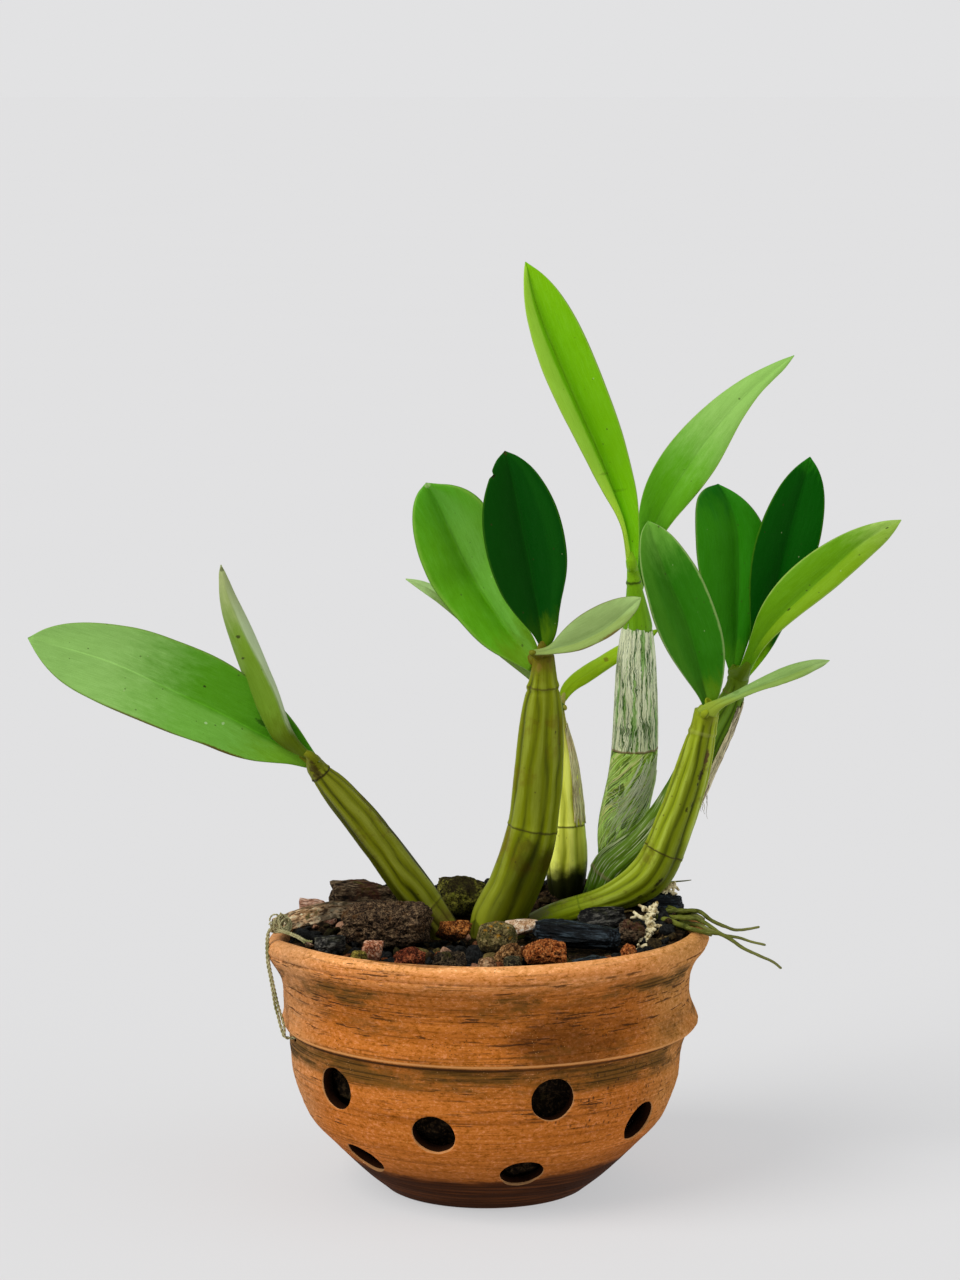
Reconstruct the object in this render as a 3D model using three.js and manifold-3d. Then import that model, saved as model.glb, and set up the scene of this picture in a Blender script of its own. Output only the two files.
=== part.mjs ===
// Potted epiphytic orchid: six pseudobulbs with leathery leaves, growing in
// lumps of lava rock, bark and charcoal in a wide perforated terracotta pot.
// Millimetres, +Z up. The origin is the centre of the pot's flat foot; +X is
// to the right and -Y towards the viewer in the reference view.
import * as THREE from "three";
import { mergeVertices } from "three/addons/utils/BufferGeometryUtils.js";
import Module from "manifold-3d";

const wasm = await Module();
wasm.setup();

// ---------------------------------------------------------------- dimensions
const RIM_RADIUS = 99.9; // widest point of the rolled lip
const POT_HEIGHT = 122.2;
const FOOT_RADIUS = 43.5; // flat ring the pot stands on
const FLOOR_TOP = 7; // thickness of the pot's floor
const HOLE_RADIUS = 10.2; // round air holes through the wall
const DRAIN_RADIUS = 5; // drain holes through the floor
const DRAIN_CIRCLE = 24; // their distance from the axis
const TIE_HOLE_RADIUS = 1.9; // small hole under the ridge that holds the twine
const POT_SEGMENTS = 40;
const MIX_TOP = 114; // level of the growing mix under the loose lumps
const GAP = 0.35; // clearance between pieces that touch
const LEAF_THICKNESS = 1.5;
const RHIZOME_RADIUS = 3.6;
const TWINE_RADIUS = 0.8;
const SHEATH_THICKNESS = 0.7;

// Wall profile as [radius, height]: outside from the foot to the lip, then
// down the inside to the floor.
const POT_OUTSIDE = [
  [FOOT_RADIUS, 0], [46.4, 0.9], [48.2, 2.6], [53.7, 7], [61.2, 14],
  [71, 24], [80.2, 34], [84.9, 44], [88.1, 54], [89.3, 64], [90.2, 71],
  [91, 75.2], [94.4, 76.8], [95.5, 79], [93.6, 83], [91.7, 88.5], [91.1, 95],
  [92, 101], [94.4, 106.5], [98, 112], [99.3, 114.6], [RIM_RADIUS, 117],
  [99.2, 119.8], [97.6, 121.6],
];
const POT_INSIDE = [
  [95.4, POT_HEIGHT], [93.2, 121.5], [92, 119], [90.2, 112], [86.6, 103],
  [85, 92], [84.2, 70], [82, 52], [75, 36], [62, 21], [51, 10.5],
  [45, FLOOR_TOP], [0, FLOOR_TOP],
];
// Air holes as [degrees round the axis from +X, height, wall slope degrees]:
// three staggered rings of five.
const HOLES = [
  [-138.8, 58.6, 8], [-70.8, 60.2, 8], [-4.5, 63.5, 8], [75, 60, 8], [147, 59, 8],
  [-105.8, 43.7, 24], [-35.5, 41.5, 24], [37, 43, 24], [110, 43, 24],
  [181, 43, 24], [-139.8, 23.6, 45], [-76.8, 22.6, 45], [-9, 24, 45],
  [63, 23, 45], [136, 23, 45],
];

// -------------------------------------------------------------------- tables
// Twine: out of the mix, over the lip, down the outside and in at the tie hole.
const TWINE_PATH = [
  [-77.4, -40.0, 121.2], [-80.2, -37.0, 121.0], [-83.6, -31.0, 121.5],
  [-87.4, -26.0, 122.0], [-91.2, -21.5, 122.2], [-94.5, -18.5, 122.5],
  [-97.0, -17.2, 121.7], [-98.5, -16.8, 118.7], [-98.8, -17.0, 113.2],
  [-98.3, -18.0, 106.5], [-97.2, -19.5, 100.4], [-96.0, -21.0, 93.8],
  [-94.9, -22.7, 87.8], [-93.7, -24.2, 84.0], [-92.1, -26.0, 78.4], [-90.2,
  -27.0, 74.4], [-85.0, -26.0, 74.0], [-82.5, -25.2, 74.0],
];
// The knot on the lip: middle of its underside.
const KNOT = [-93.8, -18.5, 121.3];
// The creeping stem that joins the bulbs under the surface.
const RHIZOME_PATH = [
  [-24, 19, 111], [-10, 23, 111], [4, 24, 111], [18, 27, 111], [32, 36, 111],
  [44, 44, 111], [52, 49, 111], [60, 54, 111],
];
// Each leaf: left edge, midrib and right edge, from base to tip.
const LEAVES = {
  leaf_1_left_broad: [
    [[-74.7,4,194.6],[-84.1,4.5,209.5],[-95.4,2.8,223.1],[-108.3,-0.1,235.3],[-122.9,-3.3,244.9],[-138.8,-7,251.8],[-154.8,-11.3,258.1],[-171.5,-15.9,261.1],[-188.3,-20.7,261.5],[-203,-25.8,256.2]],
    [[-78.8,4,195.5],[-92.7,3.3,202.5],[-106.3,0.7,210.4],[-119.8,-2.8,218.2],[-133.5,-6.3,225.5],[-147.2,-10,232.7],[-160.7,-14,240.1],[-174.6,-18,246.2],[-188.9,-22,251],[-203.2,-26,255.7]],
    [[-81.5,4,191.9],[-96.7,-1.4,195.1],[-112.1,-7,198.4],[-126.4,-12.6,205.4],[-141.1,-17.1,211.3],[-155.4,-20.9,217.9],[-169.7,-23.8,224.5],[-183.5,-25.7,232],[-195.3,-26.7,242.2],[-203.4,-26.2,255.1]],
  ],
  leaf_2_left_upright: [
    [[-82.2,-2,198],[-92.4,-1.1,202.2],[-99.2,0.3,210.6],[-104.1,2,220.6],[-108.7,2.9,230.7],[-112.5,3.8,241.2],[-116.1,4.7,251.8],[-118.9,4.8,262.6],[-120.2,4,273.8],[-119.7,1.9,284.8]],
    [[-79,-2,198],[-86.6,-5,205.9],[-91.2,-6,215.8],[-94.5,-6,226.1],[-99,-6,235.9],[-104,-5.1,245.4],[-108.8,-3.3,254.9],[-113.3,-1.6,264.5],[-117,0.2,274.4],[-119.1,2,284.8]],
    [[-74.9,-2,195.7],[-83.2,-0.3,203.1],[-89.7,1.7,211.8],[-93.6,3.8,222.1],[-97.3,4.9,232.6],[-101.1,5.8,243.1],[-105.2,6.5,253.5],[-109.6,6.2,263.9],[-114.4,4.9,274.2],[-118.5,2.1,284.8]],
  ],
  leaf_3_middle_left: [
    [[20,14,234.4],[9.1,15.1,239.9],[-1.5,17,245.9],[-10.1,18.4,254.6],[-18.2,20.6,263.8],[-25.4,21.8,273.7],[-30.2,21.9,285.1],[-33.2,22.7,297],[-33.4,24.3,309.2],[-27.7,27,319]],
    [[21.8,14,239.4],[15.1,18.4,246.9],[8.5,22.6,254.7],[2.5,25.6,263.1],[-3.1,28.5,271.8],[-8.4,29.7,280.9],[-13.2,29,290.5],[-17.6,28.3,300.2],[-22,27.7,310],[-27.2,27,319.3]],
    [[24.1,14,244.5],[19.3,16.3,254.2],[14.3,19.1,263.9],[10.3,21.1,274.2],[7.1,23.6,284.7],[4.6,24.7,295.5],[1.5,24.5,306.4],[-5.4,24.8,314.9],[-15.7,25.5,319],[-26.7,27,319.5]],
  ],
  leaf_4_middle_dark: [
    [[24,9,247.5],[17.8,6.5,256.4],[10.7,4.6,265],[5.2,2.3,274.7],[1.4,0.6,285.1],[-0.8,-0.6,295.9],[-1.8,-1.3,306.7],[-0.7,-1.5,317.5],[2.6,-1.2,327.8],[7.9,0,336.3]],
    [[25.6,9,246.1],[24.7,9,256.3],[23.4,8.8,266.4],[21.4,7.7,276.5],[19.4,6.6,286.6],[17.4,5.3,296.6],[15.4,4,306.7],[13.4,2.7,316.7],[11.2,1.3,326.6],[8.5,0,336.4]],
    [[28.6,9,246.1],[32.6,5.6,256.8],[33.9,3.2,268.4],[36.2,0.5,279.8],[36.4,-1.3,291.3],[34.5,-2.6,302.5],[31.2,-3.1,313.3],[25.9,-3,323.2],[18.7,-2.1,331.5],[9.1,0,336.6]],
  ],
  leaf_5_middle_small: [
    [[21.7,5,246],[27.8,5.1,247.1],[32.1,5.2,251.7],[36.3,5.1,256.4],[41,4.8,260.6],[46.3,3.9,264.2],[51.9,2.6,267.3],[57.7,1,269.6],[63.8,-0.8,270.9],[69.3,-2.8,271]],
    [[20.8,5,244.4],[27,4.1,245.3],[33,3.5,247.2],[39.1,2.9,248.8],[44.9,2.3,251.2],[50.4,1.4,254.2],[55.6,0.3,257.8],[60.5,-0.8,261.8],[65,-1.9,266.2],[69.6,-3,270.5]],
    [[20.8,5,243.3],[27.4,2.4,243.9],[34,0.7,244.9],[40.5,-0.7,246],[46.8,-1.7,248.1],[52.7,-2.5,251.2],[58.3,-3.2,254.7],[63.2,-3.6,259.1],[67.4,-3.6,264.2],[69.9,-3.2,270]],
  ],
  leaf_6_back_left: [
    [[35.4,50,214.4],[29.3,50.6,223],[22.8,50.5,231.4],[15.6,50.3,239.2],[8.1,50.5,246.5],[0.2,50.1,253.6],[-8.1,48.6,260.2],[-16.8,46.3,266.4],[-26.1,43.5,271.4],[-36.5,40.4,274]],
    [[36.8,50,212],[29.6,48.5,220.3],[22.4,47,228.4],[14.8,45.9,236.1],[6.8,45.5,243.2],[-1.4,45.1,250.1],[-9.6,44.2,256.9],[-18.1,42.8,263.4],[-27,41.4,269.2],[-36.7,40,273.6]],
    [[34.4,50,210.1],[27.2,46.8,218.4],[20,44.2,226.5],[11.6,42.3,233.1],[3.6,41.6,240],[-4.2,41.2,247],[-12,40.6,254],[-19.9,40,260.9],[-28.2,39.7,267.1],[-36.9,39.6,273.2]],
  ],
  leaf_7_back_right: [
    [[34,50,218.1],[36.2,55.2,223.3],[41,59.5,226.9],[46.4,66,229.6],[52,72.8,232.1],[57.6,76.4,234.9],[63.3,76.7,237.8],[69,76.4,240.8],[74.7,75.7,243.8],[80.9,74.4,246]],
    [[35.8,50,217.2],[39.2,52.7,221.8],[44.2,55.3,225.1],[49.5,60.7,227.6],[54.8,66.9,230.2],[60.1,70.4,233],[65.5,71.3,235.9],[70.9,72.2,238.9],[76.1,73.1,242.2],[81.2,74,245.7]],
    [[37.2,50,215.3],[41.2,51.8,219.7],[46.4,53.9,222.4],[51.6,58.9,225.1],[56.8,64.9,227.7],[62,68.5,230.6],[67.1,69.6,233.9],[72.1,70.8,237.3],[77.1,72.3,240.8],[81.5,73.6,245.3]],
  ],
  leaf_8_tall_left: [
    [[64.8,46,278.9],[62.9,39.9,296.3],[54.9,35.6,311.4],[46.9,32.1,326.4],[39.1,29.7,341.3],[31.5,28.3,356.2],[24.8,27.7,371.3],[20,28.4,386.9],[17.1,30.3,402.9],[17.4,33.9,418.8]],
    [[67.3,46,278.9],[64.8,45.4,295.4],[59.6,44.8,311.3],[53.3,43.7,326.7],[46.7,42.6,342],[40,41.1,357.2],[33.4,39.3,372.4],[26.9,37.6,387.6],[21.4,35.8,403.1],[17.9,34,419]],
    [[70.1,46,278.9],[70.6,43.3,296.5],[69.4,41.3,313.9],[65.3,39.2,330.8],[60.4,37.6,347.3],[54.4,36.2,363.4],[48,34.9,379.3],[40.7,34,394.6],[31.2,33.7,408.7],[18.5,34.1,419.2]],
  ],
  leaf_9_tall_right: [
    [[70,54,269],[70.1,57.7,284.4],[70.5,60.4,299.8],[73.7,62.5,314.9],[81.1,63.9,328.6],[90.9,64.6,340.8],[102,63.9,351.7],[114.2,62,361.4],[127.5,59.5,369.3],[141.3,56.4,375.5]],
    [[71.4,54,268.1],[73.1,54.7,282.7],[77.7,55.5,296.6],[84.5,56.2,309.6],[92.2,57,322.1],[100.5,57.7,334.1],[109.5,57.7,345.6],[119.5,57.1,356.3],[130.3,56.6,366.1],[141.6,56,375.1]],
    [[72.8,54,267.2],[76.8,52.6,281.3],[83.1,52,294.4],[92.2,51.8,305.5],[101.4,52,316.6],[109.2,52.8,328.6],[115.5,53.2,341.5],[123,53.6,353.7],[132.4,54.4,364.3],[142,55.6,374.8]],
  ],
  leaf_10_right_rear: [
    [[112.1,40,230.4],[108.8,40.2,240.5],[105.2,40.9,250.3],[102.1,41.9,260.2],[99.1,43,270.2],[97.3,44.5,280.4],[96.5,45.9,290.7],[96.3,47.5,301],[97.3,49.5,311.2],[106.4,52,316.2]],
    [[113.9,40,230.4],[115,41.9,240.1],[115.8,43.7,249.7],[116.2,45.4,259.5],[116.5,46.9,269.2],[116.6,48.4,279],[116.1,49.5,288.8],[115,50.3,298.5],[112.3,51.2,307.9],[107,52,316.2]],
    [[116.2,40,230.4],[119.8,40.6,240.7],[123,41.6,251],[125.6,42.8,261.5],[127.7,44,272.1],[129,45.4,282.8],[129,46.8,293.5],[124.7,48.2,303.3],[117.3,49.9,311],[107.6,52,316.2]],
  ],
  leaf_11_right_dark: [
    [[117.5,38,230.7],[120.6,37,242.6],[121.4,36.5,254.6],[120.8,36.2,266.8],[121.1,35.8,278.9],[122.9,35,290.9],[126.5,34.7,302.4],[131.7,34.7,313.1],[138.3,35,323],[147.3,36,330.4]],
    [[119.3,38,229.8],[124.4,38.7,240.2],[128.7,39.3,251],[132.1,39.7,262.1],[134.7,39.7,273.5],[137.1,39,284.9],[139.7,38.2,296.3],[142.5,37.5,307.7],[145.4,36.7,318.9],[147.9,36,330.2]],
    [[121.2,38,228.4],[128.9,36.6,238.2],[135.1,35.8,249.1],[141.1,35.3,260],[146.2,34.8,271.3],[150.5,34,283],[153.5,33.8,295],[154.8,34,307.3],[153.9,34.6,319.5],[148.5,36,330.1]],
  ],
  leaf_12_right_long: [
    [[115.7,32,232.6],[120,28,244.5],[122.9,26.7,256.6],[128.2,25,267.7],[135.5,23.1,277.5],[144.3,20.9,285.8],[154,17.8,293],[164.3,14.2,298.9],[175.3,10.3,303.1],[186.4,6.2,305.2]],
    [[118.4,32,232.1],[123.2,26.8,242.9],[129.4,24.6,252.5],[136.7,22.3,261.2],[144.6,20.1,269.1],[152.6,17.9,277],[160.4,15.2,285.1],[168.4,12.1,292.7],[177.3,9.1,299.2],[186.7,6,304.7]],
    [[121.2,32,231.6],[125.9,24.7,242.4],[133,21,251],[141.1,17.9,258.5],[149.5,15.2,265.5],[157.8,12.9,272.5],[165.7,10.7,280],[173.3,8.6,287.7],[181,6.9,295.3],[187,5.8,304.3]],
  ],
  leaf_13_front_green: [
    [[98.7,14,218.7],[93.2,10.4,228],[87.1,7.5,236.9],[81.4,5.4,245.9],[76.9,4.6,255.2],[73.8,4.2,265.1],[71.2,4,275.1],[69.3,4.2,285.1],[69.1,4.7,295.3],[72.3,6,304.1]],
    [[101.5,14,219.2],[98.6,12.5,228.9],[96.1,11,238.8],[93.6,9.9,248.5],[90.6,9.5,258],[86.8,9.1,267.2],[82.8,8.5,276.2],[79,7.7,285.4],[75.7,6.8,294.8],[72.9,6,304.3]],
    [[104.2,14,218.7],[107.4,9.6,229.6],[108.2,6.1,241],[107.1,3.6,252.1],[104.1,2.6,262.7],[100.1,2.2,272.8],[95.5,2.3,282.5],[89.5,2.8,291.5],[82.6,3.9,299.4],[73.5,6,304.4]],
  ],
  leaf_14_front_small: [
    [[95.8,9,217.2],[101.3,9,221.5],[108.1,8.6,224.1],[114.6,8,227.3],[121,7.1,230.9],[127.3,5.8,234.5],[133.7,4.1,237.8],[140.4,2.1,240.6],[147.3,-0.2,242.3],[154.3,-2.7,242.6]],
    [[99,9,215.8],[104.3,7.5,220.2],[110.6,6.2,223.1],[116.9,4.9,225.9],[123.1,3.6,228.8],[129.5,2.3,231.4],[135.8,1,234],[142,-0.3,236.9],[148.1,-1.7,239.9],[154.5,-3,242.2]],
    [[104.4,9,214.5],[108.1,6,219.9],[113.8,3.7,223],[119.5,1.8,226],[125.5,0.2,228.5],[131.6,-1.1,230.4],[137.6,-2.1,232.5],[143.5,-2.8,235.2],[149.1,-3.2,238.2],[154.7,-3.3,241.7]],
  ],
};
// Each bulb as [x, y, z, radius] from base to top.
const BULBS = {
  pseudobulb_1_left: [[-18.3,17,112.7,7.3],[-23.2,15.9,120.5,7.3],[-28.4,14.8,127.9,8.2],[-33.9,13.7,135.2,8.6],[-39.1,12.6,142.6,8.5],[-44.3,11.5,150.1,8.3],[-49.7,10.3,157.4,8.1],[-54.9,8.8,164.9,7.9],[-60.5,7.4,171.9,7.4],[-66.1,5.9,179,7],[-71.8,4.5,186,5.7],[-77.4,3,193,4.2]],
  pseudobulb_2_middle: [[5.6,19,110.8,12.4],[7.1,18.6,123.1,12.4],[12.9,18.3,133.9,11.7],[17.4,17.9,145.3,11.8],[20.6,17.5,157.1,11.7],[22.6,17.2,169.2,11.2],[23.6,16.5,181.5,11.2],[24.3,15.4,193.8,10.9],[25.1,14.3,206,10.2],[25.8,13.2,218.2,9.3],[26.2,12.1,230.4,6.1],[26.4,11,242.6,4.5]],
  pseudobulb_3_rear: [[37.8,62,115.8,4.7],[37.7,61.3,124.6,8.6],[38.2,60.5,133.4,9.8],[38.4,59.8,142.1,9.5],[38.5,59.1,150.8,8.8],[38.3,58.4,159.6,7.9],[38.2,57.4,168.3,7.1],[37.9,56.1,177.1,6.2],[37.5,54.8,185.8,5.2],[36.7,53.5,194.5,3.9],[35.9,52.3,203.2,2],[35.6,51,211.9,0.7]],
  pseudobulb_4_tall: [[59.5,53,114.9,4.2],[60.9,55.3,129.4,7.2],[62.3,57.4,144,10.2],[64.1,59.4,158.6,11.5],[67.4,59.4,173.2,11.4],[69.5,58.5,188.2,11],[69.9,57.1,203.4,10.6],[69.8,55.3,218.6,10.2],[69.9,53.5,233.7,9.4],[70.1,51.6,248.8,7.4],[68.9,49.8,263.7,4.2],[67.6,48,278.6,2.5]],
  pseudobulb_5_right_rear: [[50,44,117,9.3],[55.4,43.6,128,9.3],[62.3,43.3,137.9,12],[71.7,42.9,145.5,10.9],[80,42.5,154.3,10.3],[87,42.2,164.1,9.7],[92.9,41.6,174.7,9.1],[97.6,40.9,185.9,8.8],[102.5,40.2,197,8.7],[108.1,39.5,207.7,7.7],[113.5,38.7,218.4,5.5],[116.8,38,230,5.5]],
  pseudobulb_6_front: [[22.3,27,114.3,5.7],[33.7,26.1,119.9,5.7],[45.8,25.2,123.6,5.7],[57.8,24.3,127.8,6.6],[69.2,23.2,133.4,9],[78.1,22,142.6,9.9],[83.5,20.8,154.4,9.3],[87.7,19.7,166.6,8.7],[91.6,18.5,178.9,8.2],[95.2,17.3,191.2,7.8],[98.1,16.2,203.7,6.4],[100.6,15,216.3,6.4]],
};

const LEAF_ORDER = [
  "leaf_14_front_small", "leaf_13_front_green", "leaf_5_middle_small",
  "leaf_4_middle_dark", "leaf_3_middle_left", "leaf_2_left_upright",
  "leaf_1_left_broad", "leaf_12_right_long", "leaf_11_right_dark",
  "leaf_10_right_rear", "leaf_8_tall_left", "leaf_9_tall_right",
  "leaf_6_back_left", "leaf_7_back_right",
];
const LEAF_COLORS = {
  leaf_1_left_broad: 0x5f9c3c, leaf_2_left_upright: 0x6f8430,
  leaf_3_middle_left: 0x4c9424, leaf_4_middle_dark: 0x0c470c,
  leaf_5_middle_small: 0x8fb068, leaf_6_back_left: 0x93a878,
  leaf_7_back_right: 0x86a218, leaf_8_tall_left: 0x68a400,
  leaf_9_tall_right: 0x57ac28, leaf_10_right_rear: 0x267c08,
  leaf_11_right_dark: 0x044c04, leaf_12_right_long: 0x6f9a0c,
  leaf_13_front_green: 0x2f701c, leaf_14_front_small: 0x7fa455,
};
// Dry sheaths: name, bulb, lower and upper height, first and last angle,
// clearance of the inner face from the bulb's outline, colour.
const SHEATHS = [
  ["sheath_4_upper", "pseudobulb_4_tall", 187, 242, 15, 375, -SHEATH_THICKNESS, 0xc3c9a6],
  ["sheath_4_lower", "pseudobulb_4_tall", 148, 185, 15, 375, -SHEATH_THICKNESS, 0x9fae84],
  ["sheath_5", "pseudobulb_5_right_rear", 168, 212, -45, 105, 0.4, 0x8c7b5c],
  ["sheath_3", "pseudobulb_3_rear", 162, 194, -45, 75, 0.4, 0xb8a878],
];
// Green roots: name, radius at the base, centre line.
const ROOTS = [
  ["aerial_root_1", 1.45,
    [[78.4,14,123.2],[84.8,13,123.6],[90.1,10,124.5],[95.4,6,125.3],[98.4,3,125],[101.5,1,122.9],[105.5,-1,121],[109.9,-3,119.6],[114,-4,118.6],[119.4,-5,119.4],[123.8,-6,120.5]]],
  ["aerial_root_2", 1.4,
    [[81.2,4,122.7],[85.5,-1,123.8],[89.8,-6,124.6],[94.5,-10,125.3],[98.5,-13,124.1],[102.4,-16,122.2],[106.3,-18,119.8],[110.8,-19,118.9],[115.2,-20,118.2],[120.1,-21,116.8],[125.5,-22,115.7]]],
  ["aerial_root_3", 1.55,
    [[78,4,123],[82.2,-4,123.3],[87.2,-12,122.9],[92.6,-22,122.8],[97.6,-28,122.9],[101.1,-30,122.9],[105.1,-31,122.5],[109.1,-31,120.2],[113.6,-31,117.2],[118.6,-31,114.5],[123.5,-31,112.2],[128.5,-31,109.9],[132.1,-31,107.1]]],
  ["aerial_root_4", 0.6,
    [[85.1,31,133.7],[87.9,32,133.7],[91.2,33,133.7],[95,34,134]]],
];
// Tangled dry roots: name, radius, strands.
const DRY_ROOTS = [
  ["dry_roots_front", 1.5, [
    [[77.2,8,127.7],[76.1,2,125.7],[74.5,-4,123.3],[74.5,-14,120.8],[72.8,-22,118.9],[73.4,-30,117],[74.1,-36,116]],
    [[76.1,2,125.7],[72.5,4,126.7],[69.8,6,128.1]],
    [[74.5,-4,123.3],[70.5,-2,124.2],[67.4,2,125.7]],
    [[74.5,-14,120.8],[71.4,-14,120.8],[69.6,-12,121.8]],
    [[72.8,-22,118.9],[69.7,-22,118.4],[68.4,-20,118.9]],
    [[73.4,-30,117],[70.3,-30,117],[67.5,-32,115.6]],
    [[74.5,-14,120.8],[77.3,-12,122.2],[79.6,-12,121.8]]]],
  ["dry_roots_rear", 1.2, [
    [[81.1,24,130],[83.5,25,131.2],[85.3,26,132.8],[86.3,27,134]],
    [[83.5,25,131.2],[85.8,25,130.2],[88.1,26,129.1]],
    [[85.3,26,132.8],[87.7,27,132.1],[89.1,28,130.5]]]],
];
const BARK_STRIP = [
  [-96.5, -8, 122], [-90, -7, 124.4], [-80, -4, 127], [-68, 0, 128.5], [-57, 5, 127.2],
];
// Loose lumps: [x, y, lowest z, width, depth, height, turn, boxiness, seed].
const Z0 = MIX_TOP + 0.35;
const LUMPS = [
  ["husk_block", [-45, -13, Z0, 41, 37, 18, -12, 0.7, 11], 0x4a382a],
  ["charcoal_stick", [40.5, -24, Z0, 44, 12.5, 12.5, -28, 0.8, 12], 0x1d2630],
  ["lava_orange_cube", [25.5, -60, Z0, 19.5, 14, 12, 4, 0.8, 13], 0xb0562c],
  ["pebble_mossy", [5, -36, Z0, 18.5, 14, 15.5, 0, 0.25, 14], 0x6d6238],
  ["lava_orange", [-14.5, -9, Z0, 17, 12, 10.5, 12, 0.5, 15], 0xa8622a],
  ["chip_pale", [16, -1, Z0, 19, 11, 8.5, -8, 0.5, 16], 0xd8b79c],
  ["charcoal_burnt", [53, 7, Z0, 23, 12, 13, 12, 0.6, 17], 0x3a3c3a],
  ["bark_slab_rear", [-56, 36, Z0, 34, 12, 19.5, 8, 0.8, 18], 0x5a4a3c],
  ["moss_chunk_rear", [-12, 45, Z0, 25, 16, 20, 5, 0.6, 19], 0x4c4628],
  ["clay_shard", [-76.5, 28, Z0, 19, 7, 12, -24, 0.8, 20], 0xb57d62],
  ["charcoal_left", [-69.5, -41, Z0, 14, 12, 10.5, 20, 0.6, 21], 0x24242a],
  ["pebble_yellow_green", [-56, -60, Z0, 7.5, 7, 7.3, 0, 0.2, 22], 0x8a7a35],
  ["chip_pink", [-50, -50, Z0, 9, 7, 9.3, -20, 0.6, 23], 0xc27f5c],
  ["lava_red", [-33.5, -66, Z0, 14.5, 11, 10.2, 15, 0.5, 24], 0x8a3a22],
  ["lava_dark", [-16, -72, Z0, 15.5, 12, 10, -5, 0.5, 25], 0x40322c],
  ["pebble_small_front", [0.5, -77, Z0, 8.5, 7.5, 8, 0, 0.3, 26], 0x94704a],
  ["lava_brown", [9.5, -59, Z0, 12.5, 10, 10.5, 8, 0.5, 27], 0x8a5a36],
  ["pebble_dark", [11.5, -74, Z0, 8, 7, 8, 0, 0.3, 28], 0x4a4238],
  ["charcoal_strip", [46, -68, Z0, 19, 9, 6.5, 22, 0.8, 29], 0x2a2c30],
  ["chip_red", [63, -49, Z0, 8, 6.5, 7.5, 30, 0.5, 30], 0xa4552e],
  ["bark_chunk_right", [65, -18, Z0, 13, 15, 13, 10, 0.6, 31], 0x46301f],
  ["charcoal_rear_right", [81, 26, Z0, 18, 10, 15.5, 12, 0.6, 32], 0x1c1d20],
];

// ------------------------------------------------------------------- helpers
const V = (a) => new THREE.Vector3(a[0], a[1], a[2]);

function toSolid(geometry) {
  const g = geometry.index ? geometry.toNonIndexed() : geometry.clone();
  const bare = new THREE.BufferGeometry().setAttribute(
    "position",
    g.getAttribute("position"),
  );
  const m = mergeVertices(bare, 1e-4);
  const make = (tri) =>
    new wasm.Manifold(
      new wasm.Mesh({
        numProp: 3,
        vertProperties: new Float32Array(m.attributes.position.array),
        triVerts: tri,
      }),
    );
  // faces of no area are dropped
  const idx = [];
  const a = m.index.array;
  for (let i = 0; i < a.length; i += 3)
    if (a[i] !== a[i + 1] && a[i + 1] !== a[i + 2] && a[i] !== a[i + 2])
      idx.push(a[i], a[i + 1], a[i + 2]);
  let s = make(new Uint32Array(idx));
  if (s.volume() < 0) {
    for (let i = 0; i < idx.length; i += 3)
      [idx[i + 1], idx[i + 2]] = [idx[i + 2], idx[i + 1]];
    s = make(new Uint32Array(idx));
  }
  return s;
}

function toGeometry(solid) {
  const m = solid.getMesh();
  const n = m.numProp;
  const v = new Float32Array(m.numVert * 3);
  for (let i = 0; i < m.numVert; i++)
    v.set(m.vertProperties.subarray(i * n, i * n + 3), i * 3);
  const g = new THREE.BufferGeometry();
  g.setAttribute("position", new THREE.BufferAttribute(v, 3));
  g.setIndex(new THREE.BufferAttribute(new Uint32Array(m.triVerts), 1));
  g.computeVertexNormals();
  return g;
}

// The largest body of a solid, so that a cut leaves one piece.
function largest(solid) {
  const bodies = solid.decompose();
  return bodies.reduce((p, q) => (q.volume() > p.volume() ? q : p), bodies[0]);
}

// Repeatable pseudo-random number from 0 to 1.
function hash(a, b = 0, c = 0, d = 0) {
  const s = Math.sin(a * 127.1 + b * 311.7 + c * 74.7 + d * 19.19) * 43758.5453;
  return s - Math.floor(s);
}

// Local frame of a stem: across points right of the stem, away points from
// the viewer, both square to its direction.
function frameOf(points, i) {
  const t = V(points[Math.min(i + 1, points.length - 1)])
    .sub(V(points[Math.max(i - 1, 0)]))
    .normalize();
  const away = new THREE.Vector3(0, 1, 0)
    .addScaledVector(t, -t.y)
    .normalize();
  const across = new THREE.Vector3().crossVectors(away, t);
  return { t, away, across };
}

// Closed surface through equal rings of points, with a fan at each end.
function ringSolid(rings, closed = false) {
  const p = [];
  const n = rings[0].length;
  const quad = (a, b, c, d) => p.push(...a, ...b, ...c, ...a, ...c, ...d);
  const last = closed ? rings.length : rings.length - 1;
  for (let i = 0; i < last; i++) {
    const r = rings[i];
    const s = rings[(i + 1) % rings.length];
    for (let j = 0; j < n; j++) quad(r[j], r[(j + 1) % n], s[(j + 1) % n], s[j]);
  }
  if (!closed)
    for (const [ring, flip] of [[rings[0], true], [rings[rings.length - 1], false]]) {
      const c = [0, 1, 2].map((k) => ring.reduce((q, v) => q + v[k], 0) / n);
      for (let j = 0; j < n; j++) {
        const a = ring[j];
        const b = ring[(j + 1) % n];
        if (flip) p.push(...c, ...b, ...a);
        else p.push(...c, ...a, ...b);
      }
    }
  const g = new THREE.BufferGeometry();
  g.setAttribute("position", new THREE.Float32BufferAttribute(p, 3));
  return toSolid(g);
}

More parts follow.
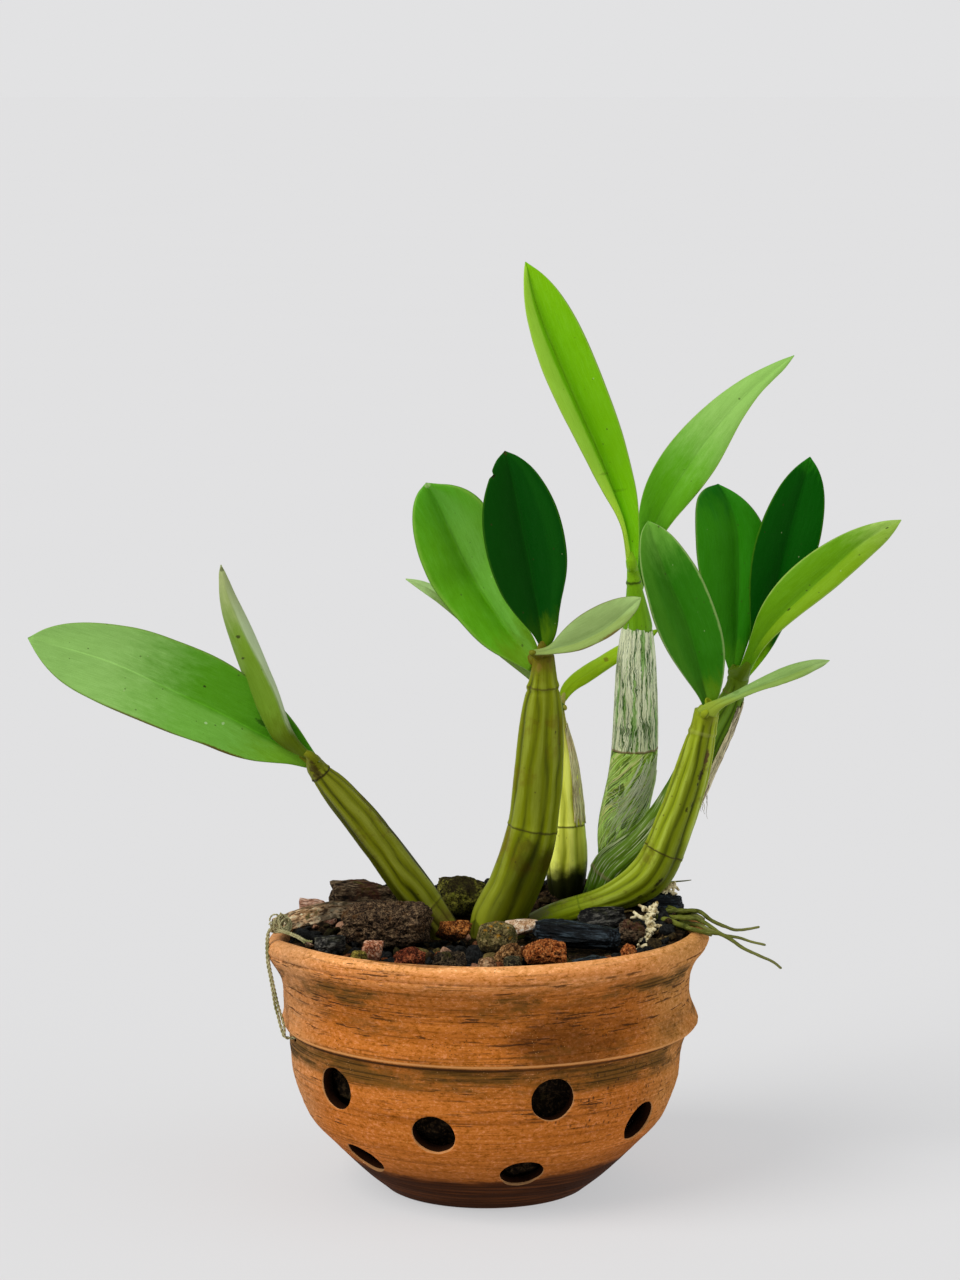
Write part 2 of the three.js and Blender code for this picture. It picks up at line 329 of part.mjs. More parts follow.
// Tapering stem through stations [x, y, z, radius].
function stemSolid(stations, sides, grow = 0) {
  const rings = stations.map((s, i) => {
    const { away, across } = frameOf(stations, i);
    return Array.from({ length: sides }, (_, j) => {
      const a = (2 * Math.PI * (j + 0.5)) / sides;
      return V(s)
        .addScaledVector(across, Math.cos(a) * (s[3] + grow))
        .addScaledVector(away, Math.sin(a) * (s[3] + grow))
        .toArray();
    });
  });
  return ringSolid(rings);
}

// Thin wall over part of a stem, from angle a0 to a1 in degrees (0 is the
// right-hand side, -90 faces the viewer).
function wallSolid(stations, a0, a1, steps, inner, outer) {
  const whole = a1 - a0 >= 360;
  const count = whole ? steps : steps + 1;
  const rings = Array.from({ length: count }, (_, j) => {
    const a = THREE.MathUtils.degToRad(a0 + ((a1 - a0) * j) / steps);
    const at = (s, i, r) => {
      const { away, across } = frameOf(stations, i);
      return V(s)
        .addScaledVector(across, Math.cos(a) * r)
        .addScaledVector(away, Math.sin(a) * r)
        .toArray();
    };
    return [
      ...stations.map((s, i) => at(s, i, s[3] + outer)),
      ...stations.map((s, i) => at(s, i, s[3] + inner)).reverse(),
    ];
  });
  return ringSolid(rings, whole);
}

// A leaf from its two edges and its midrib, base to tip.
function leafSolid([left, middle, right], thickness, grow = 0) {
  const rings = middle.map((m, i) => {
    const lo = Math.max(i - 1, 0);
    const hi = Math.min(i + 1, middle.length - 1);
    const t = V(middle[hi]).sub(V(middle[lo])).normalize();
    const M = V(m);
    const A = V(left[i]);
    const B = V(right[i]);
    const out = B.clone().sub(A).normalize().multiplyScalar(grow);
    A.sub(out);
    B.add(out);
    if (grow && i === 0) [M, A, B].forEach((q) => q.addScaledVector(t, -grow));
    if (grow && i === middle.length - 1)
      [M, A, B].forEach((q) => q.addScaledVector(t, grow));
    const nl = new THREE.Vector3().crossVectors(M.clone().sub(A), t).normalize();
    const nr = new THREE.Vector3().crossVectors(B.clone().sub(M), t).normalize();
    const nm = nl.clone().add(nr).normalize();
    const row = [
      [A, nl, 0.7],
      [A.clone().lerp(M, 0.5), nl, 1],
      [M, nm, 1],
      [B.clone().lerp(M, 0.5), nr, 1],
      [B, nr, 0.7],
    ];
    const h = thickness / 2 + grow;
    return [
      ...row.map(([p, n, k]) => p.clone().addScaledVector(n, h * k).toArray()),
      ...row
        .map(([p, n, k]) => p.clone().addScaledVector(n, -h * k).toArray())
        .reverse(),
    ];
  });
  return ringSolid(rings);
}

// A lump with flat facets. size is its full width, depth and height; box from
// 0 (round) to 1 (blocky).
function lumpSolid([x, y, z, w, d, h, turn, box, seed], grow = 0) {
  const g = new THREE.IcosahedronGeometry(1, 1);
  const p = g.getAttribute("position");
  for (let i = 0; i < p.count; i++) {
    const v = new THREE.Vector3().fromBufferAttribute(p, i).normalize();
    const q = [v.x, v.y, v.z].map((c) => Math.round(c * 50));
    const m = Math.max(Math.abs(v.x), Math.abs(v.y), Math.abs(v.z));
    const k =
      (1 - box + box / m) * (0.88 + 0.2 * hash(q[0], q[1], q[2], seed));
    v.multiplyScalar(k);
    p.setXYZ(i, v.x, v.y, v.z);
  }
  g.computeBoundingBox();
  const b = g.boundingBox;
  const s = b.getSize(new THREE.Vector3());
  const c = b.getCenter(new THREE.Vector3());
  g.translate(-c.x, -c.y, -c.z);
  g.scale(
    (w + 2 * grow) / s.x,
    (d + 2 * grow) / s.y,
    (h + 2 * grow) / s.z,
  );
  g.rotateZ(THREE.MathUtils.degToRad(turn));
  g.translate(x, y, z + h / 2);
  return toSolid(g);
}

function boxSolid(min, max) {
  const g = new THREE.BoxGeometry(max[0] - min[0], max[1] - min[1], max[2] - min[2]);
  g.translate((min[0] + max[0]) / 2, (min[1] + max[1]) / 2, (min[2] + max[2]) / 2);
  return toSolid(g);
}

// Round section drawn along a smooth path.
function cordSolid(points, radius, sides, steps) {
  const section = new THREE.Shape(
    Array.from({ length: sides }, (_, i) => {
      const a = (2 * Math.PI * i) / sides;
      return new THREE.Vector2(Math.cos(a) * radius, Math.sin(a) * radius);
    }),
  );
  return toSolid(
    new THREE.ExtrudeGeometry(section, {
      steps,
      bevelEnabled: false,
      extrudePath: new THREE.CatmullRomCurve3(points.map(V), false, "centripetal"),
    }),
  );
}

const orchid = new THREE.Group();
const placed = []; // each made piece with its swollen copy, in order

function overlaps(a, b) {
  const p = a.boundingBox();
  const q = b.boundingBox();
  return [0, 1, 2].every((k) => p.min[k] < q.max[k] && q.min[k] < p.max[k]);
}

// Cuts a new piece back from the pieces that are already there, and adds it.
function add(name, solid, swollen, color, roughness, cutBy = () => true) {
  let s = solid;
  for (const o of placed)
    if (cutBy(o.name) && overlaps(s, o.swollen)) s = s.subtract(o.swollen);
  s = largest(s);
  placed.push({ name, swollen: swollen.add(s) });
  const mesh = new THREE.Mesh(
    toGeometry(s),
    new THREE.MeshStandardMaterial({ color, roughness, metalness: 0 }),
  );
  mesh.name = name;
  orchid.add(mesh);
  return s;
}

// ----------------------------------------------------------------------- pot
{
  const profile = [[0, 0], ...POT_OUTSIDE, ...POT_INSIDE].map(
    ([r, z]) => new THREE.Vector2(r, z),
  );
  const lathe = new THREE.LatheGeometry(profile, POT_SEGMENTS).rotateX(Math.PI / 2);
  let pot = toSolid(lathe);
  const drill = (deg, z, slope, radius, from, to, sides = 12) => {
    // the drill's axis is square to the wall: outwards and tipped down
    const a = THREE.MathUtils.degToRad(deg);
    const s = THREE.MathUtils.degToRad(slope);
    const n = new THREE.Vector3(
      Math.cos(a) * Math.cos(s),
      Math.sin(a) * Math.cos(s),
      -Math.sin(s),
    );
    const r = wallRadius(z);
    const g = new THREE.CylinderGeometry(radius, radius, to - from, sides);
    g.translate(0, (from + to) / 2, 0);
    g.applyQuaternion(
      new THREE.Quaternion().setFromUnitVectors(new THREE.Vector3(0, 1, 0), n),
    );
    g.translate(Math.cos(a) * r, Math.sin(a) * r, z);
    return toSolid(g);
  };
  for (const [deg, z, slope] of HOLES)
    pot = pot.subtract(drill(deg, z, slope, HOLE_RADIUS, -13, 9));
  pot = pot.subtract(drill(-163, 74, 0, TIE_HOLE_RADIUS, -12, 8, 8));
  for (const deg of [30, 150, 270]) {
    const a = THREE.MathUtils.degToRad(deg);
    const g = new THREE.CylinderGeometry(DRAIN_RADIUS, DRAIN_RADIUS, 30, 12);
    g.rotateX(Math.PI / 2);
    g.translate(Math.cos(a) * DRAIN_CIRCLE, Math.sin(a) * DRAIN_CIRCLE, 3);
    pot = pot.subtract(toSolid(g));
  }
  // the wall and lip with clearance all round, for what leans on them
  const closed = [...POT_OUTSIDE, ...POT_INSIDE.slice(0, -1)];
  const fat = closed.map(([r, z], i) => {
    const [r0, z0] = closed[(i + closed.length - 1) % closed.length];
    const [r1, z1] = closed[(i + 1) % closed.length];
    const d = Math.hypot(r1 - r0, z1 - z0);
    return new THREE.Vector2(
      r + (GAP * (z1 - z0)) / d,
      z - (GAP * (r1 - r0)) / d,
    );
  });
  fat.push(fat[0].clone());
  let near = toSolid(
    new THREE.LatheGeometry(fat, POT_SEGMENTS).rotateX(Math.PI / 2),
  );
  near = near.subtract(drill(-163, 74, 0, TIE_HOLE_RADIUS - GAP, -12, 8, 8));
  add("clay_pot", pot.warp(settle), near.warp(settle), 0xb06a38, 0.85);
}

// The bowl dried a little out of true: its rim falls away to the back and
// dips at the left, and the ridge and lip sit slightly to the right.
function settle(v) {
  const [x, y, z] = v;
  const ramp = THREE.MathUtils.smoothstep;
  const r = Math.hypot(x, y);
  const c = r > 1 ? x / r : 0;
  const w = ramp(z, 84, 112);
  const back = w + (1 - w) * ramp(x, -40, 40);
  const right = w + (1 - w) * ramp(x, 0, 60);
  const off = Math.acos(Math.max(-1, Math.min(1, -c)));
  const dip = 0.032 * w * Math.exp(-((off / 0.314) ** 2));
  v[2] = z * (1 - 2.85e-4 * (y + 91) * back + 1.3e-4 * Math.max(x, 0) * right - dip);
  let dr = 0;
  if (r > 88 && z < 100) dr = c * 1.9 * Math.exp(-(((z - 79.5) / 7.5) ** 2));
  if (r > 95 && z > 108) dr = c * 0.8 * ramp(z, 108, 116);
  v[0] = x + dr * c;
  v[1] = r > 1 ? y + (dr * y) / r : y;
}

function wallRadius(z) {
  for (let i = 1; i < POT_OUTSIDE.length; i++) {
    const [r0, z0] = POT_OUTSIDE[i - 1];
    const [r1, z1] = POT_OUTSIDE[i];
    if (z >= z0 && z <= z1) return r0 + ((r1 - r0) * (z - z0)) / (z1 - z0);
  }
  return RIM_RADIUS;
}

// --------------------------------------------------------------------- twine
{
  const tube = cordSolid(TWINE_PATH, TWINE_RADIUS, 8, 52);
  const fat = cordSolid(TWINE_PATH, TWINE_RADIUS + GAP, 8, 52);
  const knot = (grow) =>
    lumpSolid([...KNOT, 5.4, 4.4, 7, 20, 0.2, 3], grow);
  add("tie_twine", tube.add(knot(0)), fat.add(knot(GAP)), 0xb9b48e, 0.9);
}

// ------------------------------------------------------- rhizome, mix, bulbs
{
  const line = RHIZOME_PATH.map((p) => [...p, RHIZOME_RADIUS]);
  add("rhizome", stemSolid(line, 10), stemSolid(line, 10, GAP), 0x6f6a2c, 0.7);

  const inner = POT_INSIDE.slice(2, -1)
    .map(([r, z]) => new THREE.Vector2(r - 0.5, Math.max(z, FLOOR_TOP + 0.4)))
    .filter((v) => v.y < MIX_TOP);
  const top = 90.7 - 0.5;
  const profile = [
    new THREE.Vector2(0, FLOOR_TOP + 0.4),
    ...inner.reverse(),
    new THREE.Vector2(top, MIX_TOP),
    new THREE.Vector2(0, MIX_TOP),
  ];
  const mix = toSolid(
    new THREE.LatheGeometry(profile, POT_SEGMENTS).rotateX(Math.PI / 2),
  );
  // the space under the loose lumps is closed off for what comes after
  add(
    "growing_mix",
    mix,
    boxSolid([-120, -120, 90], [120, 120, MIX_TOP + 0.3]),
    0x3a2c20,
    0.95,
    (n) => n === "rhizome" || n === "tie_twine",
  );
}

const inPot = boxSolid([-120, -120, MIX_TOP + 0.3], [160, 120, 500]);
const BULB_COLOR = 0x7f8a2c;
const WRAPPED = ["pseudobulb_4_tall"]; // the dry sheaths close round this one
const BULB_ORDER = [
  "pseudobulb_6_front",
  "pseudobulb_1_left",
  "pseudobulb_2_middle",
  "pseudobulb_5_right_rear",
  "pseudobulb_3_rear",
  "pseudobulb_4_tall",
];
const bulbStations = {};
for (const name of BULB_ORDER) {
  const st = BULBS[name].map((s) => [...s]);
  if (name !== "pseudobulb_6_front")
    st.unshift([st[0][0], st[0][1], Math.min(st[0][2] - 4, 111), st[0][3] * 0.9]);
  bulbStations[name] = st;
  const slim = st.map((s, i) =>
    WRAPPED.includes(name) && i > 1 && i < st.length - 1
      ? [s[0], s[1], s[2], s[3] - SHEATH_THICKNESS - GAP]
      : s,
  );
  add(
    name,
    stemSolid(slim, 12).intersect(inPot),
    stemSolid(slim, 12, GAP),
    BULB_COLOR,
    0.5,
    (n) => n !== "growing_mix",
  );
}

// Stations of a stem between two heights, cut at both exactly.
function stretch(stations, z0, z1) {
  const at = (z) => {
    for (let i = 1; i < stations.length; i++) {
      const a = stations[i - 1];
      const b = stations[i];
      if ((a[2] - z) * (b[2] - z) <= 0 && a[2] !== b[2]) {
        const k = (z - a[2]) / (b[2] - a[2]);
        return a.map((v, j) => v + (b[j] - v) * k);
      }
    }
    return stations[stations.length - 1];
  };
  return [at(z0), ...stations.filter((s) => s[2] > z0 + 2 && s[2] < z1 - 2), at(z1)];
}

// ------------------------------------------------------------------- sheaths
for (const [name, bulb, z0, z1, a0, a1, inner, color] of SHEATHS) {
  const st = stretch(bulbStations[bulb], z0, z1);
  const steps = Math.min(12, Math.round((a1 - a0) / 30));
  add(
    name,
    wallSolid(st, a0, a1, steps, inner, inner + SHEATH_THICKNESS),
    wallSolid(st, a0 - (a1 - a0 >= 360 ? 0 : 3), a1 + (a1 - a0 >= 360 ? 0 : 3), steps, inner - GAP, inner + SHEATH_THICKNESS + GAP),
    color,
    0.8,
    (n) => !n.startsWith(bulb),
  );
}

// -------------------------------------------------------------------- leaves
for (const name of LEAF_ORDER)
  add(
    name,
    leafSolid(LEAVES[name], LEAF_THICKNESS),
    leafSolid(LEAVES[name], LEAF_THICKNESS, GAP),
    LEAF_COLORS[name],
    0.42,
  );

// --------------------------------------------------------------------- roots
for (const [name, radius, points] of ROOTS) {
  const line = points.map((p, i) => [
    ...p,
    radius * (1 - (0.55 * i) / (points.length - 1)),
  ]);
  add(name, stemSolid(line, 8), stemSolid(line, 8, GAP), 0x6b7434, 0.6);
}
for (const [name, radius, strands] of DRY_ROOTS) {
  const make = (grow) =>
    strands
      .map((line) =>
        stemSolid(line.map((p, i) => [...p, radius * (1 - 0.3 * i / line.length)]), 6, grow),
      )
      .reduce((p, q) => p.add(q));
  add(name, make(0), make(GAP), 0xd9cfa6, 0.9);
}

// --------------------------------------------------------------------- lumps
{
  const line = BARK_STRIP;
  const arch = (grow) => {
    const section = new THREE.Shape([
      new THREE.Vector2(-1.7 - grow, -5.5 - grow),
      new THREE.Vector2(2.3 + grow, -5.5 - grow),
      new THREE.Vector2(2.6 + grow, 0),
      new THREE.Vector2(2.3 + grow, 5.5 + grow),
      new THREE.Vector2(-1.7 - grow, 5.5 + grow),
    ]);
    return toSolid(
      new THREE.ExtrudeGeometry(section, {
        steps: 9,
        bevelEnabled: false,
        extrudePath: new THREE.CatmullRomCurve3(line.map(V)),
      }),
    );
  };
  add("bark_strip_on_rim", arch(0), arch(GAP), 0x8d7350, 0.9);
}
for (const [name, spec, color] of LUMPS)
  add(name, lumpSolid(spec), lumpSolid(spec, GAP), color, 0.92, (n) => n !== "growing_mix");

export default orchid;
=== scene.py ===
"""Looks of the potted orchid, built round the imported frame. Metres, +Z up,
-Y towards the camera. Tables are in millimetres."""
import math

import bmesh
import bpy
import numpy as np
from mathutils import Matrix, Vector


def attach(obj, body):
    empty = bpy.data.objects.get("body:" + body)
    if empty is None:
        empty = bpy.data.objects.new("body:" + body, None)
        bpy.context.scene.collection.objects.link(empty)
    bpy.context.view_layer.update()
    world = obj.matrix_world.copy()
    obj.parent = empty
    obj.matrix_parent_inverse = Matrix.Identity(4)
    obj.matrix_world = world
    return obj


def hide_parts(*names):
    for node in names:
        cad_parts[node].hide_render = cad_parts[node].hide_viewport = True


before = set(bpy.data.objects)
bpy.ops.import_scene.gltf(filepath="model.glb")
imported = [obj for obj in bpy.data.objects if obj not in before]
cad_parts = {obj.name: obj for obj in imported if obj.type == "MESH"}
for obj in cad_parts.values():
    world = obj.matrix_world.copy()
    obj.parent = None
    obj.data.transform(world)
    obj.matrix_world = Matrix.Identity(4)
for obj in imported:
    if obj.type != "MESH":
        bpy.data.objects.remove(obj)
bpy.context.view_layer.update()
MM = 0.001
TAU = 2 * math.pi

# ------------------------------------------------------------ camera, lights
cam_data = bpy.data.cameras.new("camera")
cam_data.sensor_fit = "AUTO"
cam_data.sensor_width = 36.0
cam_data.lens = 4038.7 * 36.0 / 1280.0
cam_data.clip_start, cam_data.clip_end = 0.05, 60.0
camera = bpy.data.objects.new("camera", cam_data)
bpy.context.scene.collection.objects.link(camera)
camera.location = (-0.00267, -1.8, 0.5085)
camera.rotation_euler = (math.radians(90 - 8.14), 0.0, 0.0)
bpy.context.scene.camera = camera


def lin(r, g, b):
    """sRGB 0-255 to linear."""
    out = []
    for v in (r, g, b):
        v = v / 255.0
        out.append(v / 12.92 if v <= 0.04045 else ((v + 0.055) / 1.055) ** 2.4)
    return tuple(out)


def sun(name, toward, strength, angle, color=(1, 1, 1)):
    """toward: the direction from the object to the lamp."""
    data = bpy.data.lights.new(name, "SUN")
    data.energy = strength
    data.angle = math.radians(angle)
    data.color = color
    o = bpy.data.objects.new(name, data)
    bpy.context.scene.collection.objects.link(o)
    o.rotation_euler = Vector(toward).to_track_quat("Z", "Y").to_euler()
    return o


sun("key", (-0.85, -0.6, 0.95), 2.3, 42, (1.0, 0.985, 0.955))
sun("fill", (0.95, -0.3, 0.5), 0.6, 60, (0.97, 0.985, 1.0))
world = bpy.data.worlds.new("world")
bpy.context.scene.world = world
world.use_nodes = True
wt = world.node_tree
wt.nodes.clear()
w_out = wt.nodes.new("ShaderNodeOutputWorld")
w_mix = wt.nodes.new("ShaderNodeMixShader")
w_amb = wt.nodes.new("ShaderNodeBackground")
w_see = wt.nodes.new("ShaderNodeBackground")
w_path = wt.nodes.new("ShaderNodeLightPath")
w_amb.inputs["Color"].default_value = (0.96, 0.98, 1.0, 1)
w_amb.inputs["Strength"].default_value = 0.40
w_see.inputs["Color"].default_value = (*lin(226, 226, 227), 1)
w_see.inputs["Strength"].default_value = 1.0
wt.links.new(w_path.outputs["Is Camera Ray"], w_mix.inputs[0])
wt.links.new(w_amb.outputs[0], w_mix.inputs[1])
wt.links.new(w_see.outputs[0], w_mix.inputs[2])
wt.links.new(w_mix.outputs[0], w_out.inputs[0])
bpy.context.scene.view_settings.view_transform = "Standard"
bpy.context.scene.view_settings.look = "None"
bpy.context.scene.view_settings.exposure = 0.0
bpy.context.scene.view_settings.gamma = 1.0

# --------------------------------------------------------------------- noise
_r = np.random.default_rng(11)
_perm = np.concatenate([_r.permutation(256)] * 3)
_grad = _r.normal(size=(256, 3))
_grad /= np.linalg.norm(_grad, axis=1)[:, None]


def noise(p, scale=1.0, seed=0.0):
    """Gradient noise, about -1 to 1, for points (n, 3)."""
    q = np.asarray(p, float) * scale + np.array([17.3, 5.1, 9.7]) * (seed + 1)
    i = np.floor(q).astype(int)
    f = q - i
    i &= 255
    w = f * f * f * (f * (f * 6 - 15) + 10)
    total = np.zeros(len(q))
    for dx in (0, 1):
        a = _perm[i[:, 0] + dx]
        for dy in (0, 1):
            b = _perm[a + i[:, 1] + dy]
            for dz in (0, 1):
                g = _grad[_perm[b + i[:, 2] + dz]]
                d = f - (dx, dy, dz)
                k = (
                    (w[:, 0] if dx else 1 - w[:, 0])
                    * (w[:, 1] if dy else 1 - w[:, 1])
                    * (w[:, 2] if dz else 1 - w[:, 2])
                )
                total += k * (g * d).sum(1)
    return total * 1.6


def fbm(p, scale=1.0, octaves=4, rough=0.5, seed=0.0):
    out, amp, norm = 0.0, 1.0, 0.0
    for k in range(octaves):
        out = out + amp * noise(p, scale * 2**k, seed + 3.7 * k)
        norm += amp
        amp *= rough
    return out / norm


def cells(p, scale=1.0, seed=0):
    """Distance to the nearest of scattered points, one in each cell."""
    q = np.asarray(p, float) * scale + 31.7 * (seed + 1)
    base = np.floor(q).astype(int)
    best = np.full(len(q), 9.0)
    for dx in (-1, 0, 1):
        for dy in (-1, 0, 1):
            for dz in (-1, 0, 1):
                c = base + (dx, dy, dz)
                m = c & 255
                h = _perm[_perm[_perm[m[:, 0]] + m[:, 1]] + m[:, 2]]
                j = (_grad[h] * 0.5 + 0.5) * 0.9
                d = np.linalg.norm(c + j - q, axis=1)
                best = np.minimum(best, d)
    return best


def smoothstep(a, b, x):
    t = np.clip((np.asarray(x, float) - a) / (b - a), 0, 1)
    return t * t * (3 - 2 * t)


# -------------------------------------------------------------------- meshes
def make(name, verts, quads, attrs=None, materials=(), index=None, smooth=True):
    """A mesh object from points in millimetres and faces: an (n, 3 or 4)
    array, or a list of such arrays."""
    groups = quads if isinstance(quads, list) else [quads]
    groups = [np.asarray(g, np.int32) for g in groups if len(g)]
    me = bpy.data.meshes.new(name)
    v = np.asarray(verts, float) * MM
    me.vertices.add(len(v))
    me.vertices.foreach_set("co", v.astype(np.float32).ravel())
    loops = np.concatenate([g.ravel() for g in groups])
    sizes = np.concatenate([np.full(len(g), g.shape[1], np.int32) for g in groups])
    starts = np.concatenate([[0], np.cumsum(sizes)[:-1]]).astype(np.int32)
    me.loops.add(len(loops))
    me.loops.foreach_set("vertex_index", loops)
    me.polygons.add(len(sizes))
    me.polygons.foreach_set("loop_start", starts)
    me.polygons.foreach_set("loop_total", sizes)
    if index is not None:
        me.polygons.foreach_set("material_index", np.asarray(index, np.int32))
    me.update(calc_edges=True)
    me.validate(clean_customdata=False)
    if smooth:
        me.polygons.foreach_set("use_smooth", np.ones(len(me.polygons), bool))
    for key, value in (attrs or {}).items():
        value = np.asarray(value, np.float32)
        if value.ndim == 2:
            a = me.attributes.new(key, "FLOAT_VECTOR", "POINT")
            a.data.foreach_set("vector", value.ravel())
        else:
            a = me.attributes.new(key, "FLOAT", "POINT")
            a.data.foreach_set("value", value)
    for m in materials:
        me.materials.append(m.m if hasattr(m, "m") else m)
    o = bpy.data.objects.new(name, me)
    bpy.context.scene.collection.objects.link(o)
    return o


def grid(nu, nv, wrap_v=False, offset=0, flip=False):
    """Quads of an nu by nv sheet of points, v running fastest."""
    u = np.arange(nu - 1)[:, None]
    v = np.arange(nv if wrap_v else nv - 1)[None, :]
    a = u * nv + v
    b = u * nv + (v + 1) % nv
    q = np.stack([a, b, b + nv, a + nv], -1).reshape(-1, 4) + offset
    return q[:, ::-1] if flip else q


def fan(ring, centre, flip=False):
    ring = np.asarray(ring)
    nxt = np.roll(ring, -1)
    t = np.stack([np.full(len(ring), centre), ring, nxt], -1)
    return t[:, ::-1] if flip else t


def join(name, parts, materials=(), smooth=True):
    """One mesh of several (verts, quads, tris, attrs, material index)."""
    verts, quads, tris, qi, ti, attrs, at = [], [], [], [], [], {}, 0
    for v, q, t, a, m in parts:
        verts.append(v)
        if q is not None and len(q):
            quads.append(np.asarray(q) + at)
            qi.append(np.full(len(q), m))
        if t is not None and len(t):
            tris.append(np.asarray(t) + at)
            ti.append(np.full(len(t), m))
        for k, x in a.items():
            attrs.setdefault(k, []).append(np.asarray(x, float))
        at += len(v)
    faces, index = [], []
    if quads:
        faces.append(np.concatenate(quads))
        index.append(np.concatenate(qi))
    if tris:
        faces.append(np.concatenate(tris))
        index.append(np.concatenate(ti))
    return make(
        name,
        np.concatenate(verts),
        faces,
        {k: np.concatenate(x) for k, x in attrs.items()},
        materials,
        np.concatenate(index),
        smooth,
    )


def piece(o, slot, *nodes):
    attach(o, "root")
    if nodes:
        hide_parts(*nodes)
    return o


# ------------------------------------------------------------------- curves
def soften(p, sigma):
    """Gaussian smoothing of stations along a line, ends kept."""
    p = np.asarray(p, float)
    if sigma <= 0:
        return p
    k = int(math.ceil(sigma * 3))
    w = np.exp(-0.5 * (np.arange(-k, k + 1) / sigma) ** 2)
    w /= w.sum()
    q = p.reshape(len(p), -1)
    pre = 2 * q[0] - q[k:0:-1]
    post = 2 * q[-1] - q[-2 : -k - 2 : -1]
    e = np.concatenate([pre, q, post])
    out = np.stack([np.convolve(e[:, j], w, "valid") for j in range(q.shape[1])], 1)
    return out.reshape(p.shape)


def spline(p, n, by=None):
    """Catmull-Rom curve through stations, n points evenly along it. Columns
    past the third ride along."""
    p = np.asarray(p, float)
    m = len(p)
    e = np.concatenate([[2 * p[0] - p[1]], p, [2 * p[-1] - p[-2]]])
    t = np.linspace(0, m - 1, max(m * 12, 200))
    i = np.clip(t.astype(int), 0, m - 2)
    f = (t - i)[:, None]
    a, b, c, d = e[i], e[i + 1], e[i + 2], e[i + 3]
    q = 0.5 * (
        2 * b
        + (c - a) * f
        + (2 * a - 5 * b + 4 * c - d) * f**2
        + (3 * b - 3 * c + d - a) * f**3
    )
    s = np.r_[0, np.cumsum(np.linalg.norm(np.diff(q[:, :3], axis=0), axis=1))]
    x = np.linspace(0, s[-1], n) if by is None else np.asarray(by) * s[-1]
    return np.stack([np.interp(x, s, q[:, j]) for j in range(q.shape[1])], 1)


def frames(c):
    """Along, across and away axes at each point of a line. Away starts
    towards +Y and is carried along without twist."""
    t = np.gradient(c, axis=0)
    t /= np.linalg.norm(t, axis=1)[:, None]
    away = np.zeros_like(c)
    a = np.array([0.0, 1.0, 0.0])
    if abs(t[0] @ a) > 0.95:
        a = np.array([0.0, 0.0, 1.0])
    for i in range(len(c)):
        a = a - (a @ t[i]) * t[i]
        a /= np.linalg.norm(a)
        away[i] = a
    return t, np.cross(away, t), away


def tube(c, r, sides, shape=None, bulge=(0.0, 0.0)):
    """Closed tube round a line of points; shape(theta, s) returns the factor
    and the extra millimetres on the radius. Returns verts, quads, tris, theta
    and s for each point."""
    n = len(c)
    t, across, away = frames(c)
    s = np.r_[0, np.cumsum(np.linalg.norm(np.diff(c, axis=0), axis=1))]
    th = np.linspace(0, TAU, sides, endpoint=False)
    TH, S = np.meshgrid(th, s)
    rad = np.repeat(np.asarray(r, float)[:, None], sides, 1)
    if shape is not None:
        k, add = shape(TH, S / s[-1], c)
        rad = rad * k + add
    v = (
        c[:, None, :]
        + np.cos(TH)[..., None] * rad[..., None] * across[:, None, :]
        + np.sin(TH)[..., None] * rad[..., None] * away[:, None, :]
    )
    verts = np.concatenate(
        [v.reshape(-1, 3), [c[0] - t[0] * bulge[0]], [c[-1] + t[-1] * bulge[1]]]
    )
    tris = np.concatenate(
        [
            fan(np.arange(sides), n * sides, flip=True),
            fan(np.arange(sides) + (n - 1) * sides, n * sides + 1),
        ]
    )
    th_a = np.r_[TH.ravel(), 0, 0]
    s_a = np.r_[(S / s[-1]).ravel(), 0, 1]
    return verts, grid(n, sides, wrap_v=True), tris, th_a, s_a


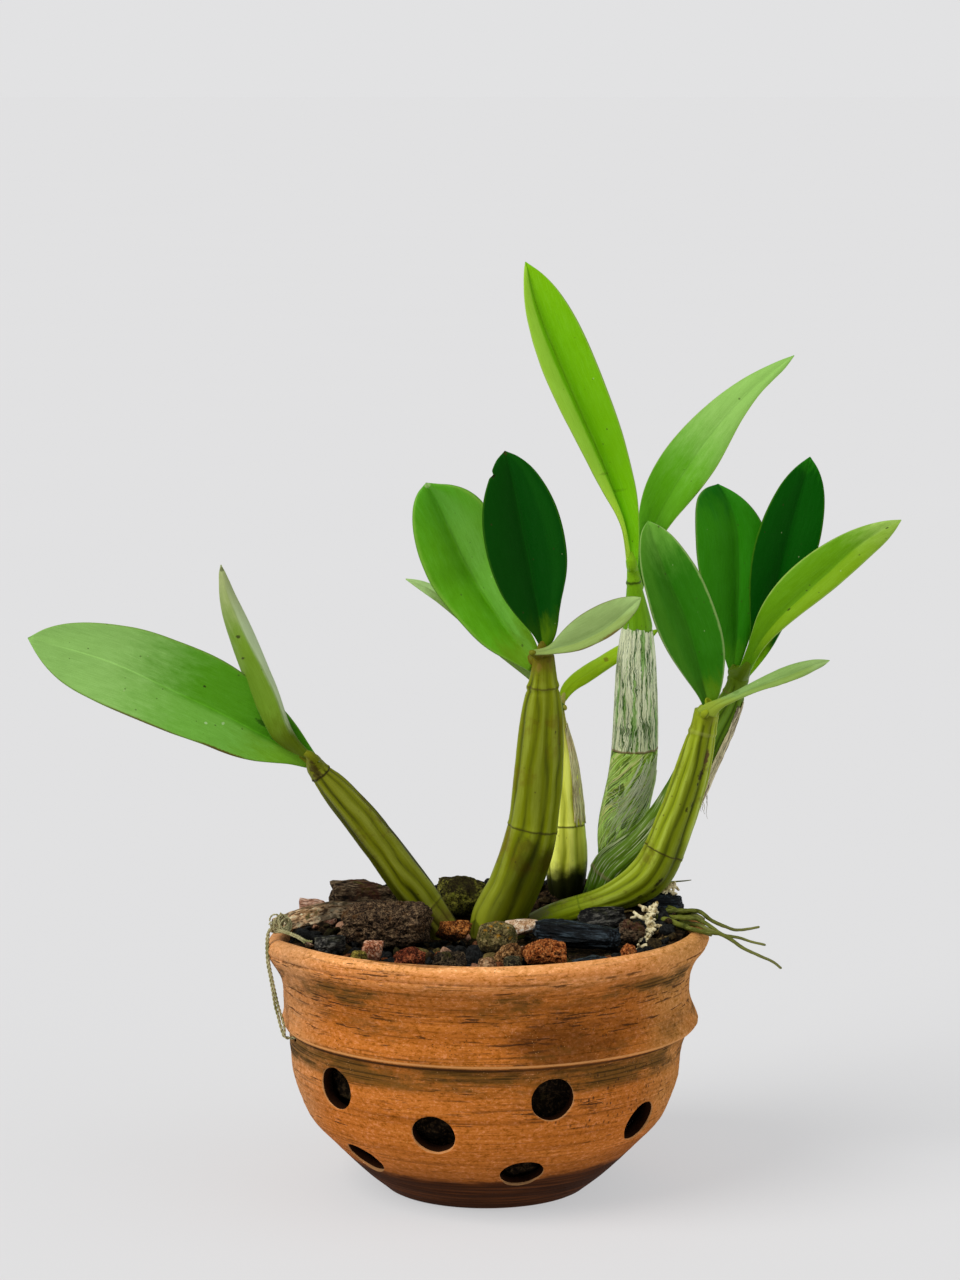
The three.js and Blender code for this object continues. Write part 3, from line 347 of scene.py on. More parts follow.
# ----------------------------------------------------------------- materials
class Mat:
    """A principled material and short names for its nodes."""

    def __init__(self, name, roughness=0.5, **sockets):
        self.m = bpy.data.materials.new(name)
        self.m.use_nodes = True
        self.t = self.m.node_tree
        self.t.nodes.clear()
        self.out = self.t.nodes.new("ShaderNodeOutputMaterial")
        self.b = self.t.nodes.new("ShaderNodeBsdfPrincipled")
        self.t.links.new(self.b.outputs[0], self.out.inputs[0])
        self.b.inputs["Roughness"].default_value = roughness
        for k, v in sockets.items():
            self.b.inputs[k.replace("_", " ")].default_value = v

    def put(self, socket, value):
        if isinstance(value, bpy.types.NodeSocket):
            self.t.links.new(value, socket)
        elif isinstance(value, (tuple, list)) and len(value) == 3:
            try:
                socket.default_value = (*value, 1.0)
            except (TypeError, ValueError):
                socket.default_value = value
        else:
            socket.default_value = value

    def end(self, color, roughness=None, normal=None):
        self.put(self.b.inputs["Base Color"], color)
        if roughness is not None:
            self.put(self.b.inputs["Roughness"], roughness)
        if normal is not None:
            self.put(self.b.inputs["Normal"], normal)
        return self

    def node(self, kind, **props):
        n = self.t.nodes.new("ShaderNode" + kind)
        for k, v in props.items():
            setattr(n, k, v)
        return n

    def attr(self, name, vector=False):
        n = self.node("Attribute", attribute_name=name)
        return n.outputs["Vector" if vector else "Fac"]

    def coord(self):
        return self.node("TexCoord").outputs["Object"]

    def xyz(self, v):
        n = self.node("SeparateXYZ")
        self.put(n.inputs[0], v)
        return n.outputs[0], n.outputs[1], n.outputs[2]

    def comb(self, x, y, z=0.0):
        n = self.node("CombineXYZ")
        for i, v in enumerate((x, y, z)):
            self.put(n.inputs[i], v)
        return n.outputs[0]

    def scale(self, v, k):
        n = self.node("VectorMath", operation="MULTIPLY")
        self.put(n.inputs[0], v)
        n.inputs[1].default_value = k if isinstance(k, (tuple, list)) else (k, k, k)
        return n.outputs[0]

    def shift(self, v, k):
        n = self.node("VectorMath", operation="ADD")
        self.put(n.inputs[0], v)
        self.put(n.inputs[1], k)
        return n.outputs[0]

    def noise(self, v, scale=1.0, detail=4.0, rough=0.5, dist=0.0, color=False):
        n = self.node("TexNoise")
        self.put(n.inputs["Vector"], v)
        n.inputs["Scale"].default_value = scale
        n.inputs["Detail"].default_value = detail
        n.inputs["Roughness"].default_value = rough
        n.inputs["Distortion"].default_value = dist
        return n.outputs["Color" if color else "Fac"]

    def cells(self, v, scale=1.0, feature="F1", out="Distance", rand=1.0, smooth=None):
        n = self.node("TexVoronoi", feature=feature)
        self.put(n.inputs["Vector"], v)
        n.inputs["Scale"].default_value = scale
        n.inputs["Randomness"].default_value = rand
        return n.outputs[out]

    def math(self, op, a, b=None, c=None, clamp=False):
        n = self.node("Math", operation=op, use_clamp=clamp)
        self.put(n.inputs[0], a)
        if b is not None:
            self.put(n.inputs[1], b)
        if c is not None:
            self.put(n.inputs[2], c)
        return n.outputs[0]

    def step(self, x, a, b, lo=0.0, hi=1.0):
        """Smooth ramp from lo at a to hi at b; a may be above b."""
        n = self.node("MapRange", interpolation_type="SMOOTHSTEP")
        self.put(n.inputs["Value"], x)
        if isinstance(a, (int, float)) and isinstance(b, (int, float)) and a > b:
            a, b, lo, hi = b, a, hi, lo
        self.put(n.inputs["From Min"], a)
        self.put(n.inputs["From Max"], b)
        self.put(n.inputs["To Min"], lo)
        self.put(n.inputs["To Max"], hi)
        return n.outputs["Result"]

    def ramp(self, x, stops, mode="LINEAR"):
        n = self.node("ValToRGB")
        r = n.color_ramp
        r.interpolation = mode
        while len(r.elements) < len(stops):
            r.elements.new(0.5)
        for e, (p, col) in zip(r.elements, stops):
            e.position = p
            e.color = (*col, 1.0)
        self.put(n.inputs[0], x)
        return n.outputs["Color"]

    def mix(self, f, a, b, mode="MIX"):
        n = self.node("Mix", data_type="RGBA", blend_type=mode)
        n.clamp_factor = True
        self.put(n.inputs[0], f)
        self.put(n.inputs[6], a)
        self.put(n.inputs[7], b)
        return n.outputs[2]

    def value(self, col, v, sat=1.0):
        """The colour with its brightness times v."""
        n = self.node("HueSaturation")
        self.put(n.inputs["Color"], col)
        self.put(n.inputs["Value"], v)
        self.put(n.inputs["Saturation"], sat)
        return n.outputs[0]

    def bump(self, height, distance, strength=1.0, normal=None):
        n = self.node("Bump")
        self.put(n.inputs["Height"], height)
        n.inputs["Distance"].default_value = distance
        n.inputs["Strength"].default_value = strength
        if normal is not None:
            self.put(n.inputs["Normal"], normal)
        return n.outputs[0]

# -------------------------------------------------------------------- tables
# Each leaf: left edge, midrib and right edge, base to tip.
LEAVES = {
    "leaf_1_left_broad": [
        [[-74.7,4,194.6],[-79.7,4.4,201.9],[-84.1,4.5,209.5],[-89.2,4.2,216.7],[-95.4,2.8,223.1],[-101.7,1.4,229.4],[-108.3,-0.1,235.3],[-115.4,-1.7,240.5],[-122.9,-3.3,244.9],[-130.8,-5,248.5],[-138.8,-7,251.8],[-146.7,-9.1,255.3],[-154.8,-11.3,258.1],[-163.2,-13.6,259.7],[-171.5,-15.9,261.1],[-179.9,-18.3,261.8],[-188.3,-20.7,261.5],[-196.4,-23.3,259.9],[-203.1,-25.9,255.9]],
        [[-78.8,4,195.5],[-86.1,3.6,198.4],[-92.7,3.3,202.5],[-99.5,2.5,206.4],[-106.3,0.7,210.4],[-113,-1,214.3],[-119.8,-2.8,218.2],[-126.6,-4.5,222],[-133.5,-6.3,225.5],[-140.4,-8,229],[-147.2,-10,232.7],[-153.9,-12,236.4],[-160.7,-14,240.1],[-167.6,-16,243.3],[-174.6,-18,246.2],[-181.8,-20,248.6],[-188.9,-22,251],[-196.1,-24,253.3],[-203.2,-26,255.7]],
        [[-81.5,4,191.9],[-88.8,0.9,194.5],[-96.7,-1.4,195.1],[-104.5,-3.8,196.2],[-112.1,-7,198.4],[-119.4,-9.9,201.5],[-126.4,-12.6,205.4],[-133.8,-15,208.3],[-141.1,-17.1,211.3],[-148.3,-19,214.6],[-155.4,-20.9,217.9],[-162.6,-22.5,221.2],[-169.7,-23.8,224.5],[-176.6,-24.9,228.3],[-183.5,-25.7,232],[-189.9,-26.3,236.5],[-195.3,-26.7,242.2],[-199.9,-26.7,248.6],[-203.3,-26.1,255.4]],
    ],
    "leaf_2_left_upright": [
        [[-82.2,-2,198],[-87.4,-1.3,199.7],[-92.4,-1.1,202.2],[-96.7,-0.8,205.8],[-99.2,0.3,210.6],[-101.6,1.3,215.6],[-104.1,2,220.6],[-106.4,2.6,225.6],[-108.7,2.9,230.7],[-110.6,3,236],[-112.5,3.8,241.2],[-114.4,4.3,246.4],[-116.1,4.7,251.8],[-117.7,4.8,257.1],[-118.9,4.8,262.6],[-120,4.5,268.2],[-120.2,4,273.8],[-120.3,3.3,279.6],[-119.4,2,284.8]],
        [[-79,-2,198],[-83.2,-3.5,201.5],[-86.6,-5,205.9],[-89.3,-6,210.7],[-91.2,-6,215.8],[-92.7,-6,221],[-94.5,-6,226.1],[-96.6,-6,231.1],[-99,-6,235.9],[-101.4,-6,240.8],[-104,-5.1,245.4],[-106.5,-4.2,250.1],[-108.8,-3.3,254.9],[-111.1,-2.4,259.7],[-113.3,-1.6,264.5],[-115.4,-0.7,269.4],[-117,0.2,274.4],[-118.4,1.1,279.6],[-119.1,2,284.8]],
        [[-74.9,-2,195.7],[-78.9,-0.8,199.4],[-83.2,-0.3,203.1],[-86.9,0.3,207.1],[-89.7,1.7,211.8],[-91.9,2.9,216.8],[-93.6,3.8,222.1],[-95.2,4.5,227.4],[-97.3,4.9,232.6],[-99.2,5,237.9],[-101.1,5.8,243.1],[-103.1,6.2,248.3],[-105.2,6.5,253.5],[-107.3,6.4,258.7],[-109.6,6.2,263.9],[-112.1,5.7,269],[-114.4,4.9,274.2],[-116.5,3.8,279.5],[-118.8,2,284.8]],
    ],
    "leaf_3_middle_left": [
        [[20,14,234.4],[14.7,14.3,237.4],[9.1,15.1,239.9],[3.6,16.1,242.6],[-1.5,17,245.9],[-6,17.6,250.1],[-10.1,18.4,254.6],[-14.1,19.4,259.2],[-18.2,20.6,263.8],[-22.1,22,268.4],[-25.4,21.8,273.7],[-27.9,21.7,279.3],[-30.2,21.9,285.1],[-31.9,22.2,291],[-33.2,22.7,297],[-33.7,23.4,303.1],[-33.4,24.3,309.2],[-31.7,25.4,315],[-27.5,27,319.1]],
        [[21.8,14,239.4],[18.5,16.2,243.2],[15.1,18.4,246.9],[11.7,20.7,250.7],[8.5,22.6,254.7],[5.5,24.1,258.9],[2.5,25.6,263.1],[-0.3,27,267.4],[-3.1,28.5,271.8],[-5.8,30,276.2],[-8.4,29.7,280.9],[-10.9,29.3,285.7],[-13.2,29,290.5],[-15.4,28.7,295.4],[-17.6,28.3,300.2],[-19.8,28,305.1],[-22,27.7,310],[-24.3,27.3,314.8],[-27.2,27,319.3]],
        [[24.1,14,244.5],[22.2,15,249.6],[19.3,16.3,254.2],[16.7,17.8,259],[14.3,19.1,263.9],[12.2,20,269],[10.3,21.1,274.2],[8.6,22.3,279.4],[7.1,23.6,284.7],[5.8,25,290],[4.6,24.7,295.5],[3.2,24.6,301],[1.5,24.5,306.4],[-1.2,24.6,311.3],[-5.4,24.8,314.9],[-10.3,25.1,317.5],[-15.7,25.5,319],[-21.2,26.1,318.9],[-26.9,27,319.4]],
    ],
    "leaf_4_middle_dark": [
        [[24,9,247.5],[21.7,7.5,252.4],[17.8,6.5,256.4],[14.1,5.6,260.6],[10.7,4.6,265],[7.6,3.4,269.7],[5.2,2.3,274.7],[3.1,1.4,279.8],[1.4,0.6,285.1],[0,0,290.4],[-0.8,-0.6,295.9],[-1.7,-1,301.3],[-1.8,-1.3,306.7],[-1.6,-1.5,312.2],[-0.7,-1.5,317.5],[1,-1.4,322.6],[2.6,-1.2,327.8],[4.3,-0.8,332.8],[8.2,0,336.4]],
        [[25.6,9,246.1],[25.2,9,251.2],[24.7,9,256.3],[24.1,9,261.3],[23.4,8.8,266.4],[22.4,8.2,271.4],[21.4,7.7,276.5],[20.4,7.1,281.5],[19.4,6.6,286.6],[18.4,6,291.6],[17.4,5.3,296.6],[16.4,4.7,301.7],[15.4,4,306.7],[14.4,3.3,311.7],[13.4,2.7,316.7],[12.4,2,321.7],[11.2,1.3,326.6],[10,0.7,331.6],[8.5,0,336.4]],
        [[28.6,9,246.1],[31.7,7,251],[32.6,5.6,256.8],[33,4.4,262.6],[33.9,3.2,268.4],[35.1,1.8,274.1],[36.2,0.5,279.8],[36.6,-0.5,285.5],[36.4,-1.3,291.3],[35.6,-2,296.9],[34.5,-2.6,302.5],[33,-2.9,308],[31.2,-3.1,313.3],[28.7,-3.1,318.4],[25.9,-3,323.2],[22.6,-2.6,327.6],[18.7,-2.1,331.5],[14.2,-1.3,334.8],[8.8,0,336.5]],
    ],
    "leaf_5_middle_small": [
        [[21.7,5,246],[24.9,5.2,246.3],[27.8,5.1,247.1],[30.2,5.2,249.1],[32.1,5.2,251.7],[34.1,5.2,254.1],[36.3,5.1,256.4],[38.6,5,258.6],[41,4.8,260.6],[43.6,4.5,262.5],[46.3,3.9,264.2],[49.1,3.3,265.8],[51.9,2.6,267.3],[54.8,1.8,268.5],[57.7,1,269.6],[60.7,0.1,270.5],[63.8,-0.8,270.9],[66.9,-1.8,271.3],[69.5,-2.9,270.8]],
        [[20.8,5,244.4],[23.9,4.5,244.8],[27,4.1,245.3],[30,3.8,246.3],[33,3.5,247.2],[36,3.2,248],[39.1,2.9,248.8],[42,2.6,249.9],[44.9,2.3,251.2],[47.7,2,252.6],[50.4,1.4,254.2],[53.1,0.9,255.8],[55.6,0.3,257.8],[58,-0.2,259.8],[60.5,-0.8,261.8],[62.7,-1.3,264],[65,-1.9,266.2],[67.3,-2.4,268.3],[69.6,-3,270.5]],
        [[20.8,5,243.3],[24.1,3.6,243.6],[27.4,2.4,243.9],[30.7,1.5,244.4],[34,0.7,244.9],[37.3,-0.1,245.3],[40.5,-0.7,246],[43.7,-1.2,246.9],[46.8,-1.7,248.1],[49.7,-2,249.6],[52.7,-2.5,251.2],[55.6,-2.9,252.7],[58.3,-3.2,254.7],[60.9,-3.5,256.8],[63.2,-3.6,259.1],[65.4,-3.6,261.6],[67.4,-3.6,264.2],[69,-3.4,267.1],[69.7,-3.1,270.3]],
    ],
    "leaf_6_back_left": [
        [[35.4,50,214.4],[32.3,50.5,218.6],[29.3,50.6,223],[26.2,50.6,227.3],[22.8,50.5,231.4],[19.2,50.3,235.3],[15.6,50.3,239.2],[12,50.5,243],[8.1,50.5,246.5],[4.2,50.3,250.2],[0.2,50.1,253.6],[-4,49.6,256.9],[-8.1,48.6,260.2],[-12.4,47.5,263.4],[-16.8,46.3,266.4],[-21.4,45,269.1],[-26.1,43.5,271.4],[-31.1,41.9,273.2],[-36.6,40.2,273.8]],
        [[36.8,50,212],[33.2,49.3,216.2],[29.6,48.5,220.3],[26.1,47.8,224.4],[22.4,47,228.4],[18.6,46.3,232.3],[14.8,45.9,236.1],[10.9,45.7,239.7],[6.8,45.5,243.2],[2.8,45.3,246.7],[-1.4,45.1,250.1],[-5.5,44.9,253.4],[-9.6,44.2,256.9],[-13.8,43.5,260.2],[-18.1,42.8,263.4],[-22.5,42.1,266.3],[-27,41.4,269.2],[-31.8,40.7,271.5],[-36.7,40,273.6]],
        [[34.4,50,210.1],[30.8,48.3,214.3],[27.2,46.8,218.4],[23.6,45.5,222.4],[20,44.2,226.5],[15.8,43.1,229.8],[11.6,42.3,233.1],[7.6,41.9,236.5],[3.6,41.6,240],[-0.3,41.3,243.4],[-4.2,41.2,247],[-8,41.1,250.5],[-12,40.6,254],[-15.9,40.2,257.5],[-19.9,40,260.9],[-24,39.8,264.1],[-28.2,39.7,267.1],[-32.4,39.7,270.2],[-36.8,39.8,273.4]],
    ],
    "leaf_7_back_right": [
        [[34,50,218.1],[34.6,52.8,220.8],[36.2,55.2,223.3],[38.5,57.4,225.2],[41,59.5,226.9],[43.7,62.4,228.3],[46.4,66,229.6],[49.1,69.5,230.9],[52,72.8,232.1],[54.8,76,233.3],[57.6,76.4,234.9],[60.4,76.6,236.4],[63.3,76.7,237.8],[66.2,76.6,239.3],[69,76.4,240.8],[71.9,76.1,242.3],[74.7,75.7,243.8],[77.7,75,245],[81.1,74.2,245.9]],
        [[35.8,50,217.2],[37.2,51.3,219.8],[39.2,52.7,221.8],[41.6,54,223.6],[44.2,55.3,225.1],[46.8,57.6,226.4],[49.5,60.7,227.6],[52.1,63.8,228.9],[54.8,66.9,230.2],[57.5,70,231.4],[60.1,70.4,233],[62.8,70.9,234.4],[65.5,71.3,235.9],[68.2,71.8,237.4],[70.9,72.2,238.9],[73.6,72.7,240.5],[76.1,73.1,242.2],[78.7,73.6,243.9],[81.2,74,245.7]],
        [[37.2,50,215.3],[39,50.8,217.7],[41.2,51.8,219.7],[43.7,52.9,221.2],[46.4,53.9,222.4],[49,55.9,223.8],[51.6,58.9,225.1],[54.2,61.9,226.4],[56.8,64.9,227.7],[59.4,68,229.1],[62,68.5,230.6],[64.6,69,232.1],[67.1,69.6,233.9],[69.6,70.2,235.6],[72.1,70.8,237.3],[74.6,71.5,239.1],[77.1,72.3,240.8],[79.4,73.1,242.8],[81.3,73.8,245.5]],
    ],
    "leaf_8_tall_left": [
        [[64.8,46,278.9],[64.2,42.5,287.7],[62.9,39.9,296.3],[59.5,37.7,304.2],[54.9,35.6,311.4],[50.9,33.7,318.9],[46.9,32.1,326.4],[43,30.7,333.9],[39.1,29.7,341.3],[35.2,29,348.7],[31.5,28.3,356.2],[27.9,27.9,363.6],[24.8,27.7,371.3],[22.2,27.9,379],[20,28.4,386.9],[18.2,29.2,394.9],[17.1,30.3,402.9],[16.8,31.7,411],[17.7,33.9,418.9]],
        [[67.3,46,278.9],[66.5,45.7,287.2],[64.8,45.4,295.4],[62.3,45.2,303.4],[59.6,44.8,311.3],[56.4,44.2,319],[53.3,43.7,326.7],[50.1,43.1,334.4],[46.7,42.6,342],[43.2,42,349.5],[40,41.1,357.2],[36.6,40.2,364.8],[33.4,39.3,372.4],[30.2,38.4,380],[26.9,37.6,387.6],[23.9,36.7,395.3],[21.4,35.8,403.1],[19.3,34.9,411],[17.9,34,419]],
        [[70.1,46,278.9],[70.5,44.5,287.7],[70.6,43.3,296.5],[70.3,42.3,305.2],[69.4,41.3,313.9],[67.4,40.2,322.3],[65.3,39.2,330.8],[63,38.4,339.1],[60.4,37.6,347.3],[57.5,37,355.4],[54.4,36.2,363.4],[51.3,35.5,371.4],[48,34.9,379.3],[44.5,34.4,387.1],[40.7,34,394.6],[36.2,33.8,401.9],[31.2,33.7,408.7],[25.3,33.7,414.7],[18.2,34.1,419.1]],
    ],
    "leaf_9_tall_right": [
        [[70,54,269],[70,56.1,276.7],[70.1,57.7,284.4],[70.1,59.1,292.1],[70.5,60.4,299.8],[71.6,61.5,307.5],[73.7,62.5,314.9],[77.2,63.3,321.9],[81.1,63.9,328.6],[85.7,64.3,334.9],[90.9,64.6,340.8],[96.3,64.6,346.4],[102,63.9,351.7],[108,63,356.7],[114.2,62,361.4],[120.7,60.9,365.6],[127.5,59.5,369.3],[134.5,58,372.5],[141.5,56.2,375.3]],
        [[71.4,54,268.1],[72,54.4,275.4],[73.1,54.7,282.7],[75,55.1,289.8],[77.7,55.5,296.6],[80.9,55.9,303.2],[84.5,56.2,309.6],[88.2,56.6,315.9],[92.2,57,322.1],[96.2,57.3,328.1],[100.5,57.7,334.1],[104.9,57.9,339.9],[109.5,57.7,345.6],[114.3,57.4,351.1],[119.5,57.1,356.3],[124.8,56.8,361.3],[130.3,56.6,366.1],[135.9,56.3,370.7],[141.6,56,375.1]],
        [[72.8,54,267.2],[74.6,53.1,274.3],[76.8,52.6,281.3],[79.8,52.2,287.9],[83.1,52,294.4],[87.4,51.8,300.1],[92.2,51.8,305.5],[96.9,51.8,311],[101.4,52,316.6],[105.6,52.3,322.4],[109.2,52.8,328.6],[112.4,53.2,335],[115.5,53.2,341.5],[119.1,53.3,347.7],[123,53.6,353.7],[127.2,54,359.4],[132.4,54.4,364.3],[137.9,55,368.9],[141.8,55.8,374.9]],
    ],
    "leaf_10_right_rear": [
        [[112.1,40,230.4],[110.5,39.9,235.5],[108.8,40.2,240.5],[107,40.5,245.4],[105.2,40.9,250.3],[103.6,41.4,255.3],[102.1,41.9,260.2],[100.6,42.4,265.2],[99.1,43,270.2],[98.2,43.7,275.3],[97.3,44.5,280.4],[96.7,45.3,285.5],[96.5,45.9,290.7],[96.3,46.7,295.8],[96.3,47.5,301],[96.4,48.5,306.1],[97.3,49.5,311.2],[100.5,50.6,315],[106.7,52,316.2]],
        [[113.9,40,230.4],[114.5,40.9,235.2],[115,41.9,240.1],[115.4,42.8,244.9],[115.8,43.7,249.7],[116,44.6,254.6],[116.2,45.4,259.5],[116.3,46.2,264.3],[116.5,46.9,269.2],[116.7,47.7,274.1],[116.6,48.4,279],[116.4,49.1,283.9],[116.1,49.5,288.8],[115.9,49.9,293.7],[115,50.3,298.5],[113.8,50.8,303.3],[112.3,51.2,307.9],[109.9,51.6,312.3],[107,52,316.2]],
        [[116.2,40,230.4],[118,40.2,235.6],[119.8,40.6,240.7],[121.5,41.1,245.8],[123,41.6,251],[124.4,42.2,256.3],[125.6,42.8,261.5],[126.8,43.3,266.8],[127.7,44,272.1],[128.4,44.7,277.5],[129,45.4,282.8],[129.4,46.2,288.2],[129,46.8,293.5],[127.5,47.5,298.7],[124.7,48.2,303.3],[121.2,49,307.4],[117.3,49.9,311],[112.8,50.8,313.8],[107.3,52,316.2]],
    ],
    "leaf_11_right_dark": [
        [[117.5,38,230.7],[119.1,37.4,236.7],[120.6,37,242.6],[121.6,36.8,248.6],[121.4,36.5,254.6],[121,36.3,260.7],[120.8,36.2,266.8],[120.7,36.1,272.8],[121.1,35.8,278.9],[121.7,35.3,285],[122.9,35,290.9],[124.6,34.8,296.6],[126.5,34.7,302.4],[128.9,34.6,307.8],[131.7,34.7,313.1],[134.6,34.8,318.3],[138.3,35,323],[142.6,35.4,327.1],[147.6,36,330.3]],
        [[119.3,38,229.8],[121.9,38.4,235],[124.4,38.7,240.2],[126.6,39.1,245.6],[128.7,39.3,251],[130.4,39.5,256.6],[132.1,39.7,262.1],[133.4,40,267.8],[134.7,39.7,273.5],[135.9,39.3,279.2],[137.1,39,284.9],[138.4,38.6,290.6],[139.7,38.2,296.3],[141.1,37.9,302],[142.5,37.5,307.7],[143.9,37.1,313.3],[145.4,36.7,318.9],[146.7,36.4,324.6],[147.9,36,330.2]],
        [[121.2,38,228.4],[125.2,37.1,233.2],[128.9,36.6,238.2],[132.4,36.2,243.4],[135.1,35.8,249.1],[138.2,35.5,254.5],[141.1,35.3,260],[143.9,35.2,265.5],[146.2,34.8,271.3],[148.4,34.3,277.1],[150.5,34,283],[152.2,33.8,289],[153.5,33.8,295],[154.3,33.8,301.2],[154.8,34,307.3],[154.8,34.2,313.5],[153.9,34.6,319.5],[151.9,35.1,325.3],[148.2,36,330.2]],
    ],
    "leaf_12_right_long": [
        [[115.7,32,232.6],[117.9,30,238.5],[120,28,244.5],[121.5,27.4,250.5],[122.9,26.7,256.6],[125.2,25.9,262.3],[128.2,25,267.7],[131.6,24.1,272.7],[135.5,23.1,277.5],[139.8,22,281.8],[144.3,20.9,285.8],[149,19.5,289.5],[154,17.8,293],[159.1,16.1,296.1],[164.3,14.2,298.9],[169.7,12.3,301.2],[175.3,10.3,303.1],[181,8.3,304.5],[186.5,6.1,304.9]],
        [[118.4,32,232.1],[120.9,29.2,237.5],[123.2,26.8,242.9],[126.1,25.7,247.9],[129.4,24.6,252.5],[133,23.4,256.9],[136.7,22.3,261.2],[140.7,21.2,265.2],[144.6,20.1,269.1],[148.7,19,273.1],[152.6,17.9,277],[156.6,16.7,280.9],[160.4,15.2,285.1],[164.2,13.6,289.2],[168.4,12.1,292.7],[172.7,10.6,296.1],[177.3,9.1,299.2],[181.9,7.5,302],[186.7,6,304.7]],
        [[121.2,32,231.6],[123.4,28,237.1],[125.9,24.7,242.4],[129.3,22.8,246.8],[133,21,251],[137.1,19.4,254.8],[141.1,17.9,258.5],[145.3,16.5,262.1],[149.5,15.2,265.5],[153.7,14,269],[157.8,12.9,272.5],[161.8,11.9,276.2],[165.7,10.7,280],[169.5,9.6,283.8],[173.3,8.6,287.7],[177.2,7.7,291.5],[181,6.9,295.3],[184.3,6.3,299.6],[186.9,5.9,304.5]],
    ],
    "leaf_13_front_green": [
        [[98.7,14,218.7],[96.5,12,223.7],[93.2,10.4,228],[90.1,8.9,232.4],[87.1,7.5,236.9],[84.1,6.3,241.3],[81.4,5.4,245.9],[79,4.9,250.5],[76.9,4.6,255.2],[75.1,4.3,260.1],[73.8,4.2,265.1],[72.5,4.2,270.1],[71.2,4,275.1],[70,4,280.1],[69.3,4.2,285.1],[68.9,4.4,290.2],[69.1,4.7,295.3],[69.7,5.2,300.3],[72.6,6,304.2]],
        [[101.5,14,219.2],[99.8,13.3,224],[98.6,12.5,228.9],[97.4,11.8,233.9],[96.1,11,238.8],[94.8,10.3,243.7],[93.6,9.9,248.5],[92.1,9.7,253.3],[90.6,9.5,258],[88.9,9.3,262.6],[86.8,9.1,267.2],[84.8,8.9,271.7],[82.8,8.5,276.2],[80.8,8.1,280.8],[79,7.7,285.4],[77.3,7.2,290.1],[75.7,6.8,294.8],[74.3,6.4,299.5],[72.9,6,304.3]],
        [[104.2,14,218.7],[106.3,11.5,224],[107.4,9.6,229.6],[108,7.8,235.3],[108.2,6.1,241],[107.9,4.6,246.6],[107.1,3.6,252.1],[105.8,3,257.5],[104.1,2.6,262.7],[102.2,2.3,267.8],[100.1,2.2,272.8],[97.9,2.3,277.7],[95.5,2.3,282.5],[92.6,2.4,287.1],[89.5,2.8,291.5],[86.3,3.2,295.7],[82.6,3.9,299.4],[78.2,4.7,302.5],[73.2,6,304.3]],
    ],
    "leaf_14_front_small": [
        [[95.8,9,217.2],[98,9.1,220],[101.3,9,221.5],[104.7,8.8,222.7],[108.1,8.6,224.1],[111.4,8.4,225.7],[114.6,8,227.3],[117.8,7.6,229.1],[121,7.1,230.9],[124.1,6.5,232.7],[127.3,5.8,234.5],[130.5,5,236.2],[133.7,4.1,237.8],[137,3.2,239.3],[140.4,2.1,240.6],[143.8,1,241.5],[147.3,-0.2,242.3],[150.8,-1.5,242.6],[154.4,-2.9,242.4]],
        [[99,9,215.8],[101.4,8.3,218.4],[104.3,7.5,220.2],[107.5,6.8,221.7],[110.6,6.2,223.1],[113.8,5.5,224.5],[116.9,4.9,225.9],[120,4.3,227.3],[123.1,3.6,228.8],[126.3,3,230.1],[129.5,2.3,231.4],[132.6,1.7,232.7],[135.8,1,234],[138.9,0.3,235.4],[142,-0.3,236.9],[145.1,-1,238.4],[148.1,-1.7,239.9],[151.3,-2.3,241.1],[154.5,-3,242.2]],
        [[104.4,9,214.5],[105.6,7.4,217.7],[108.1,6,219.9],[111,4.8,221.4],[113.8,3.7,223],[116.7,2.7,224.6],[119.5,1.8,226],[122.5,0.9,227.4],[125.5,0.2,228.5],[128.5,-0.5,229.4],[131.6,-1.1,230.4],[134.6,-1.7,231.4],[137.6,-2.1,232.5],[140.6,-2.5,233.8],[143.5,-2.8,235.2],[146.3,-3,236.7],[149.1,-3.2,238.2],[152.1,-3.2,239.5],[154.6,-3.1,241.9]],
    ],
}
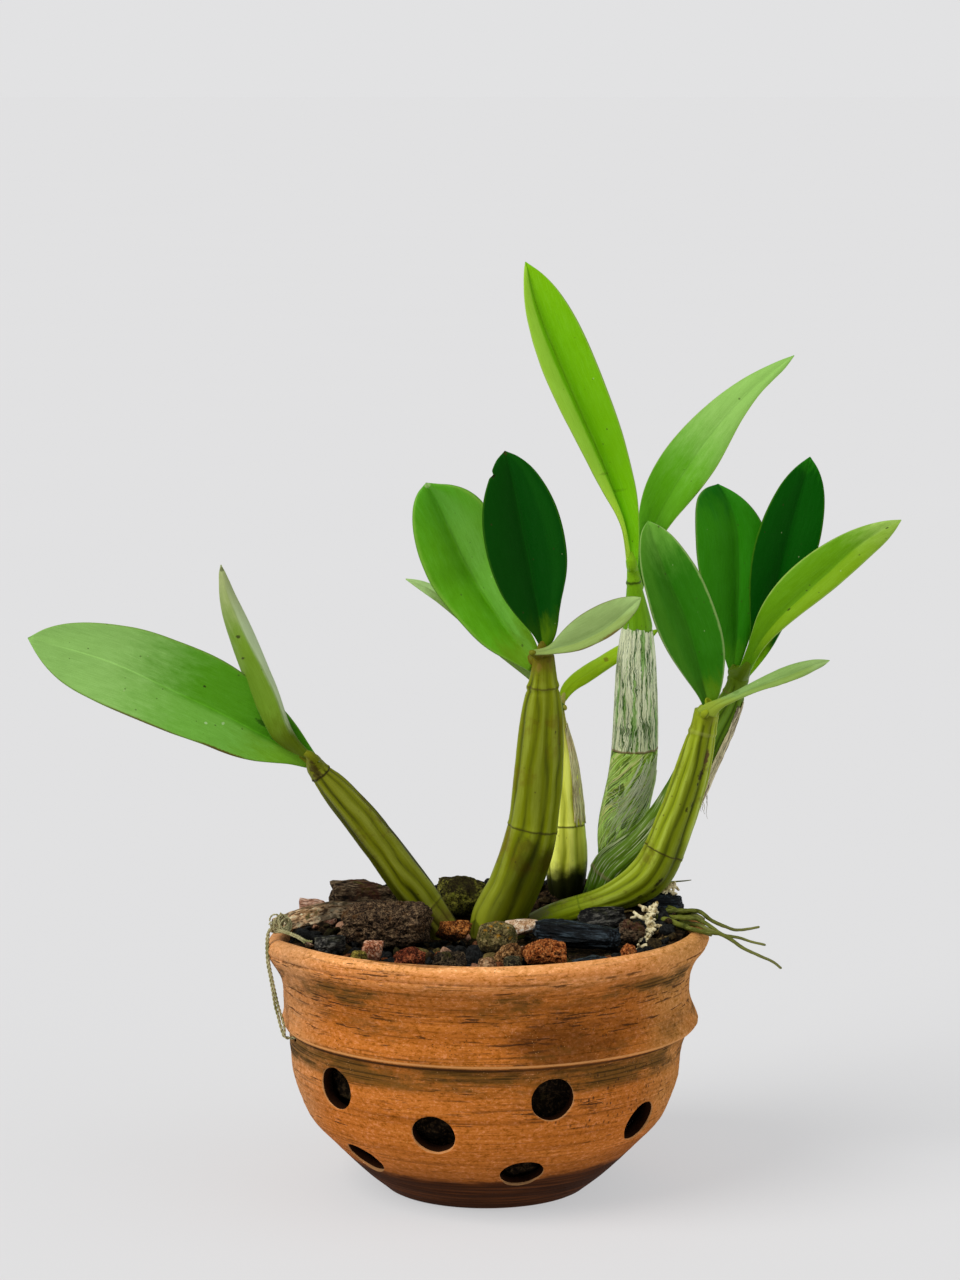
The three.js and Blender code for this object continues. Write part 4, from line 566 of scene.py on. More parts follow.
# Each pseudobulb: x, y, z and radius, base to top.
BULBS = {
    "pseudobulb_1_left": [[-18.3,17,112.7,6.9],[-21.1,16.3,117.6,6.9],[-24.4,15.7,122.1,7.4],[-27.6,15,126.6,8],[-30.8,14.3,131.2,8.5],[-34.2,13.7,135.6,8.6],[-37.4,13,140.1,8.6],[-40.6,12.3,144.7,8.5],[-43.8,11.7,149.3,8.4],[-46.9,11,153.8,8.2],[-50.3,10.1,158.2,8.1],[-53.4,9.2,162.8,8],[-56.7,8.3,167.2,7.8],[-60.2,7.4,171.6,7.5],[-63.7,6.6,175.8,7.2],[-67,5.7,180.2,6.8],[-70.5,4.8,184.5,6.2],[-74.2,3.9,188.5,4.8],[-77.4,3,193,4.2]],
    "pseudobulb_2_middle": [[5.7,19,110.8,12.5],[5.1,18.8,118.4,12.5],[8.4,18.6,125.2,12],[12,18.3,131.7,11.6],[14.8,18.1,138.7,11.8],[17.5,17.9,145.7,11.8],[19.6,17.7,152.9,11.8],[21.3,17.4,160.2,11.5],[22.4,17.2,167.7,11.2],[23.1,17,175.1,11.2],[23.6,16.3,182.7,11.2],[24.1,15.7,190.2,11],[24.6,15,197.7,10.7],[25,14.3,205.2,10.3],[25.4,13.7,212.7,9.8],[25.9,13,220.2,9],[26,12.3,227.7,7.1],[26.2,11.7,235.1,5.8],[26.4,11,242.6,4.5]],
    "pseudobulb_3_rear": [[37.8,62,115.8,4.7],[37.7,61.6,121.2,7.3],[37.8,61.1,126.6,8.9],[38.2,60.7,131.9,9.6],[38.2,60.2,137.3,9.8],[38.4,59.8,142.6,9.5],[38.5,59.3,147.9,9.1],[38.4,58.9,153.3,8.6],[38.3,58.4,158.6,8],[38.3,58,163.9,7.5],[38.1,57.2,169.3,7],[38,56.4,174.6,6.5],[37.8,55.7,180,5.8],[37.5,54.9,185.3,5.2],[37.1,54.1,190.7,4.5],[36.5,53.3,196,3.6],[36,52.6,201.3,2.5],[35.8,51.8,206.6,1.3],[35.6,51,211.9,0.7]],
    "pseudobulb_4_tall": [[59.5,53,114.9,4.2],[60.3,54.4,123.8,6],[61.3,55.8,132.7,7.9],[62.2,57,141.6,9.7],[62.9,58.3,150.5,11.1],[64.3,59.5,159.4,11.4],[66.4,59.7,168.3,11.4],[68.2,59.1,177.3,11.3],[69.3,58.6,186.5,11.1],[69.7,58,195.8,10.9],[69.9,56.9,205.1,10.6],[69.8,55.8,214.4,10.3],[69.8,54.7,223.6,10],[69.9,53.6,232.9,9.4],[70,52.4,242.1,8.5],[70.1,51.3,251.3,7],[69.5,50.2,260.4,5],[68.4,49.1,269.5,3.3],[67.6,48,278.6,2.5]],
    "pseudobulb_5_right_rear": [[50,44,117,8],[53.3,43.8,123.7,8],[56.9,43.6,130.3,10.2],[60.6,43.3,136.7,12.2],[66.5,43.1,141.2,11.4],[72.1,42.9,145.9,10.8],[77.3,42.7,151.2,10.3],[82,42.4,156.9,10],[86.3,42.2,162.9,9.7],[89.8,42,169.4,9.5],[93.4,41.6,175.9,9.1],[96.3,41.1,182.8,8.9],[99.2,40.7,189.6,8.7],[102.3,40.2,196.3,8.7],[105.6,39.8,202.9,8.2],[109.1,39.3,209.4,7.4],[112.6,38.9,215.9,6],[115.1,38.4,222.8,4.7],[116.8,38,230,4.7]],
    "pseudobulb_6_front": [[22.2,27,114.4,5.3],[29,26.4,118.3,5.3],[36.4,25.9,120.7,5.7],[43.8,25.3,123,5.7],[51.2,24.8,125.4,5.7],[58.4,24.2,128.1,6.7],[65.5,23.6,131.4,8.3],[72,22.9,135.6,9.5],[77.4,22.1,141.3,9.9],[81,21.4,148.3,9.5],[83.9,20.7,155.7,9.2],[86.4,20,163.2,8.9],[89.2,19.3,170.6,8.5],[91.4,18.6,178.2,8.2],[93.7,17.9,185.7,8.1],[95.7,17.1,193.3,7.6],[97.5,16.4,200.9,6.9],[99.3,15.7,208.5,5.7],[100.6,15,216.3,5.6]],
}

# ---------------------------------------------------------------------- stage
floor_m = Mat("floor_paper", 1.0, Specular_IOR_Level=0.0)
floor_m.b.inputs["Emission Color"].default_value = (0.470, 0.470, 0.477, 1)
floor_m.b.inputs["Emission Strength"].default_value = 1.0
P = floor_m.coord()
floor_m.end(
    floor_m.mix(floor_m.noise(P, 3, 2), (0.292, 0.290, 0.292), (0.298, 0.296, 0.298)),
    normal=floor_m.bump(floor_m.noise(P, 300, 2), 0.0001, 0.15),
)
floor = make(
    "floor",
    [[-60000, -60000, -0.15], [60000, -60000, -0.15], [60000, 60000, -0.15], [-60000, 60000, -0.15]],
    np.array([[0, 1, 2, 3]]),
    materials=[floor_m],
    smooth=False,
)

# ----------------------------------------------------------------------- pot
OUT_LOW = [
    (43.5, 0), (45.3, 0.35), (46.9, 1.4), (48.2, 2.6), (53.7, 7), (61.2, 14),
    (71, 24), (80.2, 34), (84.9, 44), (88.1, 54), (89.3, 64), (90.2, 70.5), (90.7, 73.6),
]
OUT_HIGH = [
    (94.3, 77.4), (94.8, 78.6), (94.5, 80.2), (93.9, 82.4), (93.3, 85), (92.8, 88.2),
    (92.5, 92.5), (92.7, 97), (93.4, 101.5), (95.1, 106.2), (97.3, 109.9), (99.1, 112.6),
    (99.7, 114.0),
]
LIP = [
    (100.1, 114.9), (100.7, 116.4), (100.6, 118.1), (99.9, 119.8), (98.5, 121.2),
    (96.7, 122), (95, 122.2), (93.5, 121.7), (92.5, 120.6), (92, 119),
    (90.2, 112), (86.6, 103), (85, 92), (84.2, 70), (82, 52), (75, 36),
    (62, 21), (51, 10.5), (45, 7),
]
HOLES = [
    (-138.8, 58.6, 8), (-70.8, 60.2, 8), (-4.5, 63.5, 8), (75, 60, 8), (147, 59, 8),
    (-105.8, 43.7, 24), (-35.5, 41.5, 24), (37, 43, 24), (110, 43, 24),
    (181, 43, 24), (-139.8, 23.6, 45), (-76.8, 22.6, 45), (-9, 24, 45),
    (63, 23, 45), (136, 23, 45),
]


def settle(p):
    """The bowl dried a little out of true: its rim falls away to the back
    and dips at the left."""
    p = np.array(p, float)
    x, y, z = p[..., 0], p[..., 1], p[..., 2]
    r = np.maximum(np.hypot(x, y), 1e-6)
    w = smoothstep(84, 112, z)
    back = w + (1 - w) * smoothstep(-40, 40, x)
    right = w + (1 - w) * smoothstep(0, 60, x)
    off = np.arccos(np.clip(-x / r, -1, 1))
    dip = 0.032 * w * np.exp(-((off / 0.314) ** 2)) * smoothstep(40, 85, r)
    p[..., 2] = z * (1 - 2.85e-4 * (y + 91) * back + 1.3e-4 * np.maximum(x, 0) * right - dip)
    return p


def flat_spline(points, n):
    p = np.array([(r, 0, z) for r, z in points], float)
    return spline(p, n)[:, [0, 2]]


def wall_radius(z):
    p = np.array(OUT_LOW + [(91, 75.2), (94.4, 76.8)] + OUT_HIGH + LIP[:2])
    return np.interp(z, p[:, 1], p[:, 0])


def build_pot():
    seg = 300
    low = flat_spline(OUT_LOW, 64)
    groove = np.array([(90.95, 74.7), (91.05, 75.2), (91.9, 75.6), (93.4, 76.1), (94.0, 76.8)])
    high = flat_spline(OUT_HIGH, 40)
    # a cut line under the lip
    cut = np.array([(99.45, 114.45), (99.6, 114.75)])
    lip = flat_spline(LIP, 70)
    prof = np.concatenate([low, groove, high, cut, lip])
    n = len(prof)
    th = np.linspace(0, TAU, seg, endpoint=False)
    R = np.repeat(prof[:, :1], seg, 1)
    Z = np.repeat(prof[:, 1:], seg, 1)
    TH = np.repeat(th[None], n, 0)
    P = np.stack([np.cos(TH), np.sin(TH)], -1)
    ring = np.concatenate([P * 3.0, Z[..., None] * 0.02], -1).reshape(-1, 3)
    wob = fbm(ring, 0.5, 2, 0.5, 1).reshape(n, seg)
    fine = np.concatenate([P * 6.0, Z[..., None] * 0.9], -1).reshape(-1, 3)
    turn = fbm(fine, 1.0, 3, 0.6, 4).reshape(n, seg)
    outside = smoothstep(0.5, 4, Z) * (np.arange(n)[:, None] < n - 45)
    body = smoothstep(6, 20, Z)
    R = R + outside * (0.35 * wob + 0.2 * turn * body)
    # the ridge and the lip are not quite centred on the bowl
    R = R + outside * np.cos(TH) * (1.9 * np.exp(-(((Z - 79.5) / 7.5) ** 2)) + 0.8 * smoothstep(108, 116, Z))
    chip = np.concatenate([P * 30.0, Z[..., None] * 0.5], -1).reshape(-1, 3)
    R = R + outside * 0.1 * fbm(chip, 0.4, 3, 0.65, 14).reshape(n, seg)
    # shallow turning grooves
    for zc, w, d in (
        (19.5, 0.5, 0.25), (33, 0.6, 0.16), (48.5, 0.5, 0.2), (69.5, 0.5, 0.28), (66.5, 0.35, 0.22),
        (88, 0.45, 0.2), (96.3, 0.4, 0.22), (101.5, 0.4, 0.2), (107, 0.35, 0.25), (71.8, 0.3, 0.2),
    ):
        gate = smoothstep(-0.25, 0.45, noise(np.stack([np.cos(th) * 1.6, np.sin(th) * 1.6, np.full(seg, zc)], 1), 1.0, 7))
        R = R - outside * d * np.exp(-(((Z - zc - 0.5 * wob) / w) ** 2)) * gate[None]
    foot = 1 - smoothstep(4, 16, Z)
    R = R + outside * foot * 0.25 * fbm(fine, 0.5, 3, 0.6, 9).reshape(n, seg)
    Z2 = Z + 0.25 * wob * smoothstep(60, 122, Z) * (np.arange(n)[:, None] < n - 45)
    verts = np.stack([R * np.cos(TH), R * np.sin(TH), Z2], -1).reshape(-1, 3)
    quads = grid(n, seg, wrap_v=True)
    verts = np.concatenate([verts, [[0, 0, 0.0]], [[0, 0, 7.0]]])
    tris = np.concatenate([fan(np.arange(seg), n * seg, flip=True), fan(np.arange(seg) + (n - 1) * seg, n * seg + 1)])
    index = np.r_[np.zeros(len(quads)), np.zeros(len(tris))]
    pot = make("pot_body", verts, [quads, tris], None, POT_MATERIALS, index)
    # cutters, with a worn chamfer at each mouth
    parts = []
    for k, (deg, z, slope) in enumerate(HOLES):
        a, s = math.radians(deg), math.radians(slope)
        axis = np.array([math.cos(a) * math.cos(s), math.sin(a) * math.cos(s), -math.sin(s)])
        c = np.array([wall_radius(z) * math.cos(a), wall_radius(z) * math.sin(a), z])
        side = np.cross(axis, [0, 0, 1.0])
        side /= np.linalg.norm(side)
        up = np.cross(side, axis)
        m = 56
        t = np.linspace(0, TAU, m, endpoint=False)
        circ = np.stack([np.cos(t) * 1.1, np.sin(t) * 1.1, np.full(m, k * 3.1)], 1)
        rough = 0.28 * noise(circ, 1.0, 2) + 0.16 * noise(circ, 3.2, 5)
        nick = 0.5 * np.clip(noise(circ, 2.3, 12) - 0.35, 0, 1)
        base = 9.75 + rough
        rings, kinds = [], []
        for d, extra in ((-14, 0.6), (-7, 0.1), (-1.1, 0), (-0.15, 0.28), (0.5, 0.95), (9, 9.0)):
            r = base + extra * (1 + 0.5 * noise(circ, 2.0, 8)) + (nick if d > -0.2 else 0)
            rings.append(c + axis * d + np.cos(t)[:, None] * r[:, None] * side + np.sin(t)[:, None] * r[:, None] * up)
            kinds.append(d)
        v = np.concatenate(rings + [[c - axis * 14]] + [[c + axis * 9]])
        nr = len(rings)
        q = grid(nr, m, wrap_v=True)
        kind = np.repeat([2, 2, 1, 1, 1], m)
        tr = np.concatenate([fan(np.arange(m), nr * m, flip=True), fan(np.arange(m) + (nr - 1) * m, nr * m + 1)])
        parts.append((v, q, None, {}, 1))
        parts[-1] = (v, q[kind == 2], tr, {}, 2)
        parts.append((v, q[kind == 1], None, {}, 1))
    cutters = []
    for k in range(len(HOLES)):
        v, q2, tr, _, _ = parts[2 * k]
        q1 = parts[2 * k + 1][1]
        idx = np.r_[np.full(len(q2), 2), np.full(len(q1), 1), np.full(len(tr), 2)]
        cutters.append(make(f"cut_{k}", v, [np.concatenate([q2, q1]), tr], None, POT_MATERIALS, idx))
    for deg in (30, 150, 270):
        a = math.radians(deg)
        line = np.array([[24 * math.cos(a), 24 * math.sin(a), z] for z in (-4.0, 0.0, 0.6, 6.4, 7.4, 12)])
        v, q, tr, _, _ = tube(line, np.array([5.6, 5.4, 5.0, 5.0, 5.6, 8.0]), 40)
        cutters.append(make("cut_d", v, [q, tr], None, POT_MATERIALS, np.full(len(q) + len(tr), 2)))
    a = math.radians(-163)
    line = np.array([[r * math.cos(a), r * math.sin(a), 74 + 0.2 * (r - 90)] for r in (78.0, 84, 90, 92, 99)])
    v, q, tr, _, _ = tube(line, np.array([1.7, 1.7, 1.8, 2.3, 3.0]), 20)
    cutters.append(make("cut_t", v, [q, tr], None, POT_MATERIALS, np.full(len(q) + len(tr), 2)))
    for o in cutters:
        bm = bmesh.new()
        bm.from_mesh(o.data)
        bmesh.ops.recalc_face_normals(bm, faces=bm.faces)
        bm.to_mesh(o.data)
        bm.free()
    bm = bmesh.new()
    bm.from_mesh(pot.data)
    bmesh.ops.recalc_face_normals(bm, faces=bm.faces)
    bm.to_mesh(pot.data)
    bm.free()
    group = bpy.data.collections.new("cutters")
    bpy.context.scene.collection.children.link(group)
    for o in cutters:
        group.objects.link(o)
    mod = pot.modifiers.new("holes", "BOOLEAN")
    mod.operation = "DIFFERENCE"
    mod.operand_type = "COLLECTION"
    mod.collection = group
    mod.solver = "EXACT"
    apply(pot)
    for o in cutters:
        bpy.data.objects.remove(o)
    bpy.data.collections.remove(group)
    co = np.empty(len(pot.data.vertices) * 3)
    pot.data.vertices.foreach_get("co", co)
    # the height before it settled, which the wheel marks follow
    pot.data.attributes.new("pz", "FLOAT", "POINT").data.foreach_set("value", co[2::3].astype(np.float32))
    pot.data.vertices.foreach_set("co", (settle(co.reshape(-1, 3) / MM) * MM).ravel())
    pot.data.update()
    return pot


def apply(o):
    """Replaces the object's mesh with the one its modifiers make."""
    dg = bpy.context.evaluated_depsgraph_get()
    dg.update()
    me = bpy.data.meshes.new_from_object(o.evaluated_get(dg))
    o.modifiers.clear()
    o.data = me


def clay(name, hue=None):
    """Fired terracotta, thrown on a wheel, with stains and salts."""
    m = Mat(name, 0.85, Specular_IOR_Level=0.06)
    p = m.coord()
    x, y, z = m.xyz(p)
    z = m.attr("pz")
    p = m.comb(x, y, z)
    zz = m.math("MULTIPLY", z, 1000.0)
    band = m.comb(m.math("MULTIPLY", x, 7.0), m.math("MULTIPLY", y, 7.0), m.math("MULTIPLY", z, 260.0))
    thin = m.comb(m.math("MULTIPLY", x, 16.0), m.math("MULTIPLY", y, 16.0), m.math("MULTIPLY", z, 900.0))
    wide = m.noise(p, 14, 4, 0.6)
    streak = m.noise(band, 1.0, 6, 0.65)
    hair = m.noise(thin, 1.0, 4, 0.7)
    warp = m.math("ADD", zz, m.math("MULTIPLY", m.math("SUBTRACT", wide, 0.5), 9.0))
    col = m.ramp(
        m.math("DIVIDE", warp, 125.0, clamp=True),
        [
            (0.0, lin(56, 26, 8)), (0.07, lin(66, 30, 8)), (0.105, lin(82, 40, 12)),
            (0.14, lin(146, 80, 24)), (0.2, lin(176, 100, 34)), (0.35, lin(182, 102, 34)), (0.5, lin(176, 100, 36)),
            (0.6, lin(156, 94, 38)), (0.65, lin(184, 106, 38)), (0.72, lin(158, 88, 26)), (0.82, lin(154, 88, 30)),
            (0.905, lin(188, 114, 52)), (0.94, lin(214, 136, 72)), (0.97, lin(238, 164, 98)), (1.0, lin(232, 158, 92)),
        ],
    )
    col = m.mix(m.step(streak, 0.35, 0.68, 0.0, 0.5), col, m.mix(m.step(zz, 108, 116), lin(206, 122, 50), lin(240, 172, 108)))
    col = m.mix(m.step(streak, 0.5, 0.26, 0.0, 0.55), col, m.mix(m.step(zz, 110, 118), lin(120, 66, 22), lin(196, 124, 64)))
    tone = m.noise(p, 32, 5, 0.7)
    col = m.mix(m.step(tone, 0.5, 0.72, 0.0, 0.45), col, lin(204, 118, 50))
    col = m.mix(m.step(m.noise(m.scale(p, (1, 1, 2.4)), 11, 4, 0.6), 0.5, 0.68, 0.0, 0.5), col, m.mix(m.step(zz, 108, 114), lin(132, 74, 22), lin(220, 146, 82)))
    col = m.mix(m.step(hair, 0.54, 0.7, 0.0, 0.42), col, lin(222, 140, 66))
    col = m.mix(m.step(hair, 0.46, 0.34, 0.0, 0.7), col, lin(92, 52, 16))
    # the left flank is paler and pinker
    flank = m.math("MULTIPLY", m.step(x, -0.066, -0.088), m.step(zz, 20, 40))
    col = m.mix(m.math("MULTIPLY", flank, m.step(tone, 0.3, 0.6, 0.4, 0.85)), col, lin(198, 142, 92))
    flank = m.math("MULTIPLY", m.step(x, 0.062, 0.086), m.step(zz, 24, 46))
    col = m.mix(m.math("MULTIPLY", flank, m.step(tone, 0.3, 0.6, 0.35, 0.8)), col, lin(196, 138, 74))
    # the waist carries a brown bruise right of the middle
    bx = m.math("DIVIDE", m.math("SUBTRACT", x, 0.034), 0.034)
    bz = m.math("DIVIDE", m.math("SUBTRACT", zz, 86.0), 15.0)
    bru = m.math("SQRT", m.math("ADD", m.math("MULTIPLY", bx, bx), m.math("MULTIPLY", bz, bz)))
    bru = m.math("ADD", bru, m.math("MULTIPLY", m.math("SUBTRACT", m.noise(m.scale(p, (1, 1, 2.6)), 40, 5, 0.7), 0.5), 1.6))
    bru = m.math("MULTIPLY", m.step(bru, 1.1, 0.3), m.step(y, 0.0, -0.03))
    col = m.mix(m.math("MULTIPLY", bru, 0.72), col, lin(86, 45, 11))
    grit = m.noise(m.scale(p, (1, 1, 1.7)), 430, 4, 0.75)
    col = m.mix(m.step(grit, 0.53, 0.64, 0.0, 0.6), col, m.value(col, 1.5, 0.9))
    col = m.mix(m.step(grit, 0.47, 0.36, 0.0, 0.75), col, m.value(col, 0.5, 1.1))
    clot = m.noise(m.scale(p, (1, 1, 2.2)), 120, 5, 0.72)
    col = m.mix(m.step(clot, 0.54, 0.68, 0.0, 0.5), col, m.value(col, 0.66, 1.1))
    col = m.mix(m.step(clot, 0.44, 0.3, 0.0, 0.35), col, m.value(col, 1.3, 0.95))
    # olive stains: under the lip, in the waist and below the groove
    def near(c, w):
        return m.step(m.math("ABSOLUTE", m.math("SUBTRACT", warp, c)), w, w * 0.35)
    blot = m.noise(m.scale(p, (1, 1, 3.0)), 26, 6, 0.68)
    stain = m.math("MULTIPLY", near(69.5, 8.5), m.step(blot, 0.34, 0.56))
    stain = m.math("MAXIMUM", stain, m.math("MULTIPLY", near(105, 8), m.step(blot, 0.44, 0.62)))
    stain = m.math("MAXIMUM", stain, m.math("MULTIPLY", near(88, 13), m.step(blot, 0.5, 0.72, 0, 0.75)))
    stain = m.math("MAXIMUM", stain, m.math("MULTIPLY", near(44, 20), m.step(blot, 0.6, 0.78, 0, 0.5)))
    col = m.mix(m.math("MULTIPLY", stain, 0.78), col, lin(94, 68, 24))
    col = m.mix(m.math("MULTIPLY", stain, m.step(hair, 0.46, 0.6, 0, 0.85)), col, lin(50, 36, 12))
    # dark dashes and pits
    dash_v = m.comb(m.math("MULTIPLY", x, 60.0), m.math("MULTIPLY", y, 60.0), m.math("MULTIPLY", z, 800.0))
    dash = m.step(m.noise(dash_v, 1.0, 3, 0.55), 0.62, 0.67)
    dash = m.math("MULTIPLY", dash, m.step(m.noise(m.scale(p, (1, 1, 4)), 22, 3), 0.45, 0.6))
    rows = m.math("MAXIMUM", near(98, 5), m.math("MULTIPLY", near(112.5, 2.2), m.step(x, -0.01, -0.04)))
    rows = m.math("MAXIMUM", rows, near(89, 2.0))
    rows = m.math("MAXIMUM", rows, m.math("MULTIPLY", near(56, 5), m.step(m.noise(p, 18, 2), 0.5, 0.6)))
    dash = m.math("MAXIMUM", dash, m.math("MULTIPLY", rows, m.step(m.noise(dash_v, 1.3, 3, 0.6), 0.56, 0.62)))
    col = m.mix(m.math("MULTIPLY", dash, 0.85), col, lin(58, 34, 18))
    pits_and_shade = m.cells(m.scale(p, (1, 1, 1.5)), 520.0)
    gate = m.step(m.noise(p, 42, 3, 0.6), 0.5, 0.66)
    # rows of chatter marks towards the right of the front
    side = m.math("MULTIPLY", m.step(x, 0.012, 0.035), m.step(y, 0.01, -0.02))
    zone = m.math("MULTIPLY", side, m.math("MULTIPLY", m.step(warp, 40, 50), m.step(warp, 76, 70)))
    row_v = m.comb(m.math("MULTIPLY", m.math("ARCTAN2", y, x), 46.0), m.math("MULTIPLY", z, 310.0), 0.0)
    rowp = m.cells(row_v, 1.0, rand=0.55)
    chatter = m.math("MULTIPLY", m.step(rowp, 0.3, 0.16), m.math("MULTIPLY", zone, m.step(m.noise(p, 90, 3), 0.36, 0.56)))
    zone2 = m.math("MULTIPLY", side, m.math("MULTIPLY", m.step(warp, 82, 88), m.step(warp, 108, 98)))
    chatter = m.math("MAXIMUM", chatter, m.math("MULTIPLY", m.step(rowp, 0.24, 0.13), m.math("MULTIPLY", zone2, m.step(m.noise(p, 70, 3), 0.5, 0.62))))
    pits = m.math("MAXIMUM", m.math("MULTIPLY", m.step(pits_and_shade, 0.2, 0.1), gate), chatter)
    col = m.mix(m.math("MULTIPLY", pits, 0.8), col, lin(66, 40, 22))
    specks = m.math("MULTIPLY", m.step(m.cells(p, 900.0), 0.2, 0.1), m.step(m.noise(p, 160, 2), 0.55, 0.62))
    col = m.mix(m.math("MULTIPLY", specks, 0.5), col, lin(236, 180, 118))
    # ragged dark line round the foot; painted shade in the groove under the ridge and a painted highlight on the
    # ridge's lower edge; line under the lip
    rag = m.math("ADD", zz, m.math("MULTIPLY", m.math("SUBTRACT", m.noise(p, 60, 4, 0.7), 0.5), 4.0))
    line = m.step(m.math("ABSOLUTE", m.math("SUBTRACT", rag, 17.0)), 1.9, 0.7)
    col = m.mix(m.math("MULTIPLY", line, m.step(m.noise(p, 26, 3), 0.36, 0.56, 0.35, 0.95)), col, lin(34, 16, 8))
    # painted shade: dark line in the groove under the ridge
    line = m.step(m.math("ABSOLUTE", m.math("SUBTRACT", zz, 75.0)), 0.9, 0.35)
    col = m.mix(m.math("MULTIPLY", line, m.step(streak, 0.2, 0.6, 0.5, 0.95)), col, lin(62, 36, 18))
    # painted highlight: pale line along the ridge's lower edge
    line = m.step(m.math("ABSOLUTE", m.math("SUBTRACT", zz, 77.1)), 0.75, 0.3)
    col = m.mix(m.math("MULTIPLY", line, 0.75), col, lin(224, 158, 94))
    line = m.step(m.math("ABSOLUTE", m.math("SUBTRACT", rag, 114.4)), 0.8, 0.25)
    col = m.mix(m.math("MULTIPLY", line, m.step(m.noise(p, 34, 4, 0.7), 0.5, 0.62, 0.0, 0.75)), col, lin(90, 54, 24))
    rad = m.math("SQRT", m.math("ADD", m.math("MULTIPLY", x, x), m.math("MULTIPLY", y, y)))
    inner = m.math("MULTIPLY", m.step(rad, 0.0945, 0.092), m.step(zz, 100, 112))
    col = m.mix(m.math("MULTIPLY", inner, m.step(m.noise(p, 120, 4, 0.7), 0.35, 0.6, 0.15, 0.8)), col, lin(92, 56, 34))
    # painted shade: the lower belly darkens towards the dark brown foot, reaching higher on the right, away from the
    # key light
    foot = m.math("ADD", zz, m.math("MULTIPLY", m.math("SUBTRACT", m.noise(m.scale(p, (1, 1, 3)), 30, 5, 0.7), 0.5), 9.0))
    foot = m.math("ADD", foot, m.math("MULTIPLY", m.math("MAXIMUM", x, 0.0), -60.0))
    col = m.mix(m.step(foot, 30, 15, 0.0, 0.5), col, lin(96, 48, 12))
    col = m.mix(m.step(foot, 18.5, 15.5, 0.0, 0.93), col, m.mix(m.step(hair, 0.42, 0.66), lin(40, 17, 4), lin(84, 44, 18)))
    if hue is not None:
        col = m.mix(hue[0], col, hue[1])
    h = m.math("ADD", m.math("MULTIPLY", streak, 0.5), m.math("MULTIPLY", hair, 0.35))
    h = m.math("ADD", h, m.math("MULTIPLY", m.noise(p, 700, 3, 0.6), 0.25))
    h = m.math("SUBTRACT", h, m.math("MULTIPLY", m.math("ADD", pits, dash), 0.5))
    return m.end(col, m.step(streak, 0.2, 0.8, 0.95, 0.74), m.bump(h, 0.0005, 0.8))


pot_clay = clay("terracotta")
pot_burr = clay("terracotta_burr", (0.45, lin(214, 164, 112)))
# painted shade: the walls deep in the holes are near-black
pot_bore_shade = Mat("terracotta_bore_shade", 0.95, Specular_IOR_Level=0.05)
hp = pot_bore_shade.coord()
bore_shade_colour = pot_bore_shade.mix(pot_bore_shade.noise(hp, 180, 4, 0.6), lin(18, 8, 4), lin(58, 30, 12))
pot_bore_shade.end(bore_shade_colour, normal=pot_bore_shade.bump(pot_bore_shade.noise(hp, 500, 3), 0.0006, 0.7))
POT_MATERIALS = [pot_clay, pot_burr, pot_bore_shade]
pot = build_pot()
piece(pot, "terracotta", "clay_pot")


